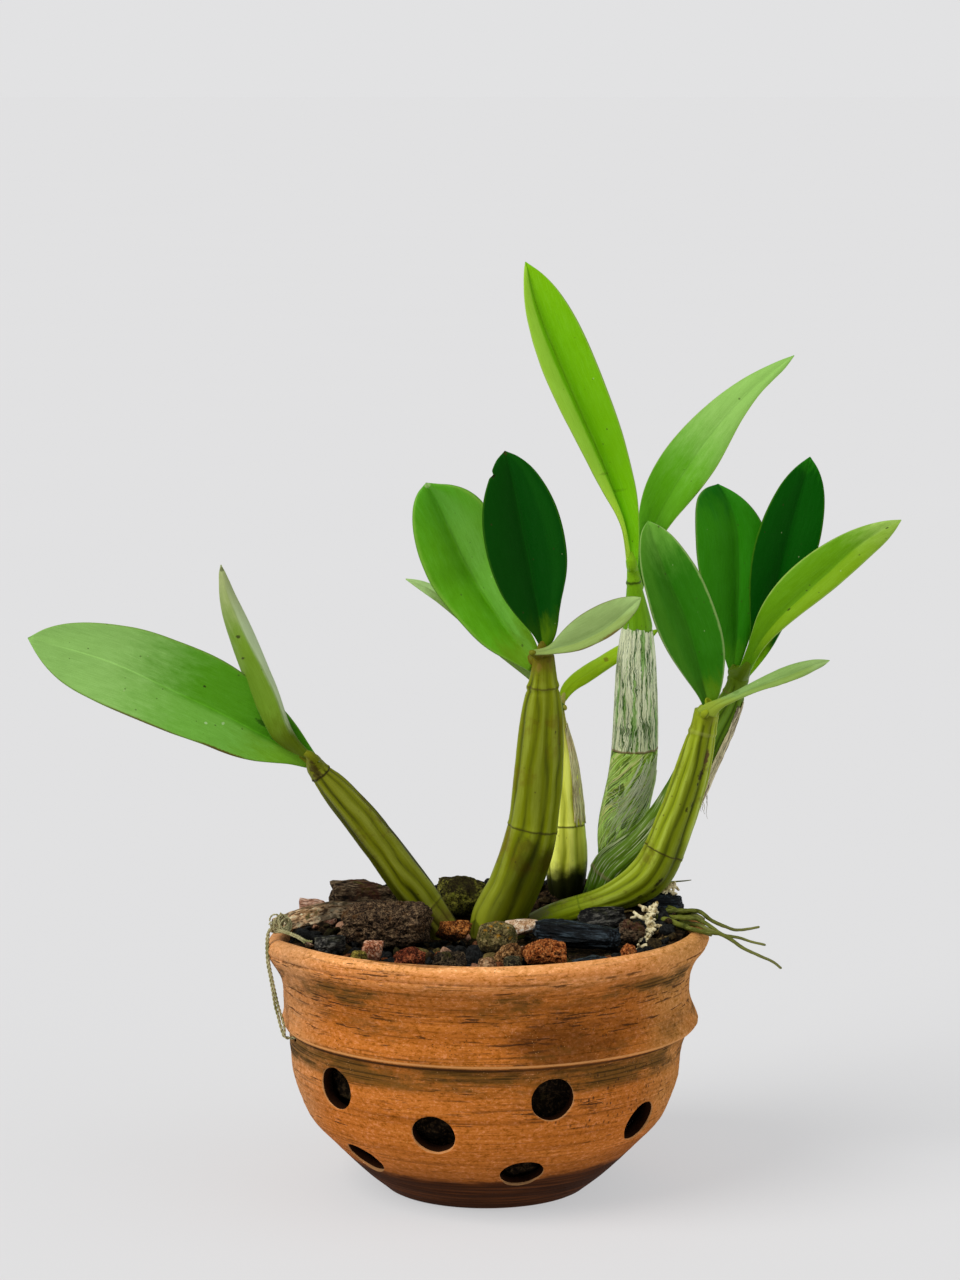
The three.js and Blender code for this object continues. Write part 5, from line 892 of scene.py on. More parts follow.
# -------------------------------------------------------------------- leaves
def leaf_material(name, main, side, tip, base, edge, seed, spots=(), gloss=0.36, tip_at=0.72,
                  split=0.0, vein=0.4, pale=None, speck=0.35, edge_w=0.035, mottle=0.3, edge_k=0.6, base_at=0.2, shine=0.16,
                  side_tip=None, side_base=None, leather=0.25, ribv=0.84):
    """main: left of the midrib; side: right of it. The halves differ partly in their own colour and partly by painted
    light and shade, the half facing the light lighter.
    """
    m = Mat(name, gloss, Specular_IOR_Level=shine, Specular_Tint=(0.55, 1.0, 0.35, 1.0))
    luv = m.attr("luv", True)
    u, v, f = m.xyz(luv)
    mm = m.attr("lmm", True)
    mu, mv, _ = m.xyz(mm)
    soft = m.noise(m.comb(m.math("MULTIPLY", mu, 0.05), m.math("MULTIPLY", mv, 0.11), seed), 1.0, 4, 0.6)
    warp = m.math("ADD", v, m.math("MULTIPLY", m.math("SUBTRACT", soft, 0.5), 0.25))
    on_side = m.step(warp, split - 0.1, split + 0.12)
    # partly painted light and shade: each half takes its own colour
    col = m.mix(on_side, main, side)
    mot = m.noise(m.comb(m.math("MULTIPLY", mu, 0.12), m.math("MULTIPLY", mv, 0.35), seed + 7.0), 1.0, 5, 0.62)
    ub = m.math("ADD", u, m.math("MULTIPLY", m.math("SUBTRACT", mot, 0.5), 0.22))
    tip = tip if side_tip is None else m.mix(on_side, tip, side_tip)
    base = base if side_base is None else m.mix(on_side, base, side_base)
    col = m.mix(m.step(ub, tip_at, min(1.0, tip_at + 0.35)), col, tip)
    col = m.mix(m.step(ub, base_at, base_at * 0.3), col, base)
    if pale is not None:
        # painted sheen: a broad pale band (colour, centre v, width, strength)
        pc, pv, pw, ps = pale
        band = m.step(m.math("ABSOLUTE", m.math("SUBTRACT", warp, pv)), pw, pw * 0.25)
        col = m.mix(m.math("MULTIPLY", band, ps), col, pc)
    col = m.mix(m.step(mot, 0.42, 0.75, 0.0, mottle), col, m.value(col, 1.22, 0.96))
    col = m.mix(m.step(mot, 0.5, 0.22, 0.0, mottle), col, m.value(col, 0.74, 1.03))
    fine = m.noise(m.comb(m.math("MULTIPLY", mu, 0.09), m.math("MULTIPLY", mv, 3.2), seed), 1.0, 3, 0.6)
    col = m.mix(m.step(fine, 0.45, 0.72, 0.0, vein), col, m.value(col, 1.22, 0.95))
    col = m.mix(m.step(fine, 0.5, 0.28, 0.0, vein), col, m.value(col, 0.8, 1.0))
    rib = m.step(m.math("ABSOLUTE", m.math("MULTIPLY", mv, 1.0)), 0.55, 0.1)
    col = m.mix(m.math("MULTIPLY", rib, m.step(u, 0.97, 0.8, 0.0, 0.7)), col, m.value(col, ribv, 1.0))
    skin = m.noise(m.scale(mm, 1.9), 1.0, 4, 0.75)
    col = m.mix(m.step(skin, 0.52, 0.7, 0.0, 0.35), col, m.value(col, 1.2, 0.97))
    col = m.mix(m.step(skin, 0.48, 0.3, 0.0, 0.4), col, m.value(col, 0.78, 1.02))
    ew = m.math("ADD", m.math("ABSOLUTE", v), m.math("MULTIPLY", m.math("SUBTRACT", m.noise(m.comb(m.math("MULTIPLY", mu, 0.3), v, seed), 1.0, 3), 0.5), edge_w))
    rim = m.step(ew, 1.0 - edge_w * 1.6, 1.0 - edge_w * 0.4)
    col = m.mix(m.math("MULTIPLY", rim, edge_k), col, edge)
    # scattered dark and pale flecks
    cv = m.comb(m.math("MULTIPLY", mu, 0.34), m.math("MULTIPLY", mv, 0.42), seed * 1.7)
    cd = m.cells(cv, 1.0)
    cc = m.cells(cv, 1.0, out="Color")
    r, g, b = m.xyz(cc)
    size = m.math("MULTIPLY", m.step(r, 0.62, 1.0), 0.17)
    fleck = m.math("MULTIPLY", m.math("LESS_THAN", cd, size), m.step(g, 0.55, 0.6))
    col = m.mix(m.math("MULTIPLY", fleck, speck * 1.6), col, lin(52, 44, 22))
    fleck2 = m.math("MULTIPLY", m.math("LESS_THAN", cd, m.math("MULTIPLY", size, 0.8)), m.step(g, 0.2, 0.15))
    col = m.mix(m.math("MULTIPLY", fleck2, speck), col, lin(190, 200, 150))
    for su, sv, w, h, tone, k in spots:
        du = m.math("DIVIDE", m.math("SUBTRACT", u, su), w)
        dv = m.math("DIVIDE", m.math("SUBTRACT", v, sv), h)
        dd = m.math("SQRT", m.math("ADD", m.math("MULTIPLY", du, du), m.math("MULTIPLY", dv, dv)))
        dd = m.math("ADD", dd, m.math("MULTIPLY", m.math("SUBTRACT", m.noise(m.scale(mm, 0.9), 1.0, 4, 0.7), 0.5), 1.6))
        col = m.mix(m.math("MULTIPLY", m.step(dd, 1.0, 0.55), k), col, tone)
    h = m.math("ADD", m.math("MULTIPLY", fine, 0.6), m.math("MULTIPLY", mot, 0.35))
    h = m.math("ADD", h, m.math("MULTIPLY", m.noise(m.scale(mm, 1.5), 1.0, 4, 0.6), leather))
    return m.end(col, m.step(mot, 0.3, 0.8, gloss + 0.1, gloss - 0.06), m.bump(h, 0.00035, 0.55))


def leaf(name, material, fold=0.0, wave=0.35, thick=1.15, seed=0, bulge=0.5, nicks=(), soft=0.7, curl=0.0):
    left, mid, right = [np.array(a, float) for a in LEAVES[name]]
    nu, nv = 104, 12
    cols = np.concatenate([mid, left, right], 1)
    cols = soften(cols, soft)
    # stations closer together towards the tip, where the outline turns
    by = 1 - (1 - np.linspace(0, 1, nu)) ** 1.25
    cols = spline(cols, nu, by)
    M, A, B = cols[:, :3], cols[:, 3:6], cols[:, 6:9]
    w = np.linalg.norm(A - M, axis=1) + np.linalg.norm(B - M, axis=1)
    t = np.gradient(M, axis=0)
    t /= np.linalg.norm(t, axis=1)[:, None]
    s = np.r_[0, np.cumsum(np.linalg.norm(np.diff(M, axis=0), axis=1))]
    u = s / s[-1]
    for side, u0, wd, depth in nicks:
        g = np.exp(-(((u - u0) / wd) ** 2))[:, None] * depth
        if side < 0:
            A = A + (M - A) * g
        else:
            B = B + (M - B) * g
    vs = np.sin(np.linspace(-1, 1, 2 * nv + 1) * np.pi / 2) * 0.55 + np.linspace(-1, 1, 2 * nv + 1) * 0.45
    nl = np.cross(M - A, t)
    nr = np.cross(B - M, t)
    for n in (nl, nr):
        n /= np.maximum(np.linalg.norm(n, axis=1), 1e-9)[:, None]
    nm = nl + nr
    nm /= np.linalg.norm(nm, axis=1)[:, None]
    pts, nor, vv = [], [], []
    for v in vs:
        k = abs(v)
        E, n = (A, nl) if v < 0 else (B, nr)
        blend_n = nm * (1 - smoothstep(0, 0.35, k)) + n * smoothstep(0, 0.35, k)
        blend_n /= np.linalg.norm(blend_n, axis=1)[:, None]
        p = M + (E - M) * k
        dome = bulge * w[:, None] * 0.1 * math.sin(math.pi * k) ** 0.9
        crease = -fold * math.exp(-((k / 0.07) ** 2)) * np.minimum(w * 0.08, 1.0)[:, None]
        p = p + blend_n * (dome + crease) * smoothstep(0.02, 0.2, u)[:, None]
        q = np.stack([u * 5, np.full(nu, v * 1.4), np.full(nu, seed * 2.1)], 1)
        p = p + blend_n * (wave * noise(q, 1.0, seed) + 0.12 * noise(q * 3.1, 1.0, seed + 5))[:, None] * (0.3 + 0.7 * k) * smoothstep(0, 0.15, u)[:, None]
        p = p + blend_n * (curl * k**3)
        pts.append(p)
        nor.append(blend_n)
        vv.append(v)
    pts, nor = np.stack(pts, 1), np.stack(nor, 1)
    across = np.stack([np.sqrt(np.clip(1 - abs(v) ** 5, 0, 1)) for v in vs])
    half = 0.5 * thick * across[None, :] * (0.45 + 0.55 * smoothstep(0, 0.02, 1 - u))[:, None]
    half = half * (1 + 0.7 * (1 - smoothstep(0, 0.1, u)))[:, None]
    half = half * np.minimum(1, w / 4.0)[:, None]
    top = pts + nor * half[..., None]
    bot = pts - nor * half[..., None]
    n_v = len(vs)
    ring = np.concatenate([top, bot[:, -2:0:-1]], 1)
    m = ring.shape[1]
    vr = np.r_[vs, vs[-2:0:-1]]
    side = np.r_[np.ones(n_v), -np.ones(n_v - 2)]
    verts = np.concatenate([ring.reshape(-1, 3), [M[0] - t[0] * 0.4], [M[-1] + t[-1] * 0.2]])
    U = np.repeat(u[:, None], m, 1)
    V = np.repeat(vr[None], nu, 0)
    S = np.repeat(side[None], nu, 0)
    mmv = V * (w / 2)[:, None]
    luv = np.stack([U, V, S], -1).reshape(-1, 3)
    lmm = np.stack([U * s[-1], mmv, S * 5 + seed * 3], -1).reshape(-1, 3)
    luv = np.concatenate([luv, [[0, 0, 1]], [[1, 0, 1]]])
    lmm = np.concatenate([lmm, [[0, 0, 1]], [[s[-1], 0, 1]]])
    quads = grid(nu, m, wrap_v=True, flip=True)
    tris = np.concatenate([fan(np.arange(m), nu * m), fan(np.arange(m) + (nu - 1) * m, nu * m + 1, flip=True)])
    o = make(name + "_blade", verts, [quads, tris], {"luv": luv, "lmm": lmm}, [material])
    bm = bmesh.new()
    bm.from_mesh(o.data)
    bmesh.ops.recalc_face_normals(bm, faces=bm.faces)
    bm.to_mesh(o.data)
    bm.free()
    return piece(o, "leaf", name)


DARK = lin(40, 30, 16)
leaf("leaf_1_left_broad", leaf_material(
    "leaf_1", lin(80, 146, 20), lin(111, 171, 60), lin(143, 190, 98), lin(60, 124, 4), lin(120, 150, 60), 1.0, side_base=lin(105, 156, 32),
    spots=((0.42, -0.35, 0.006, 0.03, DARK, 0.9), (0.36, 0.4, 0.006, 0.04, lin(180, 210, 150), 0.7),
           # the dark green patch at u 0.2, v -0.3 is a painted shadow of leaf_2 near the base
           (0.31, 0.22, 0.006, 0.05, lin(180, 210, 150), 0.6), (0.2, -0.3, 0.035, 0.08, lin(30, 60, 10), 0.7),
           (0.28, 0.97, 0.10, 0.045, lin(90, 60, 24), 0.85), (0.55, 0.98, 0.16, 0.03, lin(100, 80, 40), 0.7),
           (0.13, -0.05, 0.03, 0.05, DARK, 0.5)),
    gloss=0.45, tip_at=0.4, split=0.06, base_at=0.3, ribv=1.35), fold=0.1, seed=1, bulge=0.3)
leaf("leaf_2_left_upright", leaf_material(
    "leaf_2", lin(107, 139, 36), lin(182, 199, 152), lin(158, 169, 111), lin(81, 98, 4), lin(176, 188, 130), 2.0, side_base=lin(81, 98, 4),
    spots=((0.66, -0.3, 0.01, 0.12, DARK, 0.8), (0.56, -0.5, 0.006, 0.12, DARK, 0.8), (0.98, 0.0, 0.015, 0.8, DARK, 0.6)),
    gloss=0.45, tip_at=0.62, base_at=0.35), fold=0.2, seed=2)
leaf("leaf_3_middle_left", leaf_material(
    "leaf_3", lin(83, 152, 3), lin(98, 163, 39), lin(71, 143, 11), lin(92, 139, 3), lin(124, 172, 58), 3.0, edge_w=0.07, leather=0.6, mottle=0.5,
    pale=(lin(112, 170, 74), 0.35, 0.4, 0.25), gloss=0.36, shine=0.3, tip_at=0.62, base_at=0.25,
    spots=((0.99, 0.0, 0.02, 1.2, lin(150, 180, 110), 0.7), (0.09, 0.1, 0.01, 0.1, DARK, 0.6))), fold=0.0, bulge=0.55, seed=3)
leaf("leaf_4_middle_dark", leaf_material(
    "leaf_4", lin(2, 60, 2), lin(1, 64, 3), lin(4, 70, 3), lin(26, 68, 1), lin(52, 104, 12), 4.0, side_base=lin(71, 107, 3), mottle=0.22, vein=0.25,
    pale=(lin(16, 84, 8), 0.72, 0.22, 0.3), ribv=1.4, gloss=0.4, shine=0.1, tip_at=0.9, base_at=0.2,
    spots=((0.865, -0.93, 0.012, 0.07, lin(20, 12, 6), 0.95), (0.99, -0.1, 0.014, 0.8, lin(60, 44, 20), 0.8))),
    fold=0.04, bulge=0.3, nicks=((-1, 0.87, 0.012, 0.12),), seed=4)
leaf("leaf_5_middle_small", leaf_material(
    "leaf_5", lin(134, 158, 92), lin(138, 160, 84), lin(152, 180, 108), lin(132, 150, 78), lin(120, 110, 60), 5.0,
    spots=((0.62, 0.93, 0.1, 0.09, lin(112, 86, 40), 0.75), (0.4, 0.97, 0.1, 0.06, lin(112, 96, 50), 0.6)),
    gloss=0.45, split=0.2), fold=0.35, seed=5)
leaf("leaf_6_back_left", leaf_material(
    "leaf_6", lin(185, 214, 142), lin(122, 148, 70), lin(180, 212, 136), lin(96, 124, 40), lin(150, 170, 110), 6.0,
    gloss=0.45), fold=0.4, seed=6)
leaf("leaf_7_back_right", leaf_material(
    "leaf_7", lin(150, 188, 8), lin(150, 186, 10), lin(126, 168, 15), lin(152, 188, 12), lin(150, 168, 60), 7.0,
    spots=((0.52, -0.1, 0.03, 0.3, lin(110, 80, 20), 0.6),), gloss=0.45), fold=0.1, seed=7)
leaf("leaf_8_tall_left", leaf_material(
    "leaf_8", lin(154, 204, 54), lin(118, 186, 1), lin(148, 198, 46), lin(188, 232, 60), lin(168, 196, 90), 8.0, side_tip=lin(124, 188, 3), side_base=lin(132, 210, 3), base_at=0.38, mottle=0.2,
    spots=((0.30, -0.3, 0.006, 0.5, lin(90, 130, 20), 0.4), (0.24, 0.2, 0.006, 0.5, lin(80, 130, 10), 0.3)),
    gloss=0.4, split=-0.38), fold=0.15, seed=8, bulge=0.4)
leaf("leaf_9_tall_right", leaf_material(
    "leaf_9", lin(90, 163, 6), lin(98, 168, 22), lin(138, 184, 88), lin(64, 128, 9), lin(176, 214, 90), 9.0,
    gloss=0.42, tip_at=0.36, base_at=0.3, mottle=0.2), fold=0.2, seed=9, bulge=0.4)
leaf("leaf_10_right_rear", leaf_material(
    "leaf_10", lin(44, 120, 5), lin(37, 121, 1), lin(4, 84, 2), lin(66, 136, 8), lin(110, 150, 60), 10.0, side_tip=lin(40, 122, 14),
    gloss=0.4, tip_at=0.72), fold=0.05, seed=10, bulge=0.45)
leaf("leaf_11_right_dark", leaf_material(
    "leaf_11", lin(1, 70, 1), lin(2, 74, 1), lin(24, 104, 4), lin(114, 168, 5), lin(70, 120, 16), 11.0, mottle=0.22,
    spots=((0.2, 0.4, 0.16, 0.5, lin(84, 112, 10), 0.6),), gloss=0.4, shine=0.1, tip_at=0.9, ribv=1.3), fold=0.04, seed=11, bulge=0.3)
leaf("leaf_12_right_long", leaf_material(
    "leaf_12", lin(92, 143, 3), lin(116, 156, 15), lin(150, 182, 84), lin(92, 148, 3), lin(168, 196, 100), 12.0, side_tip=lin(134, 166, 62), edge_w=0.05,
    spots=((0.36, 0.1, 0.012, 0.1, DARK, 0.8), (0.93, 0.1, 0.01, 0.12, DARK, 0.8)), gloss=0.42, split=0.05, tip_at=0.7), fold=0.1, seed=12, bulge=0.4)
leaf("leaf_13_front_green", leaf_material(
    "leaf_13", lin(47, 108, 9), lin(41, 111, 5), lin(101, 158, 51), lin(49, 96, 9), lin(146, 176, 100), 13.0, side_base=lin(86, 131, 13), edge_w=0.05, edge_k=0.75,
    pale=(lin(64, 120, 20), -0.75, 0.3, 0.6), gloss=0.42, tip_at=0.66), fold=0.05, seed=13, bulge=0.3)
leaf("leaf_14_front_small", leaf_material(
    "leaf_14", lin(124, 156, 82), lin(126, 154, 72), lin(136, 164, 98), lin(139, 158, 47), lin(156, 178, 90), 14.0,
    spots=((0.3, -0.5, 0.03, 0.3, lin(80, 110, 40), 0.5),), gloss=0.45, base_at=0.3), fold=0.2, seed=14)


# --------------------------------------------------------------- pseudobulbs
def bulb_material(name, rib, furrow, low, high, seed, rings=(), silver=None, patches=(), gloss=0.42,
                  low_at=0.3, high_at=0.8, scar=0.4, marks=(), dark=None, painted_shade=(), band=()):
    m = Mat(name, gloss, Specular_IOR_Level=0.16, Specular_Tint=(0.9, 1.0, 0.45, 1.0))
    st = m.attr("bst", True)
    s, th, fur = m.xyz(st)
    mm = m.attr("bmm", True)
    a, b, _ = m.xyz(mm)
    p = m.shift(m.coord(), (seed * 0.37, 0.0, 0.0))
    wide = m.noise(p, 70, 4, 0.6)
    # long streaks: the second coordinate is stretched along the stem
    sv = m.comb(m.math("MULTIPLY", a, 0.05), m.math("MULTIPLY", b, 0.85), seed)
    streak = m.noise(sv, 1.0, 5, 0.62)
    hair = m.noise(m.comb(m.math("MULTIPLY", a, 0.16), m.math("MULTIPLY", b, 3.4), seed), 1.0, 4, 0.65)
    crest = m.math("ADD", fur, m.math("MULTIPLY", m.math("SUBTRACT", streak, 0.5), 0.5))
    # painted shade in the furrows and a painted highlight along the crests of the ribs
    col = m.mix(m.step(crest, -0.05, 0.75), furrow, rib)
    col = m.mix(m.step(crest, 0.72, 1.12, 0.0, 0.8), col, m.value(rib, 1.5, 0.9))
    sl = m.math("ADD", s, m.math("MULTIPLY", m.math("SUBTRACT", wide, 0.5), 0.2))
    # the low and high colours keep the painted furrow shade
    col = m.mix(m.step(sl, low_at, low_at * 0.25, 0.0, 0.8), col, m.mix(m.step(crest, 0.05, 0.75), m.value(low, 0.42, 1.0), low))
    col = m.mix(m.step(sl, high_at, 1.0, 0.0, 0.8), col, m.mix(m.step(crest, 0.05, 0.75), m.value(high, 0.5, 1.0), high))
    col = m.mix(m.step(streak, 0.52, 0.76, 0.0, 0.3), col, m.value(col, 1.35, 0.95))
    col = m.mix(m.step(streak, 0.46, 0.26, 0.0, 0.35), col, m.value(col, 0.6, 1.0))
    col = m.mix(m.step(hair, 0.5, 0.72, 0.0, 0.22), col, m.value(col, 1.3, 0.95))
    col = m.mix(m.step(hair, 0.46, 0.26, 0.0, 0.3), col, m.value(col, 0.66, 1.0))
    for tone, lo, hi, k, fr in patches:
        f = m.step(m.noise(m.shift(p, (0.1 * fr, 0.02 * fr, 0)), fr, 5, 0.66), lo, hi, 0.0, k)
        col = m.mix(f, col, tone)
    if silver is not None:
        tone, s0, s1, amount = silver
        fib = m.noise(m.comb(m.math("MULTIPLY", a, 0.05), m.math("ADD", m.math("MULTIPLY", b, 1.5), m.math("MULTIPLY", a, 0.1)), seed + 3.0), 1.0, 3, 0.6)
        zone = m.math("MULTIPLY", m.step(sl, s0 - 0.03, s0 + 0.03), m.step(sl, s1 + 0.03, s1 - 0.03))
        col = m.mix(m.math("MULTIPLY", m.math("MULTIPLY", zone, amount), m.step(fib, 0.53, 0.62)), col, tone)
    spot = m.cells(m.comb(m.math("MULTIPLY", a, 0.22), m.math("MULTIPLY", b, 0.3), seed), 1.0)
    sc = m.math("MULTIPLY", m.step(spot, 0.16, 0.05), m.step(m.noise(p, 120, 2), 0.5, 0.6, 0.0, scar * 1.6))
    col = m.mix(sc, col, lin(70, 48, 22))
    for ms, mt, ws, wt, tone, k in marks:
        du = m.math("DIVIDE", m.math("SUBTRACT", s, ms), ws)
        dv = m.math("DIVIDE", m.math("SUBTRACT", th, mt), wt)
        dd = m.math("SQRT", m.math("ADD", m.math("MULTIPLY", du, du), m.math("MULTIPLY", dv, dv)))
        dd = m.math("ADD", dd, m.math("MULTIPLY", m.math("SUBTRACT", m.noise(p, 520, 4, 0.7), 0.5), 2.2))
        col = m.mix(m.math("MULTIPLY", m.step(dd, 1.0, 0.5), k), col, tone)
    for t0, t1, s0, s1, k in painted_shade:
        # painted shade: flanks turned away from the light are darkened
        f = m.math("MULTIPLY", m.step(th, t0, t1), m.step(sl, s0, s1))
        col = m.mix(m.math("MULTIPLY", f, k), col, m.value(col, 0.32, 1.05))
    for t0, tw, s0, s1, k in band:
        # painted shade in the hollow between two strong ribs
        f = m.math("ADD", m.math("ABSOLUTE", m.math("SUBTRACT", th, t0)), m.math("MULTIPLY", m.math("SUBTRACT", streak, 0.5), 0.06))
        f = m.math("MULTIPLY", m.step(f, tw, tw * 0.45), m.step(sl, s0, s1))
        col = m.mix(m.math("MULTIPLY", f, k), col, m.value(col, 0.4, 1.08))
    # painted shade: near-black low on the stem, where it goes into the mix
    if dark is not None:
        col = m.mix(m.step(sl, dark[0], dark[0] * 0.6, 0.0, dark[1]), col, lin(8, 11, 3))
    hr = m.math("ADD", m.math("MULTIPLY", hair, 0.3), m.math("MULTIPLY", streak, 0.3))
    for rs, wide_r, tone, k in rings:
        d = m.math("ABSOLUTE", m.math("SUBTRACT", m.math("ADD", s, m.math("MULTIPLY", m.math("SUBTRACT", m.noise(p, 260, 3), 0.5), 0.012)), rs))
        ring = m.step(d, wide_r, wide_r * 0.3)
        col = m.mix(m.math("MULTIPLY", ring, k), col, tone)
    hr = m.math("ADD", hr, m.math("MULTIPLY", m.noise(p, 900, 3, 0.6), 0.2))
    return m.end(col, m.step(streak, 0.3, 0.8, gloss + 0.12, gloss - 0.04), m.bump(hr, 0.0004, 0.5))


def bulb(name, material, ribs=9, amp=0.1, seed=0, rings=(), twist=0.3, pinch=1.6, wrinkle=0.02, base=None,
         swell=(), shrink=(0, 0, 0.0), soft=0.6, sides=84, nu=150, rib_fade=(0.02, 0.98), lumps=(), tops=()):
    st = np.array(BULBS[name], float)
    if base is not None:
        st = np.concatenate([np.array(base, float), st])
    st = soften(st, soft)
    st = spline(st, nu)
    c, r = st[:, :3], np.maximum(st[:, 3], 0.35)
    length = np.linalg.norm(np.diff(c, axis=0), axis=1).sum()
    store = {}

    def shape(TH, S, c):
        n, m = TH.shape
        q = np.stack([np.cos(TH) * 1.3, np.sin(TH) * 1.3, S * 5.0 + seed * 3], -1).reshape(-1, 3)
        warp = fbm(q, 0.8, 2, 0.5, seed).reshape(n, m)
        phase = (TH + twist * S * 2 + 0.32 * warp) * ribs / 2
        ridge = np.abs(np.sin(phase))
        swell_ = 1 - ridge**2
        # each rib has its own strength along the stem
        q2 = np.stack([np.cos(TH) * 2.2, np.sin(TH) * 2.2, S * 3.0 + seed], -1).reshape(-1, 3)
        local = 0.72 + 0.5 * fbm(q2, 1.0, 2, 0.5, seed + 2).reshape(n, m)
        fade = smoothstep(0, rib_fade[0], S) * smoothstep(1.0, rib_fade[1], S)
        groove = 0.75 * swell_**1.3 + 0.25 * (1 - ridge) ** 3
        depth = amp * local * fade * groove
        q3 = np.stack([np.cos(TH) * 7, np.sin(TH) * 7, S * 9 + seed], -1).reshape(-1, 3)
        wr = wrinkle * fbm(q3, 1.0, 3, 0.6, seed + 4).reshape(n, m)
        k = 1 + amp * 0.18 - depth + wr
        add = np.zeros_like(k)
        for rs, wd, h in rings:
            e = S - rs - 0.004 * np.sin(TH + rs * 9) - 0.003 * warp
            add += h * np.exp(-((e / wd) ** 2))
            add -= h * 0.9 * np.exp(-(((e + wd * 1.1) / (wd * 0.55)) ** 2))
        for ls, lt, lw, lh in lumps:
            dt = (TH - lt + math.pi) % TAU - math.pi
            add += lh * np.exp(-((S - ls) / lw) ** 2 - (dt / 0.5) ** 2)
        s0, s1, cut = shrink
        if cut:
            add -= cut * smoothstep(s0 - 0.01, s0 + 0.01, S) * smoothstep(s1 + 0.01, s1 - 0.01, S)
        store["fur"] = np.clip(1 - groove * local * 1.05, 0, 1) * fade + (1 - fade) * 0.6
        return k, add

    v, q, t, th, s = tube(c, r, sides, shape, (0.3, 0.3))
    fur = np.r_[store["fur"].ravel(), 0.7, 0.7]
    rr = np.r_[np.repeat(r, sides), r[0], r[-1]]
    bst = np.stack([s, th / TAU, fur], 1)
    # arc length round the stem, folded so that the seam doesn't show
    mm = np.stack([s * length, np.sin(th) * 9.0, np.cos(th) * 9.0], 1)
    mm[:, 1] = (np.arctan2(np.sin(th + 1.57), np.cos(th + 1.57))) * 8.5
    keep = np.r_[np.ones(len(v), bool)]
    v[:, 2] = np.maximum(v[:, 2], MIX_LOW)
    parts = [(v, q, t, {"bst": bst, "bmm": mm}, 0)]
    # the sheathing bases of the leaves, which run down on to the stem
    for node, k, rt, wide in tops:
        mid = np.array(LEAVES[node][1], float)
        line = [c[-8], c[-1] - (c[-1] - c[-8]) * 0.2, mid[0], mid[0] + (mid[1] - mid[0]) * k]
        line = spline(np.array(line), 36)
        u = np.linspace(0, 1, 36)
        rad = np.interp(u, [0, 0.3, 0.75, 1.0], [r[-6] * 0.9, r[-1] * 1.04 * wide, rt, rt * 0.55])

        def wrap(TH, S, cc):
            q_ = np.stack([np.cos(TH) * 3, np.sin(TH) * 3, S * 2 + seed], -1).reshape(-1, 3)
            return 1 + 0.09 * fbm(q_, 1.0, 3, 0.6, seed).reshape(TH.shape), 0.0

        v2, q2, t2, th2, s2 = tube(line, rad, 32, wrap, (0.2, rt * 0.3))
        st2 = np.stack([0.955 + 0.04 * s2, th2 / TAU, np.full(len(s2), 0.7)], 1)
        m2 = np.stack([s2 * 14 + length, np.arctan2(np.sin(th2 + 1.57), np.cos(th2 + 1.57)) * 3.0, s2 * 0], 1)
        parts.append((v2, q2, t2, {"bst": st2, "bmm": m2}, 0))
    return join(name + "_flesh", parts, [material])


MIX_LOW = 109.0
GREY = lin(150, 150, 120)
NECK = lin(150, 146, 60)
b1 = bulb_material("bulb_1", lin(114, 120, 10), lin(40, 44, 2), lin(124, 120, 40), lin(108, 112, 12), 1.0,
                   rings=((0.16, 0.005, lin(96, 90, 40), 0.6), (0.955, 0.008, lin(44, 34, 10), 0.9)),
                   patches=((lin(84, 56, 22), 0.54, 0.68, 0.55, 60.0),), gloss=0.42, low_at=0.22,
                   marks=((0.97, 0.7, 0.02, 0.1, lin(60, 44, 18), 0.8),), painted_shade=((0.69, 0.6, 1.0, 0.8, 0.95),))
o = bulb("pseudobulb_1_left", b1, ribs=8, amp=0.17, seed=1, rings=((0.16, 0.006, 0.35), (0.955, 0.008, 0.4)), twist=0.1,
         tops=(("leaf_1_left_broad", 0.75, 2.6, 1.0), ("leaf_2_left_upright", 0.6, 2.6, 1.0)))
piece(o, "bulb", "pseudobulb_1_left")
b2 = bulb_material("bulb_2", lin(118, 128, 3), lin(74, 82, 0), lin(132, 140, 28), lin(106, 106, 26), 2.0,
                   rings=((0.40, 0.005, lin(60, 56, 20), 0.75), (0.893, 0.005, lin(70, 58, 24), 0.6)),
                   patches=((lin(104, 76, 4), 0.5, 0.66, 0.5, 44.0), (lin(50, 46, 6), 0.6, 0.72, 0.5, 90.0)), gloss=0.42, high_at=0.9,
                   marks=((0.965, 0.68, 0.02, 0.05, lin(150, 116, 60), 0.35), (0.75, 0.86, 0.008, 0.012, DARK, 0.8),
                          (0.97, 0.85, 0.03, 0.03, lin(104, 78, 34), 0.35)), dark=(0.04, 0.6), painted_shade=((0.64, 0.72, 0.41, 0.3, 0.95),), band=((0.74, 0.1, 0.4, 0.5, 0.35),))
o = bulb("pseudobulb_2_middle", b2, ribs=9, amp=0.105, seed=2, rings=((0.40, 0.007, 0.3), (0.895, 0.012, 0.5)), twist=-0.1,
         rib_fade=(0.02, 0.9),
         tops=(("leaf_3_middle_left", 0.6, 2.4, 0.85), ("leaf_4_middle_dark", 0.6, 2.6, 1.0), ("leaf_5_middle_small", 0.5, 1.8, 0.9),
               ))
piece(o, "bulb", "pseudobulb_2_middle")
b3 = bulb_material("bulb_3", lin(228, 234, 88), lin(150, 158, 26), lin(90, 104, 6), lin(158, 150, 66), 3.0,
                   rings=((0.42, 0.007, lin(90, 90, 40), 0.8),), patches=((lin(190, 186, 112), 0.58, 0.7, 0.5, 50.0),), gloss=0.45,
                   low_at=0.24, high_at=0.66, dark=(0.25, 0.97))
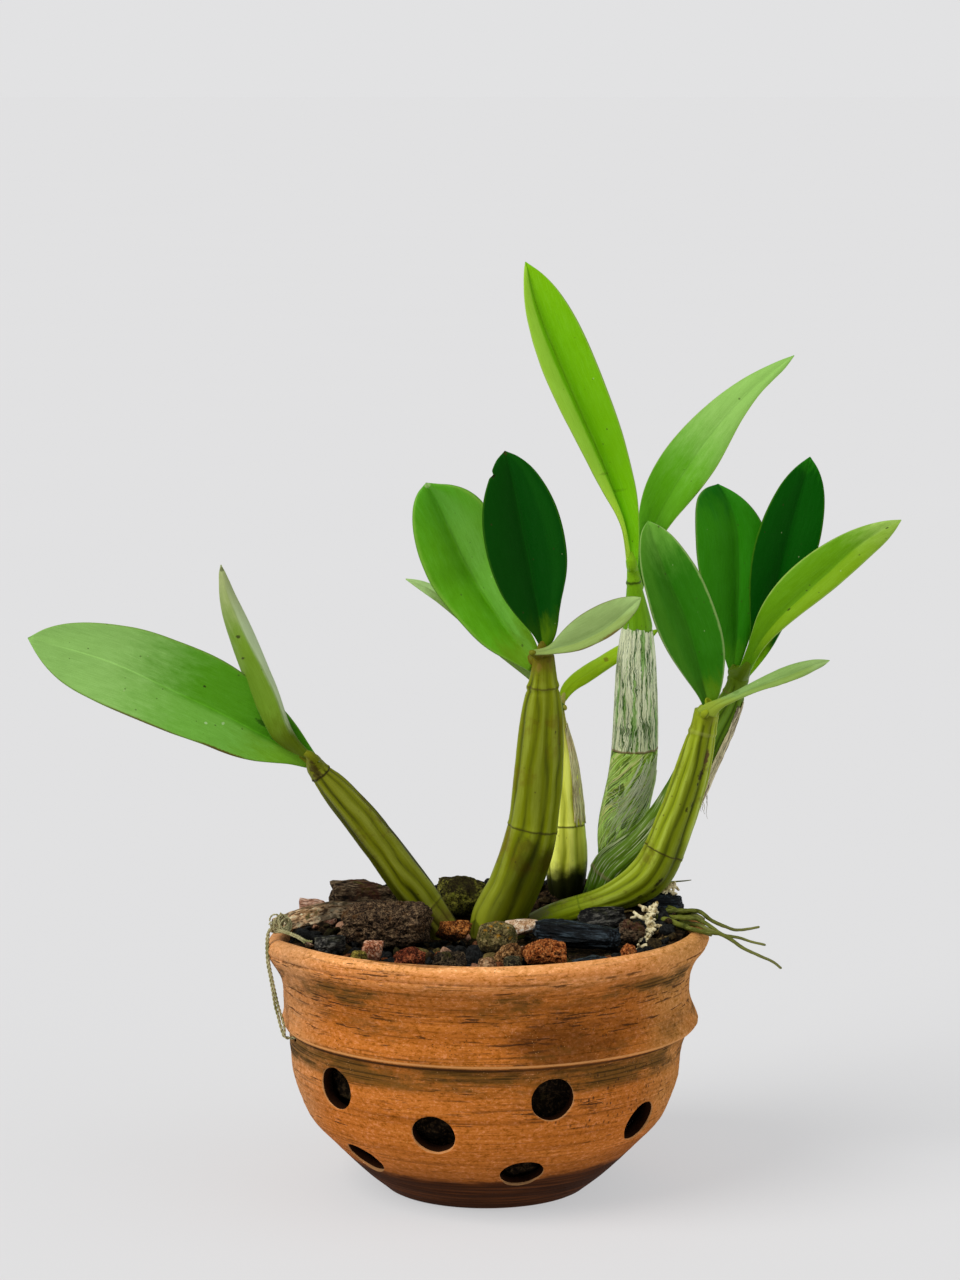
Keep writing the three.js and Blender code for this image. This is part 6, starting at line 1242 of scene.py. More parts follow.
o = bulb("pseudobulb_3_rear", b3, ribs=7, amp=0.12, seed=3, rings=((0.42, 0.008, 0.3),), twist=0.1,
         tops=(("leaf_7_back_right", 0.6, 1.5, 0.85), ("leaf_6_back_left", 0.5, 1.1, 0.8)))
piece(o, "bulb", "pseudobulb_3_rear")
b4 = bulb_material("bulb_4", lin(116, 170, 18), lin(70, 124, 4), lin(60, 84, 14), lin(132, 184, 20), 4.0,
                   rings=((0.955, 0.006, lin(60, 84, 6), 0.85),), gloss=0.4, high_at=0.86)
o = bulb("pseudobulb_4_tall", b4, ribs=10, amp=0.05, seed=4, twist=0.2, shrink=(0.18, 0.82, 0.9), rings=((0.955, 0.007, 0.45),),
         rib_fade=(0.1, 0.7), tops=(("leaf_8_tall_left", 0.8, 2.6, 1.0), ("leaf_9_tall_right", 0.5, 1.8, 0.9)))
piece(o, "bulb", "pseudobulb_4_tall")
b5 = bulb_material("bulb_5", lin(88, 122, 18), lin(36, 64, 0), lin(84, 124, 12), lin(84, 108, 8), 5.0,
                   rings=((0.14, 0.008, lin(150, 130, 100), 0.5), (0.93, 0.006, lin(100, 92, 40), 0.5)),
                   silver=(lin(206, 214, 170), 0.1, 0.5, 0.8), patches=((lin(44, 54, 10), 0.56, 0.7, 0.5, 60.0),), gloss=0.42,
                   dark=(0.07, 0.8), painted_shade=((0.70, 0.84, 0.6, 0.4, 0.8),))
o = bulb("pseudobulb_5_right_rear", b5, ribs=9, amp=0.13, seed=5, rings=((0.14, 0.01, 0.35), (0.93, 0.007, 0.3)), twist=0.25,
         tops=(("leaf_10_right_rear", 0.7, 2.4, 1.0), ("leaf_11_right_dark", 0.6, 2.2, 1.0), ("leaf_12_right_long", 0.8, 2.8, 1.0)))
piece(o, "bulb", "pseudobulb_5_right_rear")
SCAR = lin(96, 72, 44)
b6 = bulb_material("bulb_6", lin(142, 158, 26), lin(66, 78, 0), lin(138, 158, 10), lin(142, 158, 26), 6.0,
                   rings=((0.515, 0.004, lin(60, 52, 16), 0.85), (0.165, 0.005, lin(110, 130, 10), 0.9), (0.93, 0.01, lin(172, 178, 96), 0.2)),
                   patches=((lin(88, 68, 20), 0.56, 0.68, 0.5, 70.0), (lin(176, 170, 90), 0.62, 0.72, 0.35, 52.0)), gloss=0.4,
                   marks=((0.855, 0.86, 0.035, 0.03, SCAR, 0.95), (0.80, 0.84, 0.018, 0.03, lin(60, 44, 24), 0.9),
                          (0.77, 0.83, 0.008, 0.012, DARK, 0.9), (0.70, 0.84, 0.012, 0.014, DARK, 0.8), (0.68, 0.80, 0.01, 0.014, DARK, 0.8),
                          (0.43, 0.83, 0.02, 0.022, DARK, 0.9), (0.40, 0.86, 0.014, 0.018, DARK, 0.8), (0.36, 0.82, 0.012, 0.016, DARK, 0.8),
                          (0.03, 0.6, 0.05, 0.16, lin(120, 116, 84), 0.7)),
                   painted_shade=((0.80, 0.90, 0.62, 0.5, 0.75),), band=((0.79, 0.1, 0.22, 0.32, 0.8),))
o = bulb("pseudobulb_6_front", b6, ribs=10, amp=0.14, seed=6, rings=((0.515, 0.005, 0.3), (0.93, 0.01, 0.4)), twist=0.2,
         rib_fade=(0.28, 0.95), tops=(("leaf_13_front_green", 0.7, 2.6, 1.0), ("leaf_14_front_small", 0.7, 2.2, 1.0)))
piece(o, "bulb", "pseudobulb_6_front")


# ------------------------------------------------------------------- sheaths
def sheath(name, bulb_name, s0, s1, a0, a1, off, seed, torn=0.02, thick=0.25, flare=0.0, n_s=110, n_a=110,
           slits=0, crumple=0.35, low_torn=0.004, slant=(0.0, 0.0)):
    """A dry wrap over part of a pseudobulb, between angles in degrees (-90
    faces the viewer), with torn ends."""
    st = spline(soften(np.array(BULBS[bulb_name], float), 0.6), 180)
    c, r = st[:, :3], st[:, 3]
    t, across, away = frames(c)
    ss = np.linspace(0, 1, len(c))
    whole = a1 - a0 >= 360
    th = np.radians(np.linspace(a0, a1, n_a + 1)[: n_a if whole else n_a + 1])
    m = len(th)
    q = np.stack([np.cos(th) * 2.5, np.sin(th) * 2.5, np.full(m, seed * 3.3)], 1)
    top = s1 + torn * (noise(q, 1.0, seed) + 0.7 * noise(q, 3.7, seed + 1)) + slant[1] * np.cos(th)
    low = s0 + low_torn * noise(q, 2.2, seed + 2) + slant[0] * np.cos(th)
    f = np.linspace(0, 1, n_s)[:, None]
    S = low[None] + (top - low)[None] * f
    C = np.stack([np.interp(S, ss, c[:, k]) for k in range(3)], -1)
    AX = np.stack([np.interp(S, ss, across[:, k]) for k in range(3)], -1)
    AW = np.stack([np.interp(S, ss, away[:, k]) for k in range(3)], -1)
    R = np.interp(S, ss, r)
    TH = np.repeat(th[None], n_s, 0)
    g = np.stack([np.cos(TH) * 3, np.sin(TH) * 3, S * 12 + seed], -1).reshape(-1, 3)
    cr = crumple * (fbm(g, 0.9, 3, 0.6, seed).reshape(n_s, m))
    g2 = np.stack([np.cos(TH) * 9, np.sin(TH) * 9, S * 9 + seed], -1).reshape(-1, 3)
    cr = cr + 0.35 * crumple * fbm(g2, 1.0, 3, 0.6, seed + 5).reshape(n_s, m)
    ends = np.exp(-((1 - f) / 0.04) ** 2)
    rad = R + off + cr + flare * ends
    if not whole:
        edge = np.minimum(np.abs(np.degrees(TH) - a0), np.abs(np.degrees(TH) - a1))
        rad = rad + 0.5 * np.exp(-(edge / 6.0) ** 2) * (0.6 + cr)
    outer = C + (np.cos(TH) * rad)[..., None] * AX + (np.sin(TH) * rad)[..., None] * AW
    rin = rad - thick
    inner = C + (np.cos(TH) * rin)[..., None] * AX + (np.sin(TH) * rin)[..., None] * AW
    v = np.concatenate([outer.reshape(-1, 3), inner.reshape(-1, 3)])
    k = n_s * m
    quads = [grid(n_s, m, wrap_v=whole), grid(n_s, m, wrap_v=whole, offset=k, flip=True)]
    j = np.arange(m if whole else m - 1)
    jn = (j + 1) % m
    quads.append(np.stack([j, j + k, jn + k, jn], 1))
    e = (n_s - 1) * m
    quads.append(np.stack([jn + e, jn + e + k, j + e + k, j + e], 1))
    if not whole:
        i = np.arange(n_s - 1) * m
        quads.append(np.stack([i, i + m, i + m + k, i + k], 1))
        i = i + m - 1
        quads.append(np.stack([i + k, i + m + k, i + m, i], 1))
    quads = np.concatenate(quads)
    length = np.linalg.norm(np.diff(c, axis=0), axis=1).sum()
    mm = np.stack([S * length, TH * 9.0, np.zeros_like(S)], -1).reshape(-1, 3)
    fe = np.repeat(f, m, 1).reshape(-1)
    att = {"bmm": np.concatenate([mm, mm + (0, 0, 4)]), "end": np.r_[fe, fe]}
    return v, quads, att


def paper(name, tone, crack, green, seed, k_green=0.7, crack_k=0.85, diag=0.0, brown=None, dusk=None, left=None, across=3.0,
          cover=0.55, hem=None, brown_k=0.85):
    m = Mat(name, 0.6, Specular_IOR_Level=0.2)
    mm = m.attr("bmm", True)
    a, b, _ = m.xyz(mm)
    end = m.attr("end")
    p = m.coord()
    b2 = m.math("ADD", b, m.math("MULTIPLY", a, diag))
    wav = m.math("MULTIPLY", m.math("SUBTRACT", m.noise(m.comb(m.math("MULTIPLY", a, 0.16), m.math("MULTIPLY", b2, 0.25), seed), 1.0, 3, 0.6), 0.5), 3.4)
    bw = m.math("ADD", b2, wav)
    hair = m.noise(m.comb(m.math("MULTIPLY", a, 0.045), m.math("MULTIPLY", bw, across), seed), 1.0, 4, 0.7)
    wide = m.noise(m.comb(m.math("MULTIPLY", a, 0.028), m.math("MULTIPLY", bw, 0.5), seed + 9.0), 1.0, 3, 0.5)
    lines = m.noise(m.comb(m.math("MULTIPLY", a, 0.034), m.math("MULTIPLY", bw, 1.0), seed + 4.0), 1.0, 2, 0.5)
    col = m.mix(m.step(hair, 0.3, 0.7), m.value(tone, 0.7, 1.25), m.value(tone, 1.2, 0.7))
    gz = m.step(wide, cover - 0.04, cover + 0.03)
    gtone = m.mix(m.step(hair, 0.36, 0.62), m.value(green, 0.72), m.value(green, 1.5, 0.75))
    col = m.mix(m.math("MULTIPLY", gz, k_green), col, gtone)
    if left is not None:
        # the side turned to the left keeps more of its green
        lz = m.math("MULTIPLY", m.step(m.math("ADD", b, m.math("MULTIPLY", m.math("SUBTRACT", wide, 0.5), 10.0)), left[1], left[2]), left[3])
        col = m.mix(lz, col, m.mix(m.step(hair, 0.36, 0.66), left[0], m.value(left[0], 1.5, 0.8)))
    line = m.step(m.math("ABSOLUTE", m.math("SUBTRACT", lines, 0.5)), 0.05, 0.02)
    line = m.math("MULTIPLY", line, m.step(m.noise(m.scale(mm, (0.06, 0.3, 0)), 1.0, 3, 0.6), 0.40, 0.5))
    col = m.mix(m.math("MULTIPLY", line, crack_k), col, crack)
    line2 = m.step(m.math("ABSOLUTE", m.math("SUBTRACT", hair, 0.40)), 0.03, 0.01)
    col = m.mix(m.math("MULTIPLY", line2, crack_k * 0.35), col, crack)
    if brown is not None:
        col = m.mix(m.step(m.noise(p, 80, 4, 0.65), 0.48, 0.62, 0.0, brown_k), col, brown)
    if hem is not None:
        col = m.mix(m.step(end, hem[0], hem[0] * 0.5, 0.0, hem[2]), col, hem[1])
    if dusk is not None:
        col = m.mix(m.step(m.math("ADD", end, m.math("MULTIPLY", m.math("SUBTRACT", wide, 0.5), 0.25)), dusk[0], 0.0, 0.0, 0.9), col, dusk[1])
    h = m.math("SUBTRACT", m.math("MULTIPLY", hair, 0.5), m.math("MULTIPLY", line, 0.7))
    return m.end(col, None, m.bump(h, 0.0006, 0.8))


SILVER = lin(248, 254, 206)
mat_s4 = paper("sheath_silver", SILVER, lin(50, 98, 8), lin(124, 184, 40), 3.0, k_green=0.9, crack_k=0.95, cover=0.57, across=2.2,
               left=(lin(176, 206, 108), 7.0, 14.0, 0.35), hem=(0.022, lin(150, 128, 76), 0.85))
v, q, a = sheath("u", "pseudobulb_4_tall", 0.470, 0.832, -255, 105, -0.15, 3, torn=0.012, slant=(0.005, -0.018), n_a=110, n_s=100, crumple=0.2)
o = join("sheath_4_upper_paper", [(v, q, None, a, 0)], [mat_s4])
piece(o, "dry_sheath", "sheath_4_upper")
mat_s4l = paper("sheath_fibre", lin(228, 238, 132), lin(44, 80, 2), lin(164, 212, 8), 5.0, k_green=0.96, diag=-0.75, cover=0.44,
                left=(lin(200, 236, 16), 3.0, 9.0, 0.85), dusk=(0.11, lin(56, 48, 28)), across=1.8)
fibre_m = Mat("sheath_thread", 0.6, Specular_IOR_Level=0.2)
fa, fb, _ = fibre_m.xyz(fibre_m.attr("bmm", True))
fn = fibre_m.noise(fibre_m.comb(fa, fb, 1.0), 0.9, 4, 0.6)
fibre_m.end(fibre_m.ramp(fn, [(0.3, lin(176, 194, 136)), (0.5, lin(232, 240, 200)), (0.7, lin(255, 255, 240))]), None, fibre_m.bump(fn, 0.0002, 0.5))
v, q, a = sheath("l", "pseudobulb_4_tall", 0.15, 0.468, -255, 105, -0.2, 4, torn=0.006, n_a=100, n_s=80, crumple=0.3, slant=(0.0, 0.005))
parts = [(v, q, None, a, 0)]


def on_bulb(name, s, th_deg, off):
    st = spline(soften(np.array(BULBS[name], float), 0.6), 180)
    c, r = st[:, :3], st[:, 3]
    t, across, away = frames(c)
    ss = np.linspace(0, 1, len(c))
    g = lambda arr: np.array([np.interp(s, ss, arr[:, k]) for k in range(3)])
    a = math.radians(th_deg)
    return g(c) + (np.interp(s, ss, r) + off) * (math.cos(a) * g(across) + math.sin(a) * g(away))


def fibre(points, r, seed, slot_=0):
    v, q, t, th, s = tube(spline(np.array(points), 14), np.full(14, r) * (1 - 0.6 * np.linspace(0, 1, 14)), 5, None, (0.05, 0.05))
    return (v, q, t, {"bmm": np.stack([s * 12 + seed, th, s * 0], 1), "end": np.full(len(s), 0.9)}, slot_)


rr = np.random.default_rng(8)
for k in range(64):
    s0 = rr.uniform(0.36, 0.468)
    a0 = rr.uniform(-84, -8)
    ln = rr.uniform(0.08, 0.26)
    drift = -ln * rr.uniform(200, 420)
    pts = [on_bulb("pseudobulb_4_tall", s0 - ln * f, a0 + drift * f, 0.15 + 0.5 * math.sin(math.pi * f) * rr.uniform(0.2, 1.0)) for f in (0, 0.3, 0.6, 1.0)]
    parts.append(fibre(pts, rr.uniform(0.09, 0.17), rr.uniform(0, 50), 1))
for k in range(9):
    base = on_bulb("pseudobulb_4_tall", 0.30 + 0.05 * rr.random(), -125 + 20 * rr.random(), 0.2)
    out = rr.normal(size=3) * (3.0, 1.0, 4.0) + (-1.5, -1.5, 1.0)
    parts.append(fibre([base, base + out * 0.4, base + out * 0.8 + rr.normal(size=3), base + out], 0.14, rr.uniform(0, 50), 1))
o = join("sheath_4_lower_fibre", parts, [mat_s4l, fibre_m])
piece(o, "dry_sheath", "sheath_4_lower")
mat_s5 = paper("sheath_brown", lin(214, 200, 152), lin(50, 34, 18), lin(120, 126, 50), 7.0, k_green=0.4, brown=lin(96, 70, 42), brown_k=0.7, across=1.6)
v, q, a = sheath("r", "pseudobulb_5_right_rear", 0.50, 0.90, -58, 100, 0.5, 5, torn=0.03, low_torn=0.03, crumple=0.6, n_a=60, n_s=80)
parts = [(v, q, None, a, 0)]
for k in range(5):
    base = on_bulb("pseudobulb_5_right_rear", 0.52 + 0.06 * rr.random(), 0 + 30 * rr.random(), 0.8)
    ln = rr.uniform(3, 9) if k else 12.0
    parts.append(fibre([base, base + (0.6, 0, -ln * 0.4), base + (0.2, 0.3, -ln * 0.8), base + (0.8, 0, -ln)], 0.16, k * 7.0))
o = join("sheath_5_torn", parts, [mat_s5])
piece(o, "dry_sheath", "sheath_5")
mat_s3 = paper("sheath_tan", lin(255, 244, 184), lin(104, 66, 34), lin(222, 210, 130), 9.0, k_green=0.3, brown=lin(226, 176, 112), across=0.9, brown_k=0.3, crack_k=0.5, cover=0.62)
v, q, a = sheath("t", "pseudobulb_3_rear", 0.44, 0.9, -70, 80, 0.35, 6, torn=0.04, low_torn=0.05, crumple=0.6, n_a=60, n_s=80)
o = join("sheath_3_dry", [(v, q, None, a, 0)], [mat_s3])
piece(o, "dry_sheath", "sheath_3")


# --------------------------------------------------------------------- roots
ROOTS = [
    ("aerial_root_1", 1.5, [[76, 16, 122.4], [78.4, 14, 123.2], [84.8, 13, 123.6], [90.1, 10, 124.5], [95.4, 6, 125.3], [98.4, 3, 125], [101.5, 1, 122.9], [105.5, -1, 121], [109.9, -3, 119.6], [114, -4, 118.6], [119.4, -5, 119.4], [123.8, -6, 120.5]]),
    ("aerial_root_2", 1.45, [[78, 7, 121.8], [81.2, 4, 122.7], [85.5, -1, 123.8], [89.8, -6, 124.6], [94.5, -10, 125.3], [98.5, -13, 124.1], [102.4, -16, 122.2], [106.3, -18, 119.8], [110.8, -19, 118.9], [115.2, -20, 118.2], [120.1, -21, 116.8], [125.5, -22, 115.7]]),
    ("aerial_root_3", 1.6, [[75, 9, 122.6], [78, 4, 123], [82.2, -4, 123.3], [87.2, -12, 122.9], [92.6, -22, 122.8], [97.6, -28, 122.9], [101.1, -30, 122.9], [105.1, -31, 122.5], [109.1, -31, 120.2], [113.6, -31, 117.2], [118.6, -31, 114.5], [123.5, -31, 112.2], [128.5, -31, 109.9], [132.1, -31, 107.1]]),
    ("aerial_root_4", 0.6, [[82, 30, 133.4], [85.1, 31, 133.7], [87.9, 32, 133.7], [91.2, 33, 133.7], [95, 34, 134]]),
]
root_m = Mat("root_green", 0.55, Specular_IOR_Level=0.15)
rs = root_m.attr("rst", True)
ru, rv, _ = root_m.xyz(rs)
rp = root_m.coord()
rn = root_m.noise(root_m.comb(root_m.math("MULTIPLY", ru, 0.25), root_m.math("MULTIPLY", rv, 2.0), 0.0), 1.0, 4, 0.65)
rw = root_m.noise(rp, 110, 4, 0.6)
rc = root_m.mix(root_m.step(rw, 0.35, 0.65), lin(58, 64, 10), lin(104, 110, 34))
rc = root_m.mix(root_m.step(rn, 0.52, 0.74, 0, 0.6), rc, lin(176, 184, 104))
rc = root_m.mix(root_m.step(rn, 0.46, 0.26, 0, 0.8), rc, lin(52, 62, 14))
tipk = root_m.attr("tip")
rc = root_m.mix(root_m.step(tipk, 0.55, 1.0, 0, 0.55), rc, lin(132, 132, 78))
rc = root_m.mix(root_m.step(tipk, 0.2, 0.0, 0, 0.7), rc, lin(64, 78, 18))
rc = root_m.mix(root_m.math("MULTIPLY", root_m.step(root_m.cells(rp, 420), 0.2, 0.1), root_m.step(rw, 0.5, 0.6)), rc, lin(78, 64, 30))
root_m.end(rc, None, root_m.bump(rn, 0.0004, 0.7))


def strand(path, r0, r1, seed, sides=18, step=0.8, knobs=0.12, bend=0.0, power=1.0):
    p = np.array(path, float)
    length = np.linalg.norm(np.diff(p, axis=0), axis=1).sum()
    n = max(8, int(length / step))
    c = spline(p, n)
    if bend:
        q = np.stack([np.linspace(0, length / 7, n), np.full(n, seed * 1.3), np.zeros(n)], 1)
        fade = np.sin(np.linspace(0, np.pi, n))[:, None]
        c = c + bend * fade * np.stack([noise(q, 1, 1), noise(q, 1, 2), noise(q, 1, 3)], 1)
    u = np.linspace(0, 1, n)
    r = r0 + (r1 - r0) * u**power

    def shape(TH, S, c):
        q = np.stack([np.cos(TH) * 0.8, np.sin(TH) * 0.8, S * length / 3.2 + seed * 5], -1).reshape(-1, 3)
        return 1 + knobs * 2 * fbm(q, 1.0, 3, 0.6, seed).reshape(TH.shape), 0.0

    v, q, t, th, s = tube(c, r, sides, shape, (r0 * 0.5, r1 * 0.9))
    att = {"rst": np.stack([s * length, np.abs((th / np.pi) - 1) * 3.2 * r0, np.full(len(s), seed * 1.0)], 1), "tip": s}
    return v, q, t, att, 0


# shorter strands that lie in the bundle on the lip and end beside the others
BESIDE = {
    "aerial_root_1": [[[76, 20, 121.5], [80, 17, 122.0], [85, 14, 121.4], [90, 9, 121.8], [94.5, 4, 122.6], [98.5, -1, 122.0], [101, -5, 121.2]]],
    "aerial_root_2": [[[77, 12, 120.4], [81, 8, 120.6], [86, 3, 121.2], [91, -4, 121.6], [95.5, -9, 122.2], [99, -15, 122.0], [103, -20, 120.9]],
                      [[78, 2, 119.8], [83, -2, 120.4], [88, -8, 121.0], [92.5, -14, 121.3], [97, -21, 121.6], [101, -25, 121.0]]],
    "aerial_root_3": [[[80, 26, 121.5], [84, 22, 123.2], [88, 18, 122.8], [92, 13, 122.6], [96, 7, 123.0], [99, 2, 122.2]]],
}
for k, (name, r, path) in enumerate(ROOTS):
    lines = [strand(path, r, r * 0.36, k + 1, 20, 0.6, 0.12, 0.35, 0.8)]
    for j, more in enumerate(BESIDE.get(name, ())):
        lines.append(strand(more, r * 0.95, r * 0.6, k + 5 + 3 * j, 18, 0.6, 0.14, 0.4, 0.9))
    o = join(name + "_living", lines, [root_m])
    piece(o, "root", name)

dry_m = Mat("root_dry", 0.85, Specular_IOR_Level=0.05)
dp = dry_m.coord()
dn = dry_m.noise(dp, 420, 4, 0.65)
dc = dry_m.mix(dry_m.step(dn, 0.3, 0.62), lin(150, 128, 78), lin(232, 220, 180))
dc = dry_m.mix(dry_m.step(dry_m.noise(dp, 160, 3), 0.6, 0.74, 0, 0.7), dc, lin(118, 104, 54))
dry_m.end(dc, None, dry_m.bump(dn, 0.0005, 0.8))
DRY = {
    "dry_roots_front": [1.1, [
        [[77.2, 8, 127.7], [76.1, 2, 125.7], [74.5, -4, 123.3], [74.5, -14, 120.8], [72.8, -22, 118.9], [73.4, -30, 117], [74.1, -36, 116]],
        [[76.1, 2, 125.7], [72.5, 4, 126.7], [69.8, 6, 128.1]], [[74.5, -4, 123.3], [70.5, -2, 124.2], [67.4, 2, 125.7]],
        [[74.5, -14, 120.8], [71.4, -14, 120.8], [69.6, -12, 121.8]], [[72.8, -22, 118.9], [69.7, -22, 118.4], [68.4, -20, 118.9]],
        [[73.4, -30, 117], [70.3, -30, 117], [67.5, -32, 115.6]], [[74.5, -14, 120.8], [77.3, -12, 122.2], [79.6, -12, 121.8]]]],
    "dry_roots_rear": [0.9, [
        [[81.1, 24, 130], [83.5, 25, 131.2], [85.3, 26, 132.8], [86.3, 27, 134]], [[83.5, 25, 131.2], [85.8, 25, 130.2], [88.1, 26, 129.1]],
        [[85.3, 26, 132.8], [87.7, 27, 132.1], [89.1, 28, 130.5]]]],
}
for name, (r, lines) in DRY.items():
    rr = np.random.default_rng(len(name))
    parts = [strand(l, r, r * 0.55, 3 + i, 12, 0.5, 0.3, 0.5) for i, l in enumerate(lines)]
    count = 60 if name.endswith("front") else 18
    for i in range(count):
        l = np.array(lines[0 if rr.random() < 0.75 else rr.integers(len(lines))], float)
        at = spline(l, 40)[rr.integers(2, 38)]
        d = rr.normal(size=3) * (1, 0.8, 0.8)
        d /= np.linalg.norm(d)
        ln = rr.uniform(1.0, 2.4)
        mid = at + d * ln * 0.55 + rr.normal(size=3) * 0.5
        end = at + d * ln + rr.normal(size=3) * 0.9
        parts.append(strand([at, mid, end], r * rr.uniform(0.55, 0.8), r * rr.uniform(0.5, 0.8), 20 + i, 9, 0.4, 0.35))
    o = join(name + "_clump", parts, [dry_m])
    piece(o, "dry_root", name)

# ------------------------------------------------------------------- rhizome
rh_m = Mat("rhizome_bark", 0.75, Specular_IOR_Level=0.1)
hp2 = rh_m.coord()
hn = rh_m.noise(hp2, 160, 5, 0.65)
hc = rh_m.mix(rh_m.step(hn, 0.35, 0.65), lin(74, 66, 26), lin(124, 116, 52))
hc = rh_m.mix(rh_m.step(rh_m.noise(hp2, 60, 3), 0.52, 0.66, 0, 0.8), hc, lin(70, 46, 24))
rh_m.end(hc, None, rh_m.bump(hn, 0.0008, 0.8))
RHIZOME = [[-24, 19, 111], [-10, 23, 111], [4, 24, 111], [18, 27, 111], [32, 36, 111], [44, 44, 111], [52, 49, 111], [60, 54, 111]]
o = join("rhizome_stem", [strand(RHIZOME, 3.5, 3.2, 2, 40, 0.8, 0.1)], [rh_m])
piece(o, "rhizome", "rhizome")

# --------------------------------------------------------------------- twine
TWINE = [
    [-77.4, -40.0, 121.2], [-80.2, -37.0, 121.0], [-83.6, -31.0, 121.5], [-87.4, -26.0, 122.0], [-91.2, -21.5,
    122.2], [-94.5, -18.5, 122.5], [-97.0, -17.2, 121.7], [-98.5, -16.8, 118.7], [-98.8, -17.0, 113.2], [-98.4,
    -18.0, 106.5], [-97.2, -19.5, 100.4], [-96.0, -21.0, 93.8], [-94.9, -22.7, 87.8], [-93.7, -24.2, 84.0],
    [-92.1, -26.0, 78.4], [-90.2, -27.0, 74.4], [-85.0, -26.0, 74.0], [-82.5, -25.2, 74.0],
]
tw_m = Mat("twine_fibre", 0.85, Specular_IOR_Level=0.05)
tst = tw_m.attr("rst", True)
ta, tb, _ = tw_m.xyz(tst)
tn = tw_m.noise(tw_m.comb(tw_m.math("MULTIPLY", ta, 0.5), tw_m.math("MULTIPLY", tb, 5.0), 0.0), 1.0, 4, 0.7)
tcx = tw_m.mix(tw_m.step(tn, 0.32, 0.66), lin(104, 98, 56), lin(214, 206, 158))
tcx = tw_m.mix(tw_m.step(tw_m.noise(tw_m.coord(), 90, 3), 0.54, 0.68, 0, 0.6), tcx, lin(112, 116, 60))
tw_m.end(tcx, None, tw_m.bump(tn, 0.0004, 0.8))


def twist(path, r, pitch, seed, sides=8, ply=2, fray=0.0):
    """A cord of thin plies laid round one another."""
    p = np.array(path, float)
    length = np.linalg.norm(np.diff(p, axis=0), axis=1).sum()
    n = max(12, int(length / 0.52))
    c = spline(p, n)
    t, ax, aw = frames(c)
    parts = []
    for k in range(ply):
        ph = TAU * k / ply + np.linspace(0, length / pitch * TAU, n)
        line = c + r * 0.52 * (np.cos(ph)[:, None] * ax + np.sin(ph)[:, None] * aw)
        u = np.linspace(0, 1, n)
        v, q, tr, th, s = tube(line, np.full(n, r * 0.56), sides, None, (0.2, 0.2))
        parts.append((v, q, tr, {"rst": np.stack([s * length, np.abs(th / np.pi - 1) * 2, s * 0 + seed], 1), "tip": s}, 0))
    return parts


parts = twist(TWINE[:6], 0.55, 3.4, 1)
parts += twist(TWINE[4:], 0.72, 4.2, 2)
parts += twist([[-95, -19, 122.6], [-97.6, -18, 121.2], [-98.1, -17.5, 117.9], [-98.2, -18.4, 113.5], [-97.7, -20.0, 106.9], [-96.4, -22.0, 101.0], [-94.9, -23.8, 94.5], [-93.4, -25.6, 88.5], [-92.1, -26.8, 84.6], [-90.7, -28.0, 79.8], [-90.6, -27.6, 75.2]], 0.66, 3.8, 3)
parts += twist([[-95, -15, 123], [-97.8, -14.2, 121], [-98.4, -14.0, 119.0], [-98.8, -14.4, 114.5], [-98.4, -15.5, 109.6], [-97.5, -17.5, 104.1]], 0.5, 3.4, 4)
K = np.array([-92.6, -18.6, 124.6])
rr = np.random.default_rng(41)
for k in range(9):
    # turns drawn tight round the end of the bark
    rx, rz = rr.uniform(1.5, 3.0), rr.uniform(2.2, 3.8)
    off = np.array([rr.uniform(-2.4, 2.6), rr.uniform(-1.2, 1.2), rr.uniform(-1.6, 1.2)])
    lean = rr.uniform(-0.5, 0.5)
    a = np.linspace(0, TAU * 0.96, 16) + rr.uniform(0, TAU)
    loop = np.stack([np.cos(a) * rx + np.sin(a) * rz * lean, np.cos(a) * 1.3 - 0.6 * np.sin(a * 2), np.sin(a) * rz], 1) + K + off
    parts += twist(loop, 0.42, 2.8, 5 + k)
for k in range(3):
    loop = np.array([[-97.0, -16 - k, 121.4], [-94, -19.5, 121 + 0.9 * k], [-90, -21 + 0.5 * k, 121.6 + k], [-88.4, -18, 123.4 + k]])
    parts += twist(loop, 0.45, 3.0, 15 + k)
parts += twist([K + (0, 0, 2), K + (1.2, -1.5, 4.2), K + (0.2, -2.6, 5.6)], 0.4, 3.0, 20)
parts += twist([K + (-2, 0, 0), K + (-4.0, 1.5, 0.6), K + (-5.2, 3.2, -0.8)], 0.4, 3.0, 21)
parts += twist([[-95, -18.6, 121.8], [-90.6, -22.6, 121.5], [-87, -26.8, 121.2], [-83.4, -31.5, 120.6], [-80.6, -36, 119.6]], 0.5, 3.4, 22)
o = join("tie_twine_cord", parts, [tw_m])
piece(o, "twine", "tie_twine")


# --------------------------------------------------------------------- lumps
def ico(sub):
    bm = bmesh.new()
    bmesh.ops.create_icosphere(bm, subdivisions=sub, radius=1.0)
    v = np.array([x.co for x in bm.verts])
    f = np.array([[x.index for x in g.verts] for g in bm.faces])
    bm.free()
    return v, f


_ICO = {}


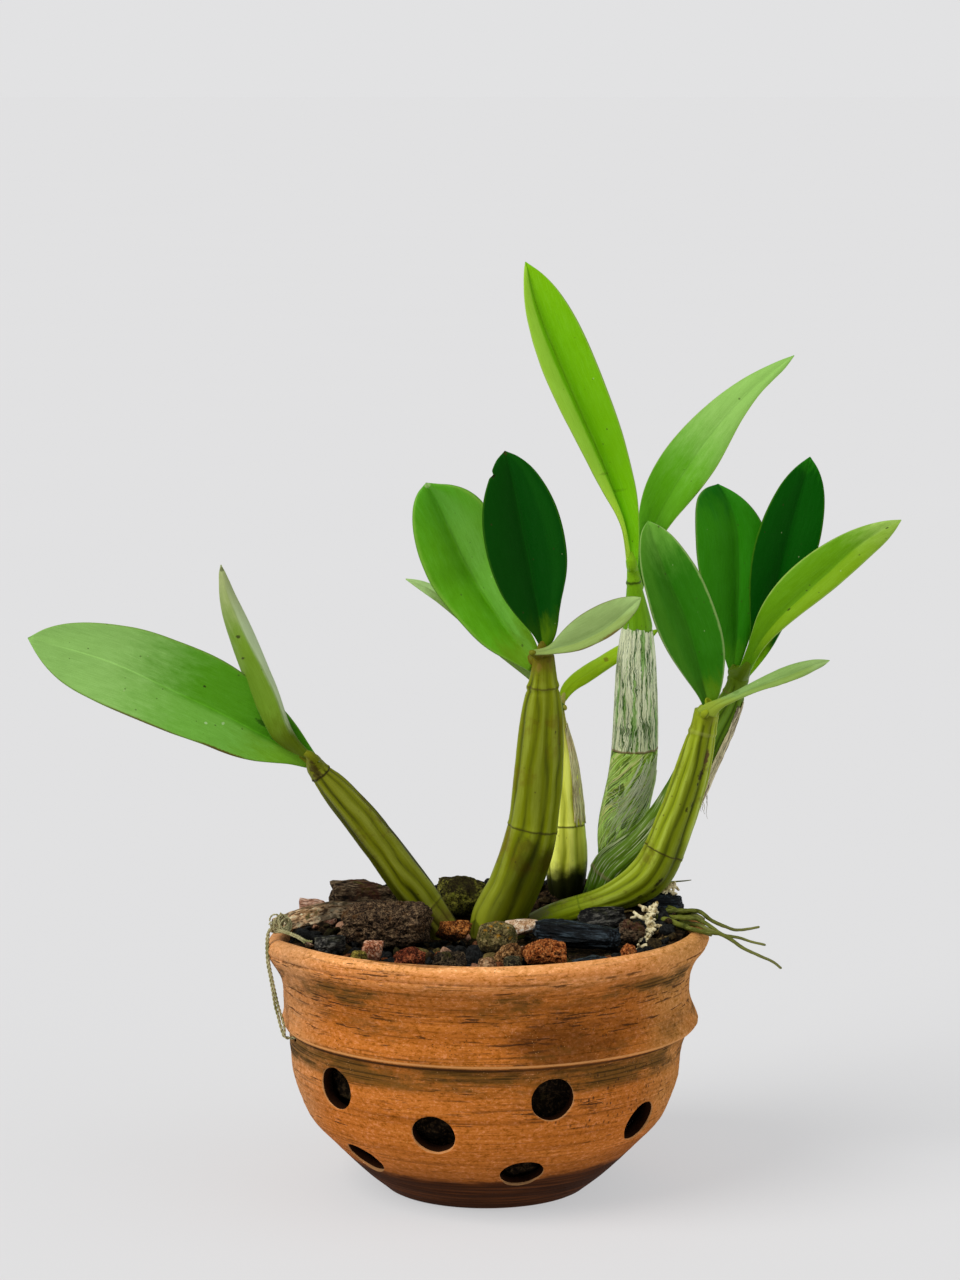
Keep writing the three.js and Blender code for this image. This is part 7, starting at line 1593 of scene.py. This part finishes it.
def lump(kind, size, place, turn, boxy, seed, sub=5, tilt=(0, 0)):
    """Points, faces and local coordinates of a stone. size is its full width,
    depth and height, place the centre of its underside."""
    if sub not in _ICO:
        _ICO[sub] = ico(sub)
    v, f = _ICO[sub]
    v = v.copy()
    rr = np.random.default_rng(int(seed * 7 + 3))
    sup = np.max(np.abs(v), axis=1)
    if kind in ("lava", "husk", "moss") and boxy < 0.95:
        boxy = boxy * 0.75
    v = v * (1 - boxy + boxy / sup)[:, None]
    # a broken outline first, then the flat breaks
    broad = {"charcoal": 0.07, "shard": 0.15, "lava": 0.2, "husk": 0.22, "bark": 0.15, "pebble": 0.1, "moss": 0.24}[kind]
    v = v * (1 + broad * fbm(v + seed, 1.3, 2, 0.5, int(seed)))[:, None]
    cuts = {"charcoal": 20, "shard": 20, "lava": 24, "husk": 22, "bark": 16, "pebble": 4, "moss": 12}[kind]
    lowest = {"charcoal": 0.64, "shard": 0.58, "lava": 0.62, "husk": 0.6, "bark": 0.66, "pebble": 0.74, "moss": 0.66}[kind]
    if boxy >= 0.95 and kind == "husk":
        cuts, lowest = 15, 0.76
    if kind == "pebble" and size[0] > 15:
        lowest = 0.9
    for _ in range(cuts):
        n = rr.normal(size=3)
        n /= np.linalg.norm(n)
        reach = (v @ n).max()
        d = reach * rr.uniform(lowest, 0.95)
        over = np.maximum(0, v @ n - d)
        v = v - over[:, None] * n * {"pebble": 0.6}.get(kind, 0.97)
    if kind == "charcoal" and size[0] > 2.2 * size[1]:
        # split along the grain: flat sides that meet at sharp edges
        ph = np.arctan2(v[:, 2], v[:, 1]) + 0.25 * v[:, 0] + 0.3
        step_ = TAU / 5
        k = math.cos(step_ / 2) / np.cos(np.mod(ph, step_) - step_ / 2)
        rad_ = np.hypot(v[:, 1], v[:, 2])
        end = smoothstep(1.0, 0.8, np.abs(v[:, 0]))
        full = np.sqrt(np.clip(1 - (np.abs(v[:, 0]) * 0.8) ** 4, 0, 1)) * 1.05 * k
        full = full * (1 + 0.07 * np.round(2 * noise(np.stack([v[:, 0] * 1.2, ph * 1.5, ph * 0], 1), 1.0, int(seed))) / 2)
        new = rad_ * (1 - end) + full * end
        v[:, 1:] *= (new / np.maximum(rad_, 1e-6))[:, None]
    s = np.array(size) / 2.0
    loc = v * s
    amp = {"charcoal": 0.05, "shard": 0.05, "lava": 0.14, "husk": 0.2, "bark": 0.12, "pebble": 0.06, "moss": 0.22}[kind]
    nrm = v / np.linalg.norm(v, axis=1)[:, None]
    m = float(np.mean(s))
    d = amp * m * fbm(loc, 1.3 / m, 4, 0.6, seed)
    # a mask of painted shade for pits, crevices and hollows, and for the low side of the stone
    pits_and_shade = np.zeros(len(v))
    if kind == "lava":
        for sc, dep in ((0.36, 1.0), (0.8, 0.6)):
            w = cells(loc, sc, seed)
            h = 1 - smoothstep(0.1, 0.4, w)
            pits_and_shade = np.maximum(pits_and_shade, h)
            d = d - dep * min(1.0, m / 5.0) * h
        d = d + 0.6 * min(1.0, m / 5.0) * fbm(loc, 0.7, 4, 0.65, seed + 1)
    if kind == "husk":
        ridged = 1 - np.abs(fbm(loc, 0.22, 4, 0.62, seed + 4)) * 2
        d = d + 3.4 * min(1.0, m / 12.0) * (ridged - 0.6)
        w = cells(loc, 0.33, seed)
        h = 1 - smoothstep(0.08, 0.42, w)
        pits_and_shade = np.maximum(h, smoothstep(0.45, 0.0, ridged) * 0.8)
        d = d - 1.3 * min(1.0, m / 9.0) * h + 0.8 * min(1.0, m / 9.0) * fbm(loc, 0.75, 3, 0.6, seed + 2)
    if kind == "moss":
        d = d + 0.8 * min(1.0, m / 6.0) * fbm(loc, 0.6, 3, 0.7, seed + 2)
        pits_and_shade = smoothstep(0.0, -0.5, fbm(loc, 0.3, 3, 0.6, seed + 6))
    if kind == "charcoal":
        g = noise(loc * (0.07, 1.0, 1.0), 0.8, seed)
        steps = np.round(fbm(loc * (0.1, 1.0, 1.0), 0.33, 2, 0.5, seed + 3) * 5) / 5
        d = d + min(1.0, m / 5.0) * (0.75 * np.clip(np.abs(g) * 2 - 0.25, -0.4, 0.6) + 1.3 * steps)
        pits_and_shade = smoothstep(0.1, 0.0, np.abs(g))
    if kind == "bark":
        g = fbm(loc * (0.12, 0.5, 1.3), 0.8, 3, 0.6, seed)
        d = d + 0.9 * min(1.0, m / 6.0) * g
        pits_and_shade = smoothstep(0.0, -0.4, g)
    loc = loc + nrm * d[:, None]
    lo, hi = loc.min(0), loc.max(0)
    loc = (loc - (lo + hi) / 2) * (np.array(size) / (hi - lo))
    # painted shade: the low side of each stone is darkened where it sits in the mix
    pits_and_shade = np.maximum(pits_and_shade, 0.85 * smoothstep(-0.1, -0.8, loc[:, 2] / s[2]))
    if tilt != (0, 0):
        cx, sx = math.cos(tilt[0]), math.sin(tilt[0])
        cy, sy = math.cos(tilt[1]), math.sin(tilt[1])
        rx = np.array([[1, 0, 0], [0, cx, -sx], [0, sx, cx]])
        ry = np.array([[cy, 0, sy], [0, 1, 0], [-sy, 0, cy]])
        w = loc @ (ry @ rx).T
    else:
        w = loc
    a = math.radians(turn)
    w = np.stack([w[:, 0] * math.cos(a) - w[:, 1] * math.sin(a), w[:, 0] * math.sin(a) + w[:, 1] * math.cos(a), w[:, 2]], 1)
    w = w + np.array(place) + (0, 0, -w[:, 2].min())
    return w, f, loc, pits_and_shade


def rock_material(name, c_low, c_mid, c_high, dark, seed, grain=300.0, bumps=0.0014, tints=(), gloss=0.9, stretch=None,
                  pits_and_shade_k=0.9, speck=None):
    m = Mat(name, gloss, Specular_IOR_Level=0.12)
    loc = m.attr("loc", True)
    pits_and_shade = m.attr("pits_and_shade")
    p = m.shift(loc, (seed, seed * 0.5, 0))
    if stretch is not None:
        p = m.scale(p, stretch)
    n = m.noise(p, grain * 0.001, 5, 0.7)
    n2 = m.noise(p, grain * 0.0034, 4, 0.65)
    col = m.ramp(n, [(0.36, c_low), (0.5, c_mid), (0.62, c_high)])
    col = m.mix(m.step(n2, 0.5, 0.4, 0, 0.9), col, dark)
    col = m.mix(m.step(n2, 0.56, 0.64, 0, 0.75), col, tuple(min(1.0, c * 1.3) for c in c_high))
    for tone, fr, lo, hi, k in tints:
        col = m.mix(m.step(m.noise(m.shift(loc, (fr, seed * 2.0, 0)), fr, 4, 0.6), lo, hi, 0.0, k), col, tone)
    if speck is not None:
        cd = m.cells(loc, speck[1])
        col = m.mix(m.math("MULTIPLY", m.step(cd, 0.26, 0.14), m.step(n, 0.46, 0.56, 0, 0.9)), col, speck[0])
    # painted shade in the pits and crevices and on the low side of the stone
    col = m.mix(m.math("MULTIPLY", pits_and_shade, pits_and_shade_k), col, dark)
    h = m.math("ADD", m.math("MULTIPLY", n2, 0.6), m.math("MULTIPLY", m.noise(loc, 2.6, 4, 0.7), 0.6))
    return m.end(col, None, m.bump(h, bumps, 1.0))


MOSS = lin(92, 100, 20)
husk_m = rock_material("husk_brown", lin(24, 17, 12), lin(78, 58, 42), lin(150, 122, 90), lin(12, 9, 7), 1.0, 420,
                       speck=(lin(168, 140, 102), 0.75), tints=((lin(104, 66, 24), 0.14, 0.52, 0.7, 0.5), (lin(64, 64, 24), 0.1, 0.6, 0.75, 0.3)))
lava_or = rock_material("lava_orange", lin(112, 48, 12), lin(182, 96, 40), lin(222, 144, 80), lin(42, 18, 8), 2.0, 380,
                        speck=(lin(236, 178, 112), 0.9))
lava_or2 = rock_material("lava_two_tone", lin(60, 30, 14), lin(168, 92, 34), lin(226, 148, 76), lin(34, 18, 10), 2.6, 380,
                         speck=(lin(236, 178, 112), 0.9), tints=((lin(40, 28, 20), 0.07, 0.5, 0.6, 0.85),))
lava_br = rock_material("lava_brown", lin(70, 42, 20), lin(140, 94, 50), lin(198, 150, 96), lin(32, 18, 10), 3.0, 380,
                        speck=(lin(214, 172, 120), 0.9))
lava_rd = rock_material("lava_red", lin(56, 20, 10), lin(122, 54, 30), lin(176, 98, 60), lin(24, 10, 8), 4.0, 420, speck=(lin(190, 120, 80), 1.0))
lava_dk = rock_material("lava_dark", lin(18, 15, 12), lin(52, 42, 32), lin(106, 90, 66), lin(8, 7, 6), 5.0, 420,
                        tints=((lin(84, 78, 30), 0.2, 0.55, 0.7, 0.5),))
coal = rock_material("charcoal", lin(2, 5, 7), lin(9, 15, 20), lin(56, 68, 76), lin(1, 2, 3), 6.0, 330, stretch=(0.12, 1, 1), gloss=0.4,
                     bumps=0.0006, pits_and_shade_k=0.85)
coal_grey = rock_material("charcoal_worn", lin(7, 7, 7), lin(30, 29, 28), lin(104, 102, 94), lin(4, 4, 4), 7.0, 260, stretch=(0.3, 1, 1), gloss=0.6,
                          bumps=0.0008, pits_and_shade_k=0.85, tints=((lin(60, 62, 28), 0.15, 0.55, 0.7, 0.4),))
bark_m = rock_material("bark", lin(36, 26, 18), lin(84, 66, 48), lin(146, 124, 96), lin(18, 13, 10), 8.0, 340, stretch=(0.35, 1, 1.3),
                       tints=((lin(88, 46, 30), 0.1, 0.5, 0.64, 0.6), (MOSS, 0.12, 0.6, 0.74, 0.5)))
moss_m = rock_material("moss_bark", lin(44, 38, 18), lin(104, 100, 34), lin(168, 164, 66), lin(16, 15, 8), 9.0, 420,
                       tints=((lin(144, 150, 48), 0.25, 0.54, 0.68, 0.6), (lin(46, 36, 24), 0.09, 0.5, 0.62, 0.85)))
peb_mossy = rock_material("pebble_mossy", lin(50, 42, 22), lin(112, 98, 54), lin(170, 150, 98), lin(28, 20, 12), 10.0, 320, gloss=0.75,
                          tints=((lin(196, 136, 20), 0.35, 0.55, 0.66, 0.8), (lin(80, 80, 34), 0.2, 0.5, 0.64, 0.6)))
peb_tan = rock_material("pebble_tan", lin(96, 64, 38), lin(160, 116, 76), lin(214, 178, 136), lin(54, 34, 20), 11.0, 320, gloss=0.75)
peb_dark = rock_material("pebble_dark", lin(34, 30, 22), lin(72, 66, 44), lin(128, 116, 84), lin(18, 14, 10), 12.0, 360, gloss=0.75)
peb_green = rock_material("pebble_green", lin(84, 72, 20), lin(132, 118, 40), lin(180, 162, 76), lin(44, 34, 14), 13.0, 320, gloss=0.7)
chip_pk = rock_material("chip_pink", lin(136, 70, 44), lin(206, 130, 92), lin(244, 198, 164), lin(74, 34, 20), 14.0, 320, gloss=0.8)
chip_pl = rock_material("chip_pale", lin(206, 160, 116), lin(244, 210, 172), lin(255, 242, 220), lin(150, 100, 62), 15.0, 260, gloss=0.8)
shard_m = rock_material("clay_shard", lin(176, 122, 96), lin(220, 170, 142), lin(248, 218, 196), lin(96, 58, 40), 16.0, 280, gloss=0.85,
                        stretch=(0.5, 1, 2.5))
Z0 = 114.35
LUMPS = [
    ("husk_block", "husk", (-45, -13, Z0), (41, 37, 18.5), -12, 1.0, 11, husk_m, "bark", 6),
    ("charcoal_stick", "charcoal", (40.5, -24, Z0), (44, 12.5, 12.5), -28, 0.85, 12, coal, "charcoal", 6),
    ("lava_orange_cube", "lava", (25.5, -60, Z0), (19.5, 14, 12), 4, 0.85, 13, lava_or, "lava_rock", 6),
    ("pebble_mossy", "pebble", (5, -36, Z0), (18.5, 14, 15.5), 0, 0.25, 14, peb_mossy, "pebble", 5),
    ("lava_orange", "lava", (-14.5, -9, Z0), (17, 12, 10.5), 12, 0.5, 15, lava_or2, "lava_rock", 5),
    ("chip_pale", "shard", (15.8, -1, Z0 + 1.5), (18, 10, 7), -8, 0.3, 16, chip_pl, "clay_shard", 5),
    ("charcoal_burnt", "charcoal", (53, 7, Z0), (23, 12, 13), 12, 0.6, 17, coal_grey, "charcoal", 5),
    ("bark_slab_rear", "bark", (-56, 36, Z0), (34, 12, 19.5), 8, 0.8, 18, bark_m, "bark", 5),
    ("moss_chunk_rear", "moss", (-12, 45, Z0), (25, 16, 20), 5, 0.6, 19, moss_m, "bark", 5),
    ("clay_shard", "shard", (-77, 29, Z0), (19, 7, 11.8), -24, 0.8, 20, shard_m, "clay_shard", 5),
    ("charcoal_left", "charcoal", (-69.5, -41, Z0), (14, 12, 10.5), 20, 0.6, 21, coal_grey, "charcoal", 5),
    ("pebble_yellow_green", "pebble", (-56, -60, Z0), (7.5, 7, 7.3), 0, 0.2, 22, peb_green, "pebble", 4),
    ("chip_pink", "shard", (-50, -50, Z0), (9, 7, 9.3), -20, 0.6, 23, chip_pk, "lava_rock", 4),
    ("lava_red", "lava", (-33.5, -66, Z0), (14.5, 11, 10.2), 15, 0.5, 24, lava_rd, "lava_rock", 5),
    ("lava_dark", "husk", (-16, -72, Z0), (15.5, 12, 10), -5, 0.5, 25, lava_dk, "lava_rock", 5),
    ("pebble_small_front", "pebble", (0.5, -77, Z0), (8.5, 7.5, 8), 0, 0.3, 26, peb_tan, "pebble", 4),
    ("lava_brown", "lava", (9.5, -59, Z0), (12.5, 10, 10.5), 8, 0.6, 27, lava_br, "lava_rock", 5),
    ("pebble_dark", "pebble", (11.5, -74, Z0), (8, 7, 8), 0, 0.3, 28, peb_dark, "pebble", 4),
    ("charcoal_strip", "charcoal", (46, -68, Z0), (19, 9, 6.5), 22, 0.8, 29, coal, "charcoal", 5),
    ("chip_red", "lava", (63, -49, Z0), (8, 6.5, 7.5), 30, 0.5, 30, lava_or, "lava_rock", 4),
    ("bark_chunk_right", "husk", (65, -18, Z0), (13, 15, 13), 10, 0.6, 31, bark_m, "bark", 5),
    ("charcoal_rear_right", "charcoal", (81.5, 26, Z0), (20, 11, 16), 12, 0.6, 32, coal, "charcoal", 5),
]
for name, kind, at, size, turn, box, seed, material, slot_name, sub in LUMPS:
    v, f, loc, pits_and_shade = lump(kind, size, at, turn, box, seed, sub)
    o = make(name + "_stone", v, f, {"loc": loc, "pits_and_shade": pits_and_shade}, [material])
    piece(o, slot_name, name)

# a curled strip of bark that lies on the lip at the left
strip_m = rock_material("bark_strip", lin(160, 120, 80), lin(236, 188, 138), lin(255, 232, 190), lin(40, 28, 16), 17.0, 300, stretch=(0.25, 1, 1),
                        tints=((lin(70, 72, 28), 0.16, 0.52, 0.64, 0.8),))
line = spline([[-96.5, -8, 122.4], [-90, -7, 124.4], [-80, -4, 127], [-68, 0, 128.5], [-57, 5, 127.2]], 90)
t, ax, aw = frames(line)
nb = 44
ang = np.linspace(-1.35, 1.35, nb)
u = np.linspace(0, 1, 90)[:, None]
wide_k = (0.75 + 0.35 * np.sin(u * 2.6 + 0.3))
q = np.stack([np.repeat(u * 9, nb, 1), np.repeat(ang[None], 90, 0) * 2, np.zeros((90, nb))], -1).reshape(-1, 3)
dn1 = fbm(q, 1.0, 4, 0.6, 3).reshape(90, nb)
R1 = 6.4 * wide_k * (1 + 0.1 * dn1)
def arc(extra):
    r = R1 + extra
    return (line[:, None, :] + (np.sin(ang)[None] * r)[..., None] * np.array([0.15, -1.0, 0.0]) / 1.01
            + ((np.cos(ang)[None] - 0.68) * r * 1.05)[..., None] * np.array([0.0, 0.0, 1.0]))
outer, inner = arc(1.2 + 0.8 * dn1), arc(-0.9)
k = 90 * nb
verts = np.concatenate([outer.reshape(-1, 3), inner.reshape(-1, 3)])
quads = [grid(90, nb), grid(90, nb, offset=k, flip=True)]
j = np.arange(nb - 1)
quads.append(np.stack([j, j + k, j + 1 + k, j + 1], 1))
e = 89 * nb
quads.append(np.stack([j + 1 + e, j + 1 + e + k, j + e + k, j + e], 1))
i = np.arange(89) * nb
quads.append(np.stack([i, i + nb, i + nb + k, i + k], 1))
i = i + nb - 1
quads.append(np.stack([i + k, i + nb + k, i + nb, i], 1))
quads = np.concatenate(quads)
loc = np.concatenate([np.stack([np.repeat(u * 42, nb, 1), np.repeat(ang[None] * 6, 90, 0), np.zeros((90, nb)) + h], -1).reshape(-1, 3) for h in (0, 5)])
# painted shade in its hollows and on its inner face; it also darkens towards its inner end
pits_and_shade = np.r_[np.clip(smoothstep(0.15, -0.4, dn1) * 0.8 + smoothstep(0.3, 0.62, u) * 0.75, 0, 0.95).ravel(), np.full(k, 0.8)]
o = make("bark_strip_on_rim_curl", verts, quads, {"loc": loc, "pits_and_shade": pits_and_shade}, [strip_m])
bm = bmesh.new()
bm.from_mesh(o.data)
bmesh.ops.recalc_face_normals(bm, faces=bm.faces)
bm.to_mesh(o.data)
bm.free()
piece(o, "bark", "bark_strip_on_rim")

# ----------------------------------------------------------------------- bed
def inner_radius(z):
    p = np.array([(45.0, 7.0), (51, 10.5), (62, 21), (75, 36), (82, 52), (84.2, 70), (85, 92), (86.6, 103), (90.2, 112), (92, 119)])
    return np.interp(z, p[:, 1], p[:, 0])


HEAP = [
    (-46, 60, 26, 16, 14), (-8, 66, 28, 15, 16), (38, 68, 26, 15, 16), (72, 42, 16, 22, 16), (-78, 36, 12, 20, 8),
    (58, 44, 22, 18, 8), (85, 4, 9, 26, 9), (-84, -22, 10, 24, 6), (-70, -30, 12, 16, 3),
]


def bed_height(x, y):
    h = 114.6 + 1.2 * smoothstep(60, 86, np.hypot(x, y))
    up = 0 * x
    for cx, cy, sx, sy, k in HEAP:
        up = np.maximum(up, k * np.exp(-(((x - cx) / sx) ** 2 + ((y - cy) / sy) ** 2) * 0.5))
    g = np.stack([x, y, 0 * x], -1).reshape(-1, 3)
    lump_ = fbm(g, 0.13, 4, 0.62, 9).reshape(np.shape(x))
    fine = fbm(g, 0.5, 3, 0.6, 19).reshape(np.shape(x))
    return h + up * (1 + 0.12 * lump_) + 1.6 * lump_ + 0.5 * fine - 0.8


def bed_top(x, y):
    h = bed_height(np.array([float(x)]), np.array([float(y)]))[0]
    return float(settle([[x, y, h]])[0, 2])


def build_bed():
    rr = np.random.default_rng(5)
    seg, nz = 204, 40
    th = np.linspace(0, TAU, seg, endpoint=False)
    cs, sn = np.cos(th), np.sin(th)
    edge_h = np.clip(bed_height(cs * 89.5, sn * 89.5), 112.5, 121.2)
    f = np.linspace(0, 1, nz)[:, None]
    Z = 7.6 + (edge_h[None] - 7.6) * f
    R = inner_radius(Z) - 0.7
    TH = np.repeat(th[None], nz, 0)
    q = np.stack([np.cos(TH) * R, np.sin(TH) * R, Z], -1).reshape(-1, 3)
    dents = smoothstep(0.25, 0.75, cells(q, 0.11, 3)).reshape(nz, seg)
    near_top = smoothstep(0.86, 0.97, f)
    R2 = R - (5.0 * dents + 1.2 * (1 + fbm(q, 0.3, 3, 0.6, 2)).reshape(nz, seg)) * (1 - near_top) - 0.4 * near_top
    side = np.stack([np.cos(TH) * R2, np.sin(TH) * R2, Z], -1).reshape(-1, 3)
    nr = 80
    rad = (1 - (np.linspace(0, 0.985, nr)) ** 1.05)[:, None]
    X, Y = cs[None] * R2[-1][None] * rad, sn[None] * R2[-1][None] * rad
    H = bed_height(X, Y)
    k = smoothstep(1.0, 0.93, rad)
    H = edge_h[None] * (1 - k) + H * k
    top = np.stack([X, Y, H], -1).reshape(-1, 3)
    verts = np.concatenate([side, top, [[0, 0, 7.6]], [[0, 0, bed_height(np.zeros(1), np.zeros(1))[0]]]])
    quads = [grid(nz, seg, wrap_v=True), grid(nr, seg, wrap_v=True, offset=nz * seg)]
    j = np.arange(seg)
    a = (nz - 1) * seg
    b = nz * seg
    quads.append(np.stack([a + j, a + (j + 1) % seg, b + (j + 1) % seg, b + j], 1))
    quads = np.concatenate(quads)
    total = (nz + nr) * seg
    tris = np.concatenate([fan(np.arange(seg), total, flip=True), fan(np.arange(seg) + (nz + nr - 1) * seg, total + 1)])
    n = len(verts)
    attrs = {"loc": verts.copy(), "pits_and_shade": np.full(n, 0.35), "tint": np.zeros(n), "kind": np.zeros(n)}
    parts = [(settle(verts), quads, tris, attrs, 0)]
    taken = [(at[0], at[1], 0.40 * max(size[0], size[1])) for _, _, at, size, *_ in LUMPS]
    stems = [(-17, 17, 10), (5, 19, 13), (38, 61, 9), (59, 54, 8), (51, 44, 12), (30, 26, 7), (45, 25, 8), (60, 24, 8)]
    placed = []
    tries = 0
    while len(placed) < 560 and tries < 20000:
        tries += 1
        a, rad = rr.uniform(0, TAU), 88.6 * math.sqrt(rr.random())
        front = tries < 2600
        s = rr.choice([1.3, 1.9, 2.6, 3.4, 4.6], p=[0.1, 0.2, 0.3, 0.25, 0.15] if front else [0.4, 0.32, 0.18, 0.07, 0.03])
        x, y = rad * math.cos(a), rad * math.sin(a)
        back = y > 28
        if rad + s > 90.0:
            continue
        if any((x - tx) ** 2 + (y - ty) ** 2 < (tr + s * 0.4) ** 2 for tx, ty, tr in taken):
            continue
        if any((x - tx) ** 2 + (y - ty) ** 2 < (tr + s) ** 2 for tx, ty, tr in stems):
            continue
        if any((x - px) ** 2 + (y - py) ** 2 < (0.66 * (s + ps)) ** 2 for px, py, ps in placed):
            continue
        placed.append((x, y, s))
        if back or (x > 40 and y > -45):
            kind = rr.choice(["charcoal", "husk", "lava", "pebble", "moss"], p=[0.5, 0.34, 0.04, 0.04, 0.08])
        else:
            kind = rr.choice(["charcoal", "husk", "lava", "pebble", "shard"], p=[0.42, 0.28, 0.14, 0.1, 0.06])
        k = {"charcoal": 1, "husk": 2, "lava": 3, "pebble": 4, "shard": 5, "moss": 2}[kind]
        size = np.array([s * rr.uniform(1.7, 2.8), s * rr.uniform(1.2, 2.0), s * rr.uniform(0.9, 1.6)])
        zt = bed_top(x, y) - 0.35 * size[2] + rr.uniform(-0.4, 0.6)
        w, f_, loc, pits_and_shade = lump(kind, size, (x, y, zt), rr.uniform(0, 360), rr.uniform(0.2, 0.7),
                               rr.uniform(0, 60), 3 if s > 2.2 else 2, (rr.normal() * 0.4, rr.normal() * 0.4))
        m = len(w)
        parts.append((w, None, f_, {"loc": loc + rr.uniform(0, 99), "pits_and_shade": pits_and_shade * 0.9, "tint": np.full(m, rr.random()), "kind": np.full(m, k)}, 1))
    # dead roots and fibres lying about the right and the back
    for _ in range(70):
        if rr.random() < 0.6:
            x, y = rr.uniform(52, 84), rr.uniform(-30, 46)
        else:
            x, y = rr.uniform(-70, 60), rr.uniform(30, 74)
        if math.hypot(x, y) > 84:
            continue
        d = rr.uniform(0, TAU)
        ln = rr.uniform(5, 15)
        pts = []
        for f_ in np.linspace(0, 1, 5):
            px, py = x + math.cos(d) * ln * (f_ - 0.5) + rr.normal() * 0.8, y + math.sin(d) * ln * (f_ - 0.5) + rr.normal() * 0.8
            if math.hypot(px, py) > 88:
                px, py = px * 0.9, py * 0.9
            pts.append([px, py, bed_top(px, py) + rr.uniform(-0.2, 1.0) + 1.2 * math.sin(math.pi * f_)])
        v, q_, t, th_, s_ = tube(spline(np.array(pts), 16), np.full(16, rr.uniform(0.25, 0.6)), 6, None, (0.1, 0.1))
        m = len(v)
        parts.append((v, q_, t, {"loc": v + rr.uniform(0, 50), "pits_and_shade": np.full(m, 0.1), "tint": np.full(m, rr.random()), "kind": np.full(m, 6 if rr.random() < 0.6 else 2)}, 1))
    return parts


soil = Mat("mix_dark", 0.95, Specular_IOR_Level=0.05)
sl_ = soil.attr("loc", True)
n1 = soil.noise(sl_, 0.5, 5, 0.7)
n2 = soil.noise(sl_, 1.9, 4, 0.7)
# the soil runs down to near-black: painted shade in the gaps between the stones, over the soil's own browns
sc_ = soil.ramp(n1, [(0.3, lin(7, 5, 4)), (0.5, lin(30, 22, 14)), (0.6, lin(70, 54, 36)), (0.75, lin(96, 76, 48))])
sc_ = soil.mix(soil.step(soil.noise(sl_, 0.11, 3), 0.56, 0.7, 0, 0.4), sc_, lin(52, 48, 18))
soil.end(sc_, None, soil.bump(n2, 0.0012, 1.0))
gravel = Mat("mix_gravel", 0.85, Specular_IOR_Level=0.08)
gl = gravel.attr("loc", True)
gk, gt, gravel_pits_and_shade = gravel.attr("kind"), gravel.attr("tint"), gravel.attr("pits_and_shade")
g1 = gravel.noise(gl, 0.9, 5, 0.7)
g2 = gravel.noise(gl, 3.0, 4, 0.7)
def pick(k):
    return gravel.math("COMPARE", gk, float(k), 0.5)
col = gravel.mix(gravel.step(g1, 0.34, 0.68), lin(6, 7, 9), lin(48, 49, 48))
husk_c = gravel.mix(gravel.step(g1, 0.3, 0.7), lin(20, 14, 9), gravel.mix(gt, lin(96, 72, 48), lin(66, 62, 28)))
lava_c = gravel.mix(gravel.step(g1, 0.3, 0.7), lin(64, 28, 12), gravel.mix(gt, lin(186, 100, 48), lin(146, 100, 64)))
peb_c = gravel.mix(gravel.step(g1, 0.3, 0.7), lin(56, 44, 26), gravel.mix(gt, lin(180, 142, 92), lin(124, 114, 56)))
shd_c = gravel.mix(gravel.step(g1, 0.3, 0.7), lin(150, 98, 70), gravel.mix(gt, lin(230, 196, 164), lin(208, 150, 116)))
col = gravel.mix(pick(2), col, husk_c)
col = gravel.mix(pick(3), col, lava_c)
col = gravel.mix(pick(4), col, peb_c)
col = gravel.mix(pick(5), col, shd_c)
col = gravel.mix(pick(6), col, gravel.mix(gt, lin(150, 126, 78), lin(92, 84, 40)))
# painted shade in the pits and on the low side of each stone
col = gravel.mix(gravel.math("MULTIPLY", gravel_pits_and_shade, 0.9), col, lin(9, 6, 4))
col = gravel.mix(gravel.step(g2, 0.46, 0.3, 0, 0.7), col, lin(8, 6, 5))
gravel.end(col, None, gravel.bump(gravel.math("ADD", g1, g2), 0.0008, 0.9))
parts = build_bed()
o = join("growing_mix_bed", parts[:1], [soil, gravel])
piece(o, "growing_mix", "growing_mix")
o = join("growing_mix_gravel", parts[1:], [soil, gravel])
piece(o, "growing_mix", "growing_mix")
